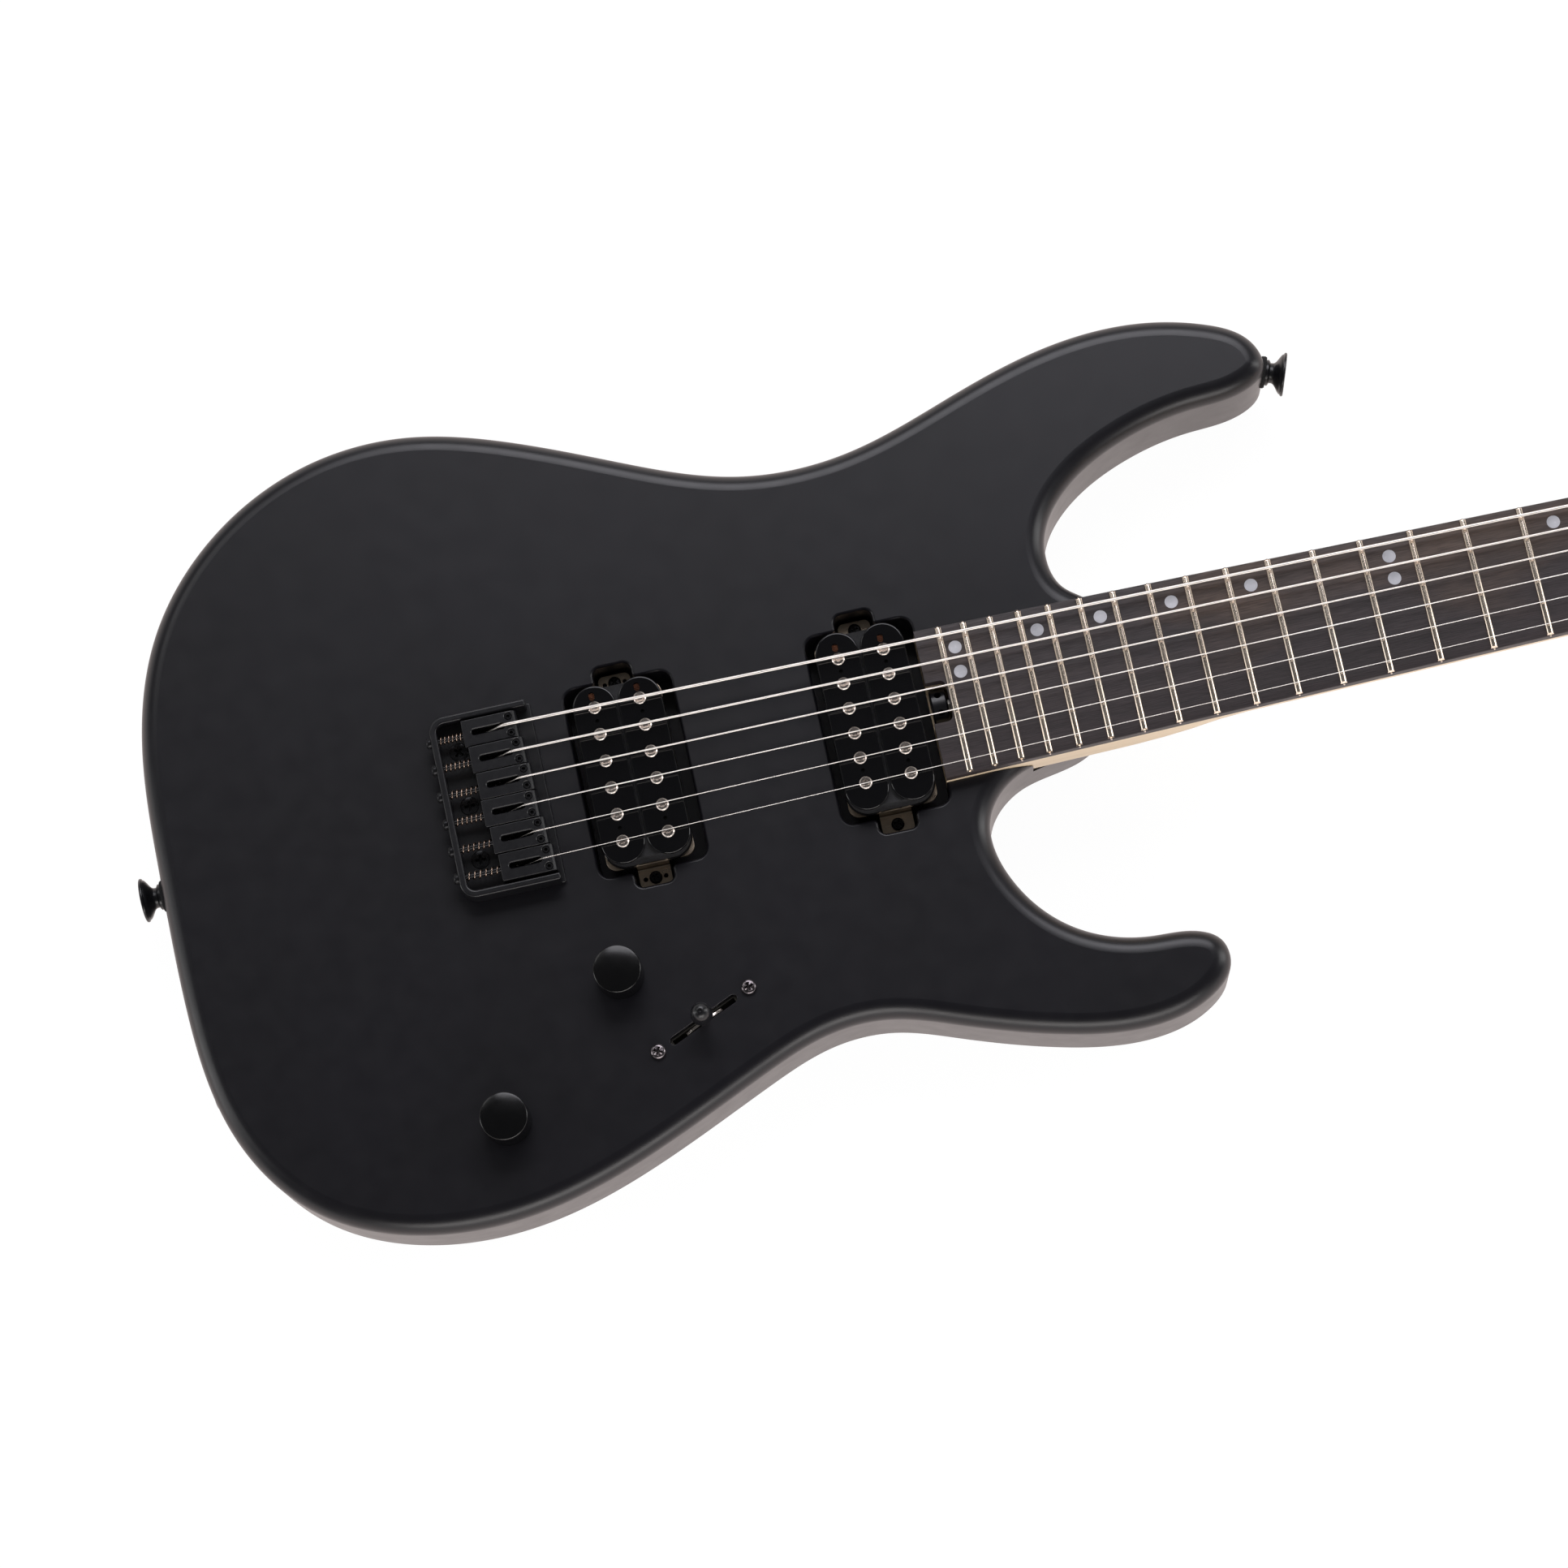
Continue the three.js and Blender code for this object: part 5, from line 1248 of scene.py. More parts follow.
def make_neck():
    playing = np.linspace(BLEND_START - 5, NUT_X - 16, 40)
    towards_head = np.linspace(NUT_X - 14, HEAD_FROM + 4, 26)
    stations = [BOARD_END, BOARD_END + 30, BOARD_END + 60, *playing, *towards_head]
    shaft = stitched([neck_section(x) for x in stations])
    start_low, start_high = head_span(HEAD_FROM)
    outline = [point for point in HEAD_PLAN if point[0] > HEAD_FROM + 1]
    outline = [(HEAD_FROM, start_low), *outline, (HEAD_FROM, start_high)]
    head = prism(outline, pill_levels(HEAD_BACK, HEAD_TOP, HEAD_EDGE, 5))
    whole = boolean(shaft, [head], "UNION")
    channel = prism(rectangle(-ROD_ROOM, ROD_ROOM, 0, NUT_X - 22 - BOARD_END, 1),
                    [(ROD_AXIS_Z - ROD_ROOM, 0), (NECK_TOP + 1, 0)])
    rod_room = moved(channel, (BOARD_END, 0, 0), Matrix.Rotation(-math.pi / 2, 3, "Z"))
    holes = [hole(x, y, 4.9, HEAD_BACK - 3, HEAD_TOP + 3) for x, y in POST_AT]
    holes += [hole(x, y, 2.6, POCKET_FLOOR - 1, POCKET_FLOOR + 13.3, 16) for x, y in NECK_SCREWS]
    for pair in (1, 2):
        x, y, _ = middle_mm(f"string_tree_{pair}")
        holes.append(hole(x, y, 1.9, HEAD_TOP - 9, HEAD_TOP + 3, 16))
    return boolean(whole, [joined(wheel_notch(NECK_TOP + 1)), joined(rod_room), joined(*holes)])


piece("neck_maple", make_neck(), "guitar", MAPLE, ["neck"], sharp=40)

# %% [markdown]
# ## The fretboard and its dots
# A dark board 6 mm thick, rounded across to a 400 mm radius, with its edges just broken.
# The dots are pearl discs let in flush on the bass side, so they drop with the camber too.

# %% Board and inlays
BOARD_EDGE = 0.5
DOT_RADIUS = 2.5
SINGLE_DOTS = [3, 5, 7, 9, 15, 17, 19, 21]
DOUBLE_DOTS = [12, 24]


def board_section(x):
    half = half_board(x)
    ring = [(x, -half, BOARD_BOTTOM), (x, half, BOARD_BOTTOM)]
    for y, drop in ((half, BOARD_EDGE), (half - BOARD_EDGE * 0.3, BOARD_EDGE * 0.3)):
        ring.append((x, y, BOARD_TOP - camber(half) - drop))
    across = [mixed(half - BOARD_EDGE, BOARD_EDGE - half, i / 24) for i in range(25)]
    ring += [(x, y, BOARD_TOP - camber(y)) for y in across]
    for y, drop in ((BOARD_EDGE * 0.3 - half, BOARD_EDGE * 0.3), (-half, BOARD_EDGE)):
        ring.append((x, y, BOARD_TOP - camber(half) - drop))
    return ring


def cambered(shape):
    """Drops every point of a flat-lying shape by the board's camber."""
    for vertex in shape.verts:
        vertex.co.z -= camber(vertex.co.y)
    return shape


def dot_places():
    places = []
    for number in SINGLE_DOTS + DOUBLE_DOTS:
        x = (fret_x(number) + fret_x(number - 1)) / 2
        pairs = (0, 1) if number in DOUBLE_DOTS else (0,)
        places += [(x, (string_y(i, x) + string_y(i + 1, x)) / 2, BOARD_TOP) for i in pairs]
    return places


blank = stitched([board_section(x) for x in (BOARD_END, NUT_X - SEAT_GAP)])
board = boolean(blank, [wheel_notch(FRET_TOP + 1)])
piece("fretboard_dark", board, "guitar", BOARD_WOOD, ["fretboard"], sharp=25)
dot_profile = [(0, -0.6), (DOT_RADIUS, -0.6), (DOT_RADIUS, 0.02), (DOT_RADIUS - 0.15, 0.05), (0, 0.05)]
DOT = turned(dot_profile, 36)
dots = cambered(row(DOT, dot_places(), turn=360, seed=3, material=PEARL))
piece("fretboard_dots", dots, "guitar", PEARL)

# %% [markdown]
# ## Frets
# Every fret stands where the rule of the twelfth root of two puts it. The tree draws a
# line of 24 points, moves each to its place by that rule, sets a straight fret on it,
# widens it to the board, and lets it follow the camber. The tang shows at the board's edge.

# %% A tree that frets a board
FRET_WIDTH = 2.5
TANG_WIDTH = 0.7


def fret_tree():
    sizes = [("Fret", "Object", None), ("Scale Length", "Float", 647.7), ("Frets", "Int", 24),
             ("Half Width at Nut", "Float", 21.0), ("Half Width at End", "Float", 29.0),
             ("Board End", "Float", 150.0), ("Camber Radius", "Float", 400.0), ("Height", "Float", 50.0),
             ("Material", "Material", None)]
    tree, given = new_tree("frets_by_the_rule", sizes)

    def maths(operation, *values):
        return add_node(tree, "ShaderNodeMath", dict(enumerate(values)), operation=operation).outputs[0]

    line = add_node(tree, "GeometryNodeMeshLine", {"Count": given["Frets"]})
    number = maths("ADD", add_node(tree, "GeometryNodeInputIndex").outputs[0], 1.0)
    ratio = maths("POWER", 2.0, maths("DIVIDE", number, -12.0))
    along_x = maths("MULTIPLY", given["Scale Length"], ratio)
    place = add_node(tree, "ShaderNodeCombineXYZ", {"X": along_x, "Z": given["Height"]})
    inputs = {"Geometry": line.outputs[0], "Position": place.outputs[0]}
    moved_line = add_node(tree, "GeometryNodeSetPosition", inputs)
    inputs = {"Value": along_x, "From Min": given["Board End"], "From Max": given["Scale Length"],
              "To Min": given["Half Width at End"], "To Max": given["Half Width at Nut"]}
    reach = add_node(tree, "ShaderNodeMapRange", inputs).outputs["Result"]
    size = add_node(tree, "ShaderNodeCombineXYZ", {"X": 1.0, "Y": reach, "Z": 1.0})
    fret = add_node(tree, "GeometryNodeObjectInfo", {"Object": given["Fret"]}).outputs["Geometry"]
    inputs = {"Points": moved_line.outputs[0], "Instance": fret, "Scale": size.outputs[0]}
    instances = add_node(tree, "GeometryNodeInstanceOnPoints", inputs)
    real = add_node(tree, "GeometryNodeRealizeInstances", {"Geometry": instances.outputs[0]})
    position = add_node(tree, "GeometryNodeInputPosition").outputs[0]
    across = add_node(tree, "ShaderNodeSeparateXYZ", {0: position}).outputs["Y"]
    diameter = maths("MULTIPLY", given["Camber Radius"], -2.0)
    drop = maths("DIVIDE", maths("MULTIPLY", across, across), diameter)
    offset = add_node(tree, "ShaderNodeCombineXYZ", {"Z": drop})
    inputs = {"Geometry": real.outputs[0], "Offset": offset.outputs[0]}
    bent = add_node(tree, "GeometryNodeSetPosition", inputs)
    return finish_tree(tree, bent.outputs[0], given["Material"])


FRET_TREE = fret_tree()
print("tree", FRET_TREE.name)

# %% [markdown]
# The tree needs one fret to set out: a crown that is a half ellipse on a short side wall,
# with its ends filed in a little, on a thin tang. It is one unit long to each side, so the
# tree can stretch it to the half width of the board.

# %% One fret, and the whole set


def unit_fret():
    """A straight fret one unit to each side: a domed crown on a thin tang."""
    half = FRET_WIDTH / 2
    arc = [math.pi * i / 8 for i in range(9)]
    crown = [(half * math.cos(a), FRET_HEIGHT * (0.25 + 0.75 * math.sin(a))) for a in arc]
    profile = [(half, 0.0), *crown, (-half, 0.0)]
    stations = [mixed(-1, 1, i / 20) for i in range(21)]
    rings = []
    for y in stations:
        end = abs(y) > 0.99
        reach = math.copysign(0.985, y) if end else y
        filed = math.copysign(0.02, y) / FRET_HEIGHT if end else 0
        rings.append([(x, reach - filed * max(z, 0), z) for x, z in profile])
    strip = rectangle(-TANG_WIDTH / 2, TANG_WIDTH / 2, -1.6, 0.1, 0)
    tang = [[(x, y, z) for x, z in strip] for y in (-1, 1)]
    return joined(stitched(rings), stitched(tang))


empty = temporary(bmesh.new(), "board_line")
fret_pattern = temporary(unit_fret(), "fret_pattern")
sizes = {"Fret": fret_pattern, "Scale Length": NUT_X, "Frets": FRETS, "Height": BOARD_TOP,
         "Half Width at Nut": HALF_BOARD_AT_NUT, "Half Width at End": HALF_BOARD_AT_END,
         "Board End": BOARD_END, "Camber Radius": float(BOARD_CAMBER_RADIUS), "Material": FRET_METAL}
frets = grown(FRET_TREE, empty, **sizes)
for holder in (empty, fret_pattern):
    bpy.data.objects.remove(holder)
piece("frets", frets, "guitar", FRET_METAL, sharp=50)

# %% [markdown]
# ## The nut
# The nut is a moulded block, polished and rounded on top, with a slot for each string. The
# four higher strings pass under string trees on the way to their posts.

# %% Nut
NUT_TOP = box_mm("nut")[1].z
POST_WAIST_Z = HEAD_TOP + 7
TREE_STRINGS = {2: 1, 3: 1, 4: 2, 5: 2}
TREE_STRING_Z = HEAD_TOP + 6.2


def make_nut():
    half = HALF_BOARD_AT_NUT - 0.1
    block = prism(rectangle(NUT_X + SEAT_GAP, NUT_X + NUT_LENGTH, -half, half, 0.8, 3),
                  rounded_levels(NECK_TOP + SEAT_GAP, NUT_TOP, 0.7))
    slots = []
    for index, radius in enumerate(STRING_RADII):
        y, z = string_y(index, NUT_X), string_bottom(index, NUT_X) + radius
        room = radius + 0.12
        under = [-math.pi * i / 8 for i in range(9)]
        across = [(y + room, z + 3), *[(y + room * math.cos(a), z + room * math.sin(a)) for a in under],
                  (y - room, z + 3)]
        ends = (NUT_X - 2, NUT_X + NUT_LENGTH + 2)
        slots.append(stitched([[(x, *point) for point in across] for x in ends]))
    return boolean(block, [joined(*slots)])


piece("nut_black_slotted", make_nut(), "guitar", BLACK_NUT, ["nut"], sharp=45)

# %% [markdown]
# ## The strings
# A string is one line from its ball end under the body, up through the bridge, over the
# saddle's crown, along the neck, through the nut and round its post. Corners are rounded
# to small bends before the line gets its thickness. The three bass strings are wound.

# %% Strings
POST_TURNS = 1.5
POST_STEPS = 48
WOUND_STRINGS = 3


def rounded_path(corners, reach):
    """A path with each corner swapped for a short curve."""
    points = [Vector(corners[0])]
    for before, here, after in zip(corners, corners[1:], corners[2:]):
        here, before, after = Vector(here), Vector(before), Vector(after)
        into, out = before - here, after - here
        room = min(reach, into.length * 0.45, out.length * 0.45)
        start, end = here + into.normalized() * room, here + out.normalized() * room
        points += [start, *[Vector(point) for point in bend(start, here, end, 5)]]
    return points + [Vector(corners[-1])]


def string_path(index):
    radius = STRING_RADII[index]
    hole_x, y0 = string_hole(index)
    crown = SADDLES[index][1].x - 4
    top = string_bottom(index, 0) + radius
    rest = crown - 1.6
    corners = [(hole_x, y0, FERRULE_DEPTH - 4), (hole_x, y0, BODY_TOP + 3.4), (rest, y0, top - 0.35),
               (rest + 1.4, y0, top)]
    y_nut, z_nut = string_y(index, NUT_X), string_bottom(index, NUT_X) + radius
    corners += [(NUT_X, y_nut, z_nut), (NUT_X + NUT_LENGTH, y_nut, z_nut)]
    if index in TREE_STRINGS:
        tree_x = middle_mm(f"string_tree_{TREE_STRINGS[index]}").x
        corners += [(tree_x - 2.5, y_nut, TREE_STRING_Z), (tree_x + 2.5, y_nut, TREE_STRING_Z)]
    post_x, post_y = POST_AT[index]
    reach = post_y - y_nut
    points = rounded_path([*corners, (post_x - 6, y_nut, POST_WAIST_Z)], 1.6)
    for step in range(POST_STEPS + 1):
        share = POST_TURNS * step / POST_STEPS
        angle = TURN * share - math.pi / 2
        across, along_x = math.sin(angle) * reach, math.cos(angle) * reach
        down = (2 * radius + 0.25) * share
        points.append(Vector((post_x + along_x, post_y + across, POST_WAIST_Z - down)))
    return points


for index, radius in enumerate(STRING_RADII):
    name = f"string_{index + 1}"
    finish = WOUND_WIRE if index < WOUND_STRINGS else PLAIN_WIRE
    wire = tube(string_path(index), radius, 12)
    piece(name + "_wire", wire, "guitar", finish, [name], sharp=60)

# %% [markdown]
# ## Screw heads
# A screw head is a turned profile with a key-hole sunk into its top. Written in polar
# form, a hexagon or a cross is a radius for each angle, so its outline can be one more
# ring of the same turned shape, and no cut is needed.

# %% Heads with a recess
HEX_ANGLES = [TURN * i / 24 for i in range(24)]


def hexagon(radius):
    """Radius of a hexagonal socket at an angle."""
    sixth = math.pi / 3
    return lambda angle: radius * math.cos(sixth / 2) / math.cos(angle % sixth - sixth / 2)


def cross_angles(reach, half_width):
    """Angles that catch every corner of a cross."""
    corner = math.atan(half_width / reach)
    eighth = math.pi / 4
    between = (eighth + corner) / 2
    offsets = [-eighth, -between, -corner, -corner / 2, 0, corner / 2, corner, between]
    return [math.pi / 2 * arm + offset for arm in range(4) for offset in offsets]


def cross(reach, half_width):
    """Radius of a cross-shaped recess at an angle."""

    def radius(angle):
        nearest = (angle + math.pi / 4) % (math.pi / 2) - math.pi / 4
        sideways = abs(math.sin(nearest))
        return min(reach / math.cos(nearest), half_width / sideways if sideways > 1e-6 else reach)

    return radius


def screw_head(profile, recess, angles, depth, taper=0.85, crown=0.0):
    """A turned profile that ends in its top ring, with a recess sunk from there."""
    rings = [[(r * math.cos(a), r * math.sin(a), z) for a in angles] for r, z in profile]
    top = profile[-1][1]
    for scale, z in ((1, top + crown), (taper, top - depth)):
        reaches = [(a, scale * recess(a)) for a in angles]
        rings.append([(r * math.cos(a), r * math.sin(a), z) for a, r in reaches])
    rings.append([(0, 0, top - depth)])
    return stitched([[(0, 0, profile[0][1])], *rings])


def dome(radius, low, rim, top, flat, steps=5):
    """A profile: a short cylinder, then a dome that ends in a flat ring for the recess."""
    arc = [math.pi / 2 * i / steps for i in range(steps + 1)]
    curve = [(flat + (radius - flat) * math.cos(a), rim + (top - rim) * math.sin(a)) for a in arc]
    return [(radius, low), *curve]


def cross_head(radius, low, rim, top, depth, crown=0.0):
    reach, half_width = radius * 0.58, radius * 0.15
    profile = dome(radius, low, rim, top, radius * 0.62)
    angles = cross_angles(reach, half_width)
    return screw_head(profile, cross(reach, half_width), angles, depth, 0.7, crown)


print("angles of a hexagon and a cross", len(HEX_ANGLES), len(cross_angles(2, 0.5)))

# %% [markdown]
# ## The bridge
# A steel tray with a raised wall on three sides, screwed to the body. Six saddles slide in
# it. Each is drawn forward by its intonation screw through the rear wall and held off by a
# spring, and stands on two small socket screws. The wall's top edges are rolled, and that
# is where satin black hardware shows its shape: two pale lines with a dark flat between.

# %% Tray
PLATE_LOW, PLATE_HIGH = box_mm("bridge_plate")
PLATE_TOP = PLATE_LOW.z + 2
WALL = 2.7
TRAY_CORNER = 6
TRAY_LIP = 1.3
SADDLE_THICKNESS = 6
SCREW_AXIS_Z = SADDLES[0][1].z - SADDLE_THICKNESS / 2 - 0.4
PLATE_SCREWS = [(-24.6, 22.2), (-24.7, 1), (-24.7, -20.1)]


def make_tray():
    rear, front, half = PLATE_LOW.x, PLATE_HIGH.x, PLATE_HIGH.y
    inner, arm_corner = TRAY_CORNER - WALL, 0.8
    corners = [(rear, -half, TRAY_CORNER), (front + TRAY_LIP, -half, arm_corner),
               (front + TRAY_LIP, half, arm_corner), (rear, half, TRAY_CORNER)]
    plate = prism(rounded_polygon(corners, 10), rounded_levels(PLATE_LOW.z, PLATE_TOP, 0.5))
    corners = [(rear, -half, TRAY_CORNER), (front, -half, arm_corner), (front, WALL - half, arm_corner),
               (rear + WALL, WALL - half, inner), (rear + WALL, half - WALL, inner),
               (front, half - WALL, arm_corner), (front, half, arm_corner), (rear, half, TRAY_CORNER)]
    wall = prism(rounded_polygon(corners, 10), rounded_levels(PLATE_LOW.z + 1, PLATE_HIGH.z, 0.7, 5))
    tray = boolean(plate, [wall], "UNION")
    bores = [hole(*string_hole(i), 1.8, PLATE_LOW.z - 1, PLATE_TOP + 1, 16) for i in range(STRINGS)]
    bores += [prism(circle(x, y, 2), [(PLATE_LOW.z - 1, 0), (PLATE_TOP - 1.6, 0), (PLATE_TOP + 0.4, -2)])
              for x, y in PLATE_SCREWS]
    across = Matrix.Rotation(math.pi / 2, 3, "Y")
    bores += [moved(hole(0, 0, 1.5, -2, WALL + 2, 16), (rear, saddle_y(i), SCREW_AXIS_Z), across)
              for i in range(STRINGS)]
    return boolean(tray, [joined(*bores)])


piece("bridge_tray", make_tray(), "guitar", HARDWARE, ["bridge_plate"], sharp=40)

# %% [markdown]
# A saddle is a steel block, rounded where the string breaks over it. It has a long slot for
# its intonation screw, a hollow for the string, and two screw holes with broken edges.
# Its height screws end in hexagonal sockets.

# %% Saddles
SADDLE_AHEAD = 4
SADDLE_LENGTH = 21
SADDLE_NOSE = 2.4
HEIGHT_SCREW_SIDE = 3.2
UPRIGHT = Matrix.Rotation(math.pi / 2, 3, "X")


def make_saddle(index):
    """A block about its string's crown, on two height screws that reach down to the tray."""
    low, high = SADDLES[index]
    half = (high.y - low.y) / 2
    back = SADDLE_AHEAD - SADDLE_LENGTH
    side = rounded_polygon([(back, -SADDLE_THICKNESS, 0.3), (SADDLE_AHEAD, -SADDLE_THICKNESS, 0.3),
                            (SADDLE_AHEAD, 0, SADDLE_NOSE), (back, 0, 0.3)], 8)
    block = moved(prism(side, pill_levels(-half, half, 0.28, 3)), turn=UPRIGHT)
    under = -SADDLE_THICKNESS - 1
    slot = prism(capsule((-12.6, 0), (-2.2, 0), 1.15, 24),
                 [(under, 0), (-0.35, 0), (0.01, -0.35), (1, -0.35)])
    bore_levels = [(under, 0), (-0.3, 0), (0.01, -0.3), (1, -0.3)]
    screw_holes = [prism(circle(1, side_y, 1.45, 24), bore_levels)
                   for side_y in (-HEIGHT_SCREW_SIDE, HEIGHT_SCREW_SIDE)]
    groove = tube([(-3, 0, 0.25), (8, 0, 0.25)], 0.75)
    cut = boolean(block, [joined(slot, *screw_holes), groove])
    return moved(cut, (high.x - SADDLE_AHEAD, saddle_y(index), high.z))


for index in range(STRINGS):
    name = f"saddle_{index + 1}"
    foot, top = SADDLES[index][0].z, SADDLES[index][1].z
    crown = SADDLES[index][1].x - SADDLE_AHEAD
    grub_profile = [(1.1, foot - top), (1.36, foot - top + 0.4), (1.36, -0.45), (1.1, -0.22)]
    grub = screw_head(grub_profile, hexagon(0.72), HEX_ANGLES, 1.2)
    feet = [(crown + 1, saddle_y(index) + side, top) for side in (-HEIGHT_SCREW_SIDE, HEIGHT_SCREW_SIDE)]
    piece(name + "_block", make_saddle(index), name, HARDWARE, [name], sharp=32)
    screws = row(grub, feet, turn=60, seed=index)
    piece(name + "_height_screws", screws, name, SCREW_BLACK)

# %% [markdown]
# A spring is a spiral with a wire's thickness, which Geometry Nodes have as a ready curve.
# When its saddle slides, the real spring follows; here each spring is tied neither to the
# tray nor to its saddle.

# %% Springs of the bridge
WALL_INSIDE = PLATE_LOW.x + WALL
SPRING_COILS = 6.0
SPRING_RADIUS = 1.5
SPRING_WIRE = 0.26


def spring_tree():
    sizes = [("Coils", "Float", 6.0), ("Radius", "Float", 1.5), ("Length", "Float", 9.0),
             ("Wire Radius", "Float", 0.25), ("Material", "Material", None)]
    tree, given = new_tree("coil_spring", sizes)
    inputs = {"Resolution": 16, "Rotations": given["Coils"], "Start Radius": given["Radius"],
              "End Radius": given["Radius"], "Height": given["Length"]}
    spiral = add_node(tree, "GeometryNodeCurveSpiral", inputs)
    circle_inputs = {"Resolution": 8, "Radius": given["Wire Radius"]}
    section = add_node(tree, "GeometryNodeCurvePrimitiveCircle", circle_inputs, mode="RADIUS")
    inputs = {"Curve": spiral.outputs[0], "Profile Curve": section.outputs[0], "Fill Caps": True}
    wire = add_node(tree, "GeometryNodeCurveToMesh", inputs)
    return finish_tree(tree, wire.outputs[0], given["Material"])


SPRING_TREE = spring_tree()
for index in range(STRINGS):
    saddle_rear = SADDLES[index][0].x
    y = saddle_y(index)
    holder = temporary(bmesh.new(), "spring_line")
    sizes = {"Coils": SPRING_COILS, "Radius": SPRING_RADIUS, "Wire Radius": SPRING_WIRE,
             "Length": saddle_rear - WALL_INSIDE - 2 * SPRING_WIRE - 0.1, "Material": SPRING_STEEL}
    coil = grown(SPRING_TREE, holder, **sizes)
    bpy.data.objects.remove(holder)
    moved(coil, (WALL_INSIDE + SPRING_WIRE + 0.05, y, SCREW_AXIS_Z), along((1, 0, 0)))
    spring = piece(f"saddle_spring_{index + 1}", coil, None, SPRING_STEEL, sharp=60)
    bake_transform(spring)

# %% [markdown]
# The intonation screws have small cross-head domes outside the rear wall. The tray's own
# screws are countersunk, so their heads lie flush with the floor between the saddles.

# %% Screws of the bridge
HEAD_AT = [(PLATE_LOW.x, saddle_y(i), SCREW_AXIS_Z) for i in range(STRINGS)]
INTONATION_HEAD = cross_head(2.1, 0.05, 0.9, 1.9, 1.0)
heads = row(INTONATION_HEAD, HEAD_AT, (0, -90, 0), 90, seed=5, material=SCREW_BLACK)
shanks = [tube([at, (SADDLES[i][0].x - 0.2, *at[1:])], 0.95) for i, at in enumerate(HEAD_AT)]
piece("intonation_screws", joined(heads, *shanks), "guitar", SCREW_BLACK, sharp=40)
head_profile = [(1.9, -1.7), (3.6, -0.15), (3.3, 0.1)]
COUNTERSUNK = screw_head(head_profile, cross(2.0, 0.5), cross_angles(2.0, 0.5), 1.4, 0.6)
flat_heads = row(COUNTERSUNK, [(x, y, PLATE_TOP + 0.1) for x, y in PLATE_SCREWS], turn=90, seed=9)
piece("bridge_plate_screws", flat_heads, "guitar", SCREW_BLACK, sharp=40)

# %% [markdown]
# ## The pickups
# Two coils side by side on a stamped base. Each bobbin is a glossy black moulding with six
# adjustable poles, which are nickel-plated socket screws. Black tape is wound round both
# coils. The base's bent legs carry the height screws in the tabs of the rout.

# %% A bobbin and its cuts
BOBBIN_LOW, BOBBIN_HIGH = box_mm("bridge_pickup_rear_bobbin")
BOBBIN_TOP = BOBBIN_HIGH.z
BOBBIN_RADIUS = (BOBBIN_HIGH.x - BOBBIN_LOW.x) / 2
BOBBIN_REACH = (BOBBIN_HIGH.y - BOBBIN_LOW.y) / 2 - BOBBIN_RADIUS
POLE_RADIUS = 2.4
BASE_TOP = BOBBIN_LOW.z - SEAT_GAP
BASE_THICKNESS = 1.4
LEG_DROP = 7
TAB_HALF = 6.2
TAB_END = box_mm("bridge_pickup_baseplate")[1].y
TAB_SCREW_AT = TAB_END - 3.4
WIRE_WINDOW_FROM_POLE = 4.0


def pole_places(pitch):
    return [pitch * (2.5 - i) for i in range(6)]


def make_bobbin(x, pitch):
    ends = (x, -BOBBIN_REACH), (x, BOBBIN_REACH)
    wide = capsule(*ends, BOBBIN_RADIUS, 64)
    flange = prism(wide, pill_levels(BOBBIN_TOP - 2, BOBBIN_TOP, 0.6, 5))
    core = prism(capsule(*ends, BOBBIN_RADIUS - 2, 48), [(BOBBIN_LOW.z + 1.2, 0), (BOBBIN_TOP - 1.5, 0)])
    foot = prism(wide, pill_levels(BOBBIN_LOW.z, BOBBIN_LOW.z + 1.6, 0.3, 2))
    poles = pole_places(pitch)
    bores = [hole(x, y, POLE_RADIUS + 0.14, BOBBIN_TOP - 3, BOBBIN_TOP + 1) for y in poles]
    pins = [(poles[a] + poles[a + 1]) / 2 for a in (0, 4)]
    bores += [hole(x, y, 0.75, BOBBIN_TOP - 1.6, BOBBIN_TOP + 1, 20) for y in pins]
    start = poles[0] + WIRE_WINDOW_FROM_POLE
    window = capsule((x - 0.3, start), (x - 0.3, start + 0.9), 1.15, 20)
    bores.append(prism(window, [(BOBBIN_TOP - 1.8, 0), (BOBBIN_TOP + 1, 0)]))
    return boolean(joined(core), [flange, foot], "UNION"), bores


print("bobbin top at", round(BOBBIN_TOP, 2), "mm")

# %% [markdown]
# The base is one strip of sheet metal. Each leg is drawn from the side as a strip with bent
# corners, raised to its width, and trimmed in plan to round the tab's corners.

# %% The stamped base


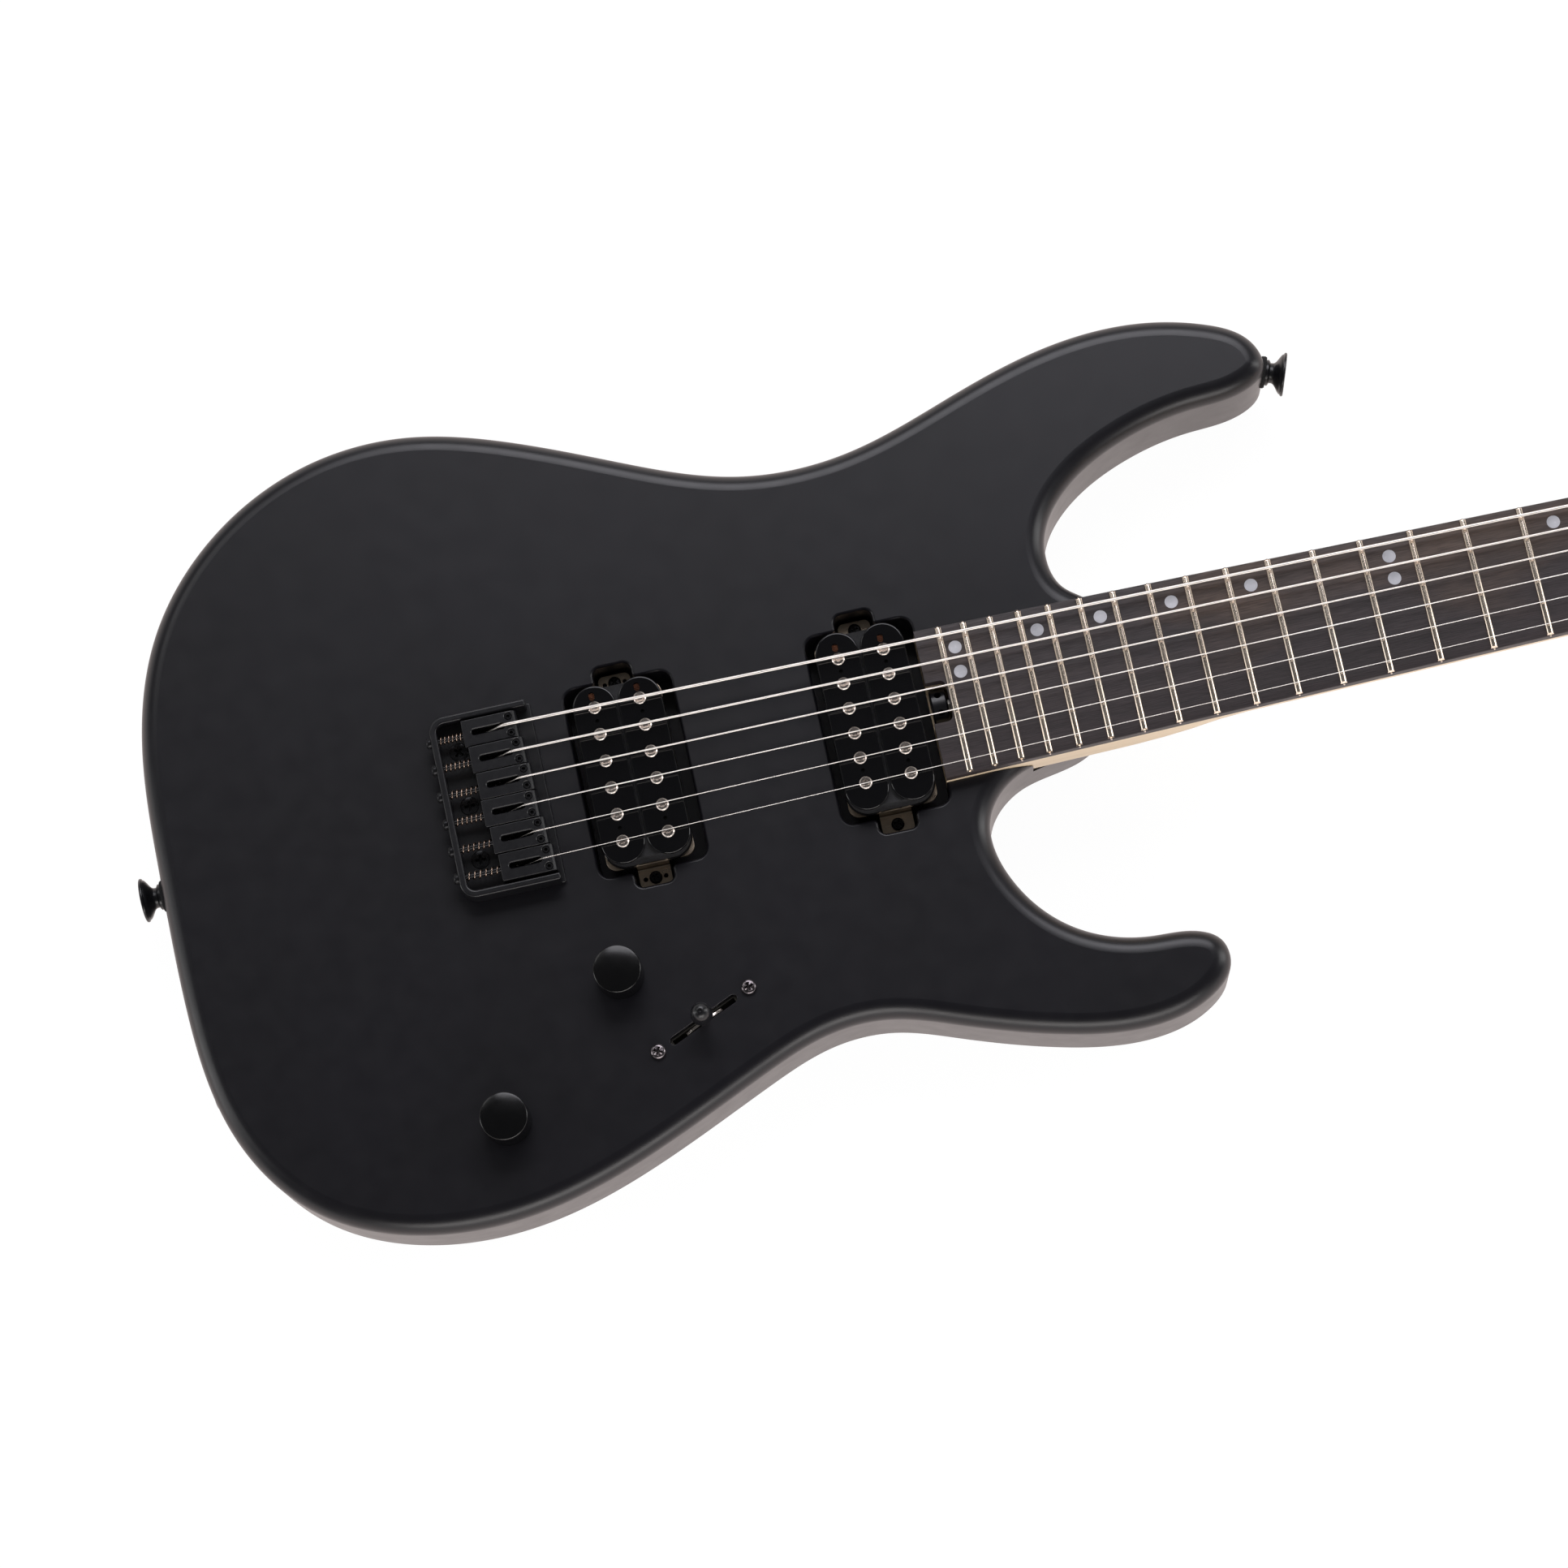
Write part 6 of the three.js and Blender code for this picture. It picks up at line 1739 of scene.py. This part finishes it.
def make_base(x, side_holes):
    """The stamped base: a plate, two bent legs and their tabs, cut from one strip."""
    half_x, half_y = BOBBIN_RADIUS + COIL_SPACING / 2, BOBBIN_REACH + BOBBIN_RADIUS - 0.3
    low, tab = BASE_TOP - BASE_THICKNESS, BASE_TOP - BASE_THICKNESS - LEG_DROP
    outline = rectangle(x - half_x, x + half_x, -half_y, half_y, 4)
    plate = prism(outline, pill_levels(low, BASE_TOP, 0.25, 2))
    thick = BASE_THICKNESS
    strip = [(half_y - 6, low, 0), (half_y - thick, low, 0.3), (half_y - thick, tab, thick + 0.6),
             (TAB_END, tab, 0), (TAB_END, tab + thick, 0), (half_y, tab + thick, 0.6),
             (half_y, BASE_TOP, thick + 0.3), (half_y - 6, BASE_TOP, 0)]
    shapes = []
    for side in (1, -1):
        leg = prism(rounded_polygon(strip, 6), [(-TAB_HALF, 0), (TAB_HALF, 0)])
        stand = Matrix(((0, 0, 1), (side, 0, 0), (0, 1, 0)))
        moved(leg, (x, 0, 0), stand)
        bmesh.ops.recalc_face_normals(leg, faces=leg.faces)
        trim_y = sorted((side * (half_y - 7), side * TAB_END))
        plan = prism(rectangle(x - TAB_HALF, x + TAB_HALF, *trim_y, 2.2),
                     [(tab - 1, 0), (BASE_TOP + 1, 0)])
        screw_y = side * TAB_SCREW_AT
        bores = [hole(x, screw_y, 1.5, tab - 1, tab + thick + 1, 20)]
        bores += [hole(x + aside, screw_y, 0.9, tab - 1, tab + thick + 1, 16) for aside in side_holes]
        shapes.append(boolean(boolean(leg, [plan], "INTERSECT"), [joined(*bores)]))
    return boolean(plate, shapes, "UNION")


print("base top at", round(BASE_TOP, 2), "mm")

# %% [markdown]
# Each pickup has two bobbins, twelve poles, the turns of wire that show in a small window
# of each bobbin, a wrap of tape, its base and two height screws.

# %% Both pickups
PICKUPS = {"bridge": (BRIDGE_PICKUP_X, 10.5, (-3.9, 3.9)), "neck": (NECK_PICKUP_X, 9.75, ())}
BASE_SEAT = BASE_TOP - BASE_THICKNESS - LEG_DROP
POLE_ABOVE = 0.5
POLE_CHAMFER = 0.42
pole_profile = [(POLE_RADIUS, -2.0), (POLE_RADIUS, POLE_ABOVE - POLE_CHAMFER),
                (POLE_RADIUS - POLE_CHAMFER, POLE_ABOVE)]
POLE = screw_head(pole_profile, hexagon(1.25), HEX_ANGLES, 1.1)
TAB_SCREW = cross_head(2.5, -1.2, 0.4, 1.6, 1.1)

for name, (middle, pitch, side_holes) in PICKUPS.items():
    for end, side in (("rear", -1), ("front", 1)):
        node = f"{name}_pickup_{end}_bobbin"
        x = middle + side * COIL_SPACING / 2
        solid, bores = make_bobbin(x, pitch)
        moulded = boolean(solid, [joined(*bores)])
        piece(f"{name}_{end}_bobbin_moulded", moulded, "guitar", BOBBIN, [node], sharp=30)
        places = [(x, y, BOBBIN_TOP) for y in pole_places(pitch)]
        screws = row(POLE, places, turn=60, seed=len(node), material=NICKEL)
        piece(f"{name}_{end}_pole_screws", screws, "guitar", NICKEL, sharp=30)
        turns = [places[0][1] + 3.1 + 0.5 * i for i in range(6)]
        wires = [tube([(from_x, y, BOBBIN_TOP - 0.75) for from_x in (x - 1.4, x + 0.8)], 0.27) for y in turns]
        piece(f"{name}_{end}_wire_end", joined(*wires), "guitar", COPPER)
    tape_x, tape_y = COIL_SPACING / 2 + BOBBIN_RADIUS - 0.4, BOBBIN_REACH + BOBBIN_RADIUS - 0.4
    tape = rectangle(middle - tape_x, middle + tape_x, -tape_y, tape_y, BOBBIN_RADIUS - 0.4, 12)
    wound = prism(tape, [(BOBBIN_LOW.z + 1.7, 0.3), (BOBBIN_LOW.z + 2.6, 0), (BOBBIN_TOP - 3.4, 0.25),
                         (BOBBIN_TOP - 2.1, 0.9)])
    piece(f"{name}_coil_tape", wound, "guitar", CLOTH_TAPE)
    piece(f"{name}_base_stamped", make_base(middle, side_holes), "guitar", BRONZE,
          [f"{name}_pickup_baseplate"], sharp=40)
    tabs = [(middle, side * TAB_SCREW_AT, BASE_SEAT + BASE_THICKNESS) for side in (-1, 1)]
    screws = joined(row(TAB_SCREW, tabs, turn=90, seed=len(name)),
                    *[tube([(x, y, ROUT_FLOOR + 0.3), (x, y, z + 0.2)], 1.3) for x, y, z in tabs])
    piece(f"{name}_height_screws", screws, "guitar", SCREW_BLACK, sharp=40)

# %% [markdown]
# ## Controls
# Two domed metal knobs, and a selector blade in a slot that slants across the body, held
# by two cross-head screws. Knob and tip turn and swing, so each rides on its own body.
# The pots, the selector's frame and the truss rod stay as built, under plated finishes.

# %% Knobs
KNOB_LOW, KNOB_HIGH = box_mm("volume_knob")
KNOB_RADIUS = 9
KNOB_EDGE = 0.6
KNOB_DOME = 0.85
KNOB_WALL = 1.6
SHAFT_RADIUS = 3
KNOB_TOP = KNOB_HIGH.z
KNOB_FOOT = BODY_TOP + 0.6
KNOB_INSIDE = BODY_TOP + 6


def make_knob():
    """A hollow turned knob with its shaft: a straight side, a tight rim and a low dome."""
    edge, rim_z = KNOB_EDGE, KNOB_TOP - 0.95 - KNOB_EDGE
    rim = [(KNOB_RADIUS - edge + edge * math.cos(a), rim_z + edge * math.sin(a))
           for a in [math.radians(angle) for angle in (0, 15, 30, 45, 60, 75)]]
    top = [(radius, KNOB_TOP - KNOB_DOME * (radius / 8) ** 2) for radius in (8, 7.4, 6.6, 5.6, 4, 2, 0)]
    inside = KNOB_RADIUS - KNOB_WALL
    profile = [(0, KNOB_LOW.z), (SHAFT_RADIUS, KNOB_LOW.z), (SHAFT_RADIUS, KNOB_INSIDE),
               (inside, KNOB_INSIDE), (inside, KNOB_FOOT + 0.3), (inside + 0.3, KNOB_FOOT),
               (KNOB_RADIUS, KNOB_FOOT), (KNOB_RADIUS + 0.15, KNOB_FOOT + 0.3)]
    return turned([*profile, *rim, *top], 72)


for name in ("volume_knob", "tone_knob"):
    x, y, _ = middle_mm(name)
    knob = moved(make_knob(), (x, y, 0))
    piece(name + "_turned", knob, name, KNOB_METAL, [name], sharp=35)

# %% [markdown]
# The selector's blade ends in a moulded cap. Under the slot a plated strip, bent to an arc
# about the lever's pivot, shows round the blade and swings with it.

# %% Selector and its screws
TIP_TOP = box_mm("switch_tip")[1].z
TIP_RADIUS = 3.7
QUADRANT_OUTER = 16
QUADRANT_INNER = 12.5
QUADRANT_HALF = 0.65
PIVOT_BELOW = 19


def make_tip():
    """A moulded cap on the blade, domed, with the small dimple that its mould leaves."""
    skirt = box_mm("switch_tip")[0].z
    centre = TIP_TOP - TIP_RADIUS
    arc = [math.radians(angle) for angle in range(0, 71, 10)]
    cap = [(TIP_RADIUS * math.cos(a), centre + TIP_RADIUS * math.sin(a)) for a in arc]
    profile = [(0, skirt + 0.01), (TIP_RADIUS + 0.2, skirt), (TIP_RADIUS + 0.5, skirt + 0.5), *cap,
               (0.9, TIP_TOP - 0.14), (0.55, TIP_TOP - 0.6), (0, TIP_TOP - 0.7)]
    return moved(turned(profile, 40), (*SWITCH_AT, 0))


piece("switch_tip_moulded", make_tip(), "switch_lever", HARDWARE, ["switch_tip"])
PAN_HEAD = cross_head(2.9, 0.05, 0.8, 1.9, 1.3, 0.45)
ends = [(*end, BODY_TOP) for end in switch_ends(SWITCH_SCREW_SPAN)]
piece("selector_screws", row(PAN_HEAD, ends, turn=90, seed=4), "guitar", DARK_NICKEL)


def make_quadrant():
    """A strip of metal bent to an arc of sixty degrees about the lever's pivot."""
    arc = [math.radians(angle) for angle in range(60, 121, 4)]
    sides = ((QUADRANT_INNER, arc[::-1]), (QUADRANT_OUTER, arc))
    ring = [(radius * math.cos(a), radius * math.sin(a)) for radius, angles in sides for a in angles]
    strip = prism(ring, pill_levels(-QUADRANT_HALF, QUADRANT_HALF, 0.25, 3))
    pivot = (*SWITCH_AT, BODY_TOP - PIVOT_BELOW)
    return moved(moved(strip, turn=UPRIGHT), pivot, Matrix.Rotation(SWITCH_TURN, 3, "Z"))


piece("selector_quadrant_plated", make_quadrant(), "switch_lever", NICKEL, sharp=30)

# %% [markdown]
# The solids that stay as built only need a finish. They lie under the top, where little of
# them shows.

# %% Plated solids
PLATED = ["volume_pot", "tone_pot", "switch_frame", "switch_lever", "truss_rod"]
for node in PLATED:
    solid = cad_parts[node]
    solid.data.materials.clear()
    solid.data.materials.append(ZINC)
print("plated", PLATED)

# %% [markdown]
# ## Strap buttons, jack and the truss rod's wheel
# All of these are turned. A strap button stands on a felt washer with its flare outward. The
# jack is a barrel let into the side, with a socket in its face. The wheel has six spoke holes.

# %% Strap buttons and their felt
FELT_ROOM = 2.7
NECK_OF_BUTTON = 3.9


def make_button():
    """A screw, a foot on the felt, a flared neck and a rim, with the screw's head sunk in."""
    flare = [(NECK_OF_BUTTON * (1 + smooth(i / 8) ** 1.3), FELT_ROOM + 2.2 + 3.9 * i / 8) for i in range(9)]
    profile = [(0, -22), (2.2, -19), (2.2, 0.1), (4.4, FELT_ROOM - 0.1), (5, FELT_ROOM),
               (5, FELT_ROOM + 0.8), (4.5, FELT_ROOM + 1.2), (NECK_OF_BUTTON, FELT_ROOM + 1.5), *flare,
               (8.35, FELT_ROOM + 6.4), (8.5, FELT_ROOM + 6.8), (8.4, FELT_ROOM + 7.2),
               (8.0, FELT_ROOM + 7.4), (4.2, FELT_ROOM + 7.3), (3.6, FELT_ROOM + 6.4),
               (0, FELT_ROOM + 6.4)]
    head = moved(cross_head(3.3, -0.4, 0.3, 1.0, 0.8), (0, 0, FELT_ROOM + 6.4))
    return joined(turned(profile, 48), head)


def make_washer():
    outer, inner, high = 6.2, 2.5, FELT_ROOM - 0.1
    loop = [(outer - 0.4, 0.15), (outer, 0.7), (outer, high - 0.6), (outer - 0.4, high), (inner, high),
            (inner, 0.15)]
    return turned(loop, 48, closed=True)


END_LOW, END_HIGH = box_mm("strap_button_end")
HORN_HIGH = box_mm("strap_button_horn")[1]
HORN_TURN = math.radians(-19.6)
BUTTON_REACH = FELT_ROOM + 7.4
END_FACE = (END_LOW.x + BUTTON_REACH, (END_LOW.y + END_HIGH.y) / 2, EDGE_MIDDLE)
HORN_AXIS = Vector((math.cos(HORN_TURN), math.sin(HORN_TURN), 0))
HORN_FACE = Vector((HORN_HIGH.x, HORN_HIGH.y, EDGE_MIDDLE)) - HORN_AXIS * BUTTON_REACH
HORN_FACE -= Vector((-math.sin(HORN_TURN), math.cos(HORN_TURN), 0)) * 8.5
for name, face, axis in (("end", END_FACE, (-1, 0, 0)), ("horn", HORN_FACE, HORN_AXIS)):
    button = moved(make_button(), face, along(axis))
    node = f"strap_button_{name}"
    piece(node + "_turned", button, "guitar", HARDWARE, [node])
    piece(f"felt_washer_{name}", moved(make_washer(), face, along(axis)), "guitar", FELT)

# %% [markdown]
# The jack's face has one ring groove and a chamfered socket, and its barrel steps down to a
# thinner end inside the body.

# %% Output jack


def make_jack():
    length, radius, socket = JACK_HIGH.x - JACK_LOW.x, 9.5, 3.3
    step = length - 6
    loop = [(radius - 0.4, 0), (radius, 0.4), (radius, step), (4, step), (4, length), (0, length)]
    face = [(6.5, 0), (6.3, 1.0), (5.7, 1.0), (5.5, 0), (socket + 0.5, 0), (socket, 0.5), (socket, 28),
            (0, 28)]
    return turned([*reversed(loop), *face], 64)


jack_face = (JACK_LOW.x, JACK_Y, EDGE_MIDDLE)
piece("output_jack_turned", moved(make_jack(), jack_face, along((1, 0, 0))), "guitar",
      HARDWARE, ["output_jack"])

# %% [markdown]
# The wheel is a short cylinder with broken edges. Three bores through it make six holes for
# the rod that turns it.

# %% Truss rod wheel


def make_wheel():
    thick = WHEEL_HIGH.x - WHEEL_LOW.x
    radius = WHEEL_RADIUS
    rim = turned([(0, 0), (radius - 0.5, 0), (radius, 0.5), (radius, thick - 0.5), (radius - 0.5, thick),
                  (0, thick)], 48)
    spokes = [moved(hole(0, 0, 1.35, -9, 9, 20), (0, 0, thick / 2), along((math.cos(a), math.sin(a), 0)))
              for a in (math.radians(angle) for angle in (30, 90, 150))]
    wheel = boolean(rim, [boolean(spokes[0], spokes[1:], "UNION")])
    return moved(wheel, (WHEEL_LOW.x, 0, ROD_AXIS_Z), along((1, 0, 0)))


piece("truss_rod_wheel_turned", make_wheel(), "truss_rod_wheel", HARDWARE,
      ["truss_rod_wheel"])

# %% [markdown]
# ## The back of the body
# A moulded cover lies flush over the control cavity. Four screws in ferrules hold the neck,
# and six ferrules take the strings' ball ends. Rows of points carry the screws and
# ferrules, tilted over so that they face out of the back.

# %% Cover and its screws
COVER_LOW, COVER_HIGH = box_mm("control_cover")
OVER = (180, 0, 0)
COVER_SCREW_SIDE = 19.3
COVER_SCREW_END = 36.05


def cover_screws():
    """Five places on the ledge round the cavity."""
    volume, tone, switch = Vector(VOLUME_AT), Vector(TONE_AT), Vector(SWITCH_AT)
    out = (tone - volume).normalized()
    side = Vector((-out.y, out.x))
    if side.dot(switch - (volume + tone) / 2) > 0:
        side = -side
    slant = Vector((math.cos(SWITCH_TURN), math.sin(SWITCH_TURN)))
    corner = out.lerp(-side, 0.5).normalized()
    places = [tone + out * COVER_SCREW_SIDE, volume - corner * COVER_SCREW_SIDE,
              (volume + tone) / 2 + side * COVER_SCREW_SIDE,
              switch + slant * COVER_SCREW_END, switch - slant * COVER_SCREW_END]
    return [(*place, 0.1) for place in places]


def make_cover():
    shape = control_plan(COVER_LEDGE - 0.3, COVER_LOW.z, COVER_HIGH.z)
    sink_levels = [(-1, 1.6 - 2.9), (COVER_LOW.z, 1.6 - 2.9), (COVER_LOW.z + 1.5, 0), (4, 0)]
    sinks = [prism(circle(x, y, 1.6, 24), sink_levels) for x, y, _ in cover_screws()]
    return boolean(shape, [joined(*sinks)])


piece("control_cover_moulded", make_cover(), "guitar", COVER_PLASTIC,
      ["control_cover"], bevel=0.35)
head_profile = [(1.4, -3), (1.5, -1.5), (2.7, -0.15), (2.4, 0.0)]
COVER_SCREW = screw_head(head_profile, cross(1.6, 0.4), cross_angles(1.6, 0.4), 1.2, 0.6)
screws = row(COVER_SCREW, cover_screws(), OVER, 90, seed=12)
piece("control_cover_screws", screws, "guitar", SCREW_BLACK, sharp=40)

# %% [markdown]
# Ferrules are turned tubes with a broken lip, pressed into the back. The ball end of each
# string is a small grooved bead, and sits on the step inside its ferrule.

# %% String ferrules and ball ends
OUTER = FERRULE_RADIUS - 0.1
FERRULE = turned([(3.6, 0), (OUTER, -0.3), (OUTER, -9.8), (1.9, -9.8), (1.9, -5.4), (2.6, -5.2),
                  (2.6, -0.5), (3.0, 0)], 40, closed=True)
BALL_END = turned([(0.9, -1.6), (1.9, -1.6), (2.1, -1.2), (1.6, 0), (2.1, 1.2), (1.9, 1.6),
                   (0.9, 1.6)], 24, closed=True)
backs = [(*string_hole(i), 0.1) for i in range(STRINGS)]
piece("string_ferrules", row(FERRULE, backs, OVER), "guitar", HARDWARE, sharp=40)
balls = [(x, y, FERRULE_DEPTH - 6.4) for x, y, _ in backs]
piece("string_ball_ends", row(BALL_END, balls, (90, 0, 0), 90, seed=2), "guitar", PEARL)

# %% [markdown]
# The neck screws' cups are countersunk inside, and each domed head sits in its cup with a
# long shank behind it.

# %% Neck screws and their ferrules
NECK_SCREW_FERRULE = turned([(3.9, 0.2), (5.2, -0.1), (5.2, -3.9), (2.5, -3.9), (2.5, -3.0),
                             (3.9, -1.4)], 48, closed=True)
shank = turned([(0, -41.4), (2.3, -38), (2.3, -2.5), (0, -2.5)], 20)
NECK_SCREW = joined(cross_head(3.8, -2.6, -1.6, -0.1, 1.9), shank)
places = [(x, y, 0.3) for x, y in NECK_SCREWS]
ferrules = row(NECK_SCREW_FERRULE, places, OVER)
piece("neck_screw_ferrules", ferrules, "guitar", HARDWARE)
nodes = [f"neck_screw_{i + 1}" for i in range(4)]
screws = row(NECK_SCREW, places, OVER, 90, seed=8)
piece("neck_screws", screws, "guitar", SCREW_BLACK, nodes)

# %% [markdown]
# ## Tuners and string trees
# A tuner is a cast housing behind the headstock, a post through a threaded bushing with a
# hexagonal nut, and a worm shaft with an oval button. Key and post turn on their own
# bodies. All six are the same, set along the slanted row.

# %% Housing, bushing and post
HOUSING_DEPTH = 11
HOUSING_OUT = 9
WORM_ASIDE = -6.4
GEAR_Z = -6
NUT_SEAT = HEAD_TOP - HEAD_BACK + 0.1


def hexagon_plan(radius):
    return [(radius * math.cos(TURN * i / 6), radius * math.sin(TURN * i / 6)) for i in range(6)]


def make_housing():
    """A cast case with a collar for the shaft, bored for the shaft and the post."""
    outline = rectangle(WORM_ASIDE - 4, 6.4, -7.5, HOUSING_OUT, 3, 8)
    shell = prism(outline, pill_levels(-HOUSING_DEPTH, -0.1, 1.3, 5))
    sideways = along((0, 1, 0))
    ring = prism(circle(0, 0, 3.9), rounded_levels(0, 1.8, 0.5))
    collar = moved(ring, (WORM_ASIDE, HOUSING_OUT - 0.4, GEAR_Z), sideways)
    shaft_bore = moved(hole(0, 0, 2.3, -16, 6, 24), (WORM_ASIDE, HOUSING_OUT, GEAR_Z), sideways)
    post_bore = hole(0, 0, 4.6, GEAR_Z - 2, 2, 32)
    return boolean(boolean(shell, [collar], "UNION"), [shaft_bore, post_bore])


def make_bushing():
    """A washer, a hexagonal nut and the threaded tube that the post turns in."""
    nut = prism(hexagon_plan(6.4), [(NUT_SEAT, 0.3), (NUT_SEAT + 0.3, 0), (NUT_SEAT + 1.8, 0),
                                    (NUT_SEAT + 2.2, 0.5)])
    washer = prism(circle(0, 0, 7, 48), rounded_levels(NUT_SEAT - 0.05, NUT_SEAT + 0.6, 0.25, 3))
    tube_wall = prism(circle(0, 0, 4.5, 40), rounded_levels(-0.3, NUT_SEAT + 2.8, 0.4, 3))
    return boolean(boolean(washer, [nut, tube_wall], "UNION"), [hole(0, 0, 3.2, -2, NUT_SEAT + 4)])


def make_post():
    """A gear inside the case, and a waisted post with a string hole and a dished top."""
    waist = POST_WAIST_Z - HEAD_BACK
    arc = [(2.5 + 0.5 * (abs(i - 5) / 5) ** 2, waist - 3.6 + 5.2 * i / 10) for i in range(11)]
    profile = [(0, GEAR_Z - 1.6), (4.2, GEAR_Z - 1.6), (4.2, GEAR_Z + 1.6), (3, GEAR_Z + 1.6),
               (3, waist - 4.2), *arc, (3.2, waist + 2.2), (3.2, waist + 3.0), (2.8, waist + 3.4),
               (1.0, waist + 3.4), (0.8, waist + 2.4), (0, waist + 2.4)]
    string_bore = moved(hole(0, 0, 0.8, -5, 5, 16), (0, 0, waist + 0.4), along((1, 0, 0)))
    return boolean(turned(profile, 40), [string_bore])


print("a tuner's nut stands", round(NUT_SEAT, 2), "mm above the back of the headstock")

# %% [markdown]
# The key's button is turned and then flattened to half its width, which gives the oval of
# a cast button. The six tuners follow the row from the bass side, and the two string trees
# are bars on posts, each with a small screw.

# %% Keys, six tuners and two string trees


def make_key():
    """The worm shaft along +Z with its collar, and an oval button flattened to half."""
    start = HOUSING_OUT + 3
    shaft = turned([(0, -5), (2, -5), (2, HOUSING_OUT + 1.2), (1.6, HOUSING_OUT + 1.4), (1.6, start + 2),
                    (0, start + 2)], 24)
    curve = [(2.4, 0), (2.9, 0.6), (3.1, 1.6), (4.6, 3), (6.6, 4.6), (7.8, 6.6), (8.2, 8.8), (7.9, 11),
             (7, 13), (5.4, 14.3), (3.2, 14.9), (0, 15)]
    button = turned([(0, 0), *curve], 40)
    button.transform(Matrix.Diagonal((1, 0.5, 1, 1)))
    return joined(shaft, moved(button, (0, 0, start)))


ROW_MATRIX = Matrix.Rotation(ROW_TURN, 3, "Z")
for index, (x, y) in enumerate(POST_AT):
    number = index + 1
    at = (x, y, HEAD_BACK)
    case = moved(joined(make_housing(), make_bushing()), at, ROW_MATRIX)
    piece(f"tuner_housing_{number}_cast", case, "guitar", HARDWARE,
          [f"tuner_housing_{number}"], sharp=40)
    piece(f"tuner_post_{number}_turned", moved(make_post(), at, ROW_MATRIX), f"tuner_post_{number}",
          HARDWARE, [f"tuner_post_{number}"])
    lying = moved(moved(make_key(), turn=Matrix.Rotation(-math.pi / 2, 3, "X")), (WORM_ASIDE, 0, GEAR_Z))
    piece(f"tuner_key_{number}_cast", moved(lying, at, ROW_MATRIX), f"tuner_key_{number}",
          HARDWARE, [f"tuner_key_{number}"])

for pair in (1, 2):
    low, high = box_mm(f"string_tree_{pair}")
    x, y, _ = middle_mm(f"string_tree_{pair}")
    half = (high.y - low.y) / 2 - 2
    bar = prism(capsule((x, y - half), (x, y + half), 2.0, 32), pill_levels(high.z - 1.6, high.z, 0.5, 4))
    profile = [(0, low.z), (1.6, low.z), (1.6, HEAD_TOP), (2.6, HEAD_TOP + 0.1), (2.3, HEAD_TOP + 0.8),
               (2.1, high.z - 1.3), (0, high.z - 1.3)]
    post = moved(turned(profile, 32), (x, y, 0))
    cap = moved(cross_head(1.9, -0.3, 0.1, 0.5, 0.5), (x, y, high.z - 0.5))
    tree = joined(boolean(bar, [post], "UNION"), cap)
    piece(f"string_tree_{pair}_stamped", tree, "guitar", HARDWARE,
          [f"string_tree_{pair}"])

# %% [markdown]
# ## Sizes
# Both boxes, of the construction and of the looks, are printed side by side. The looks
# may not outgrow the construction.

# %% Sizes and finish
visual_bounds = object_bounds()
sizes = {"cad": [list(corner) for corner in cad_bounds], "visual": [list(corner) for corner in visual_bounds]}
print("cad", sizes["cad"])
print("visual", sizes["visual"])
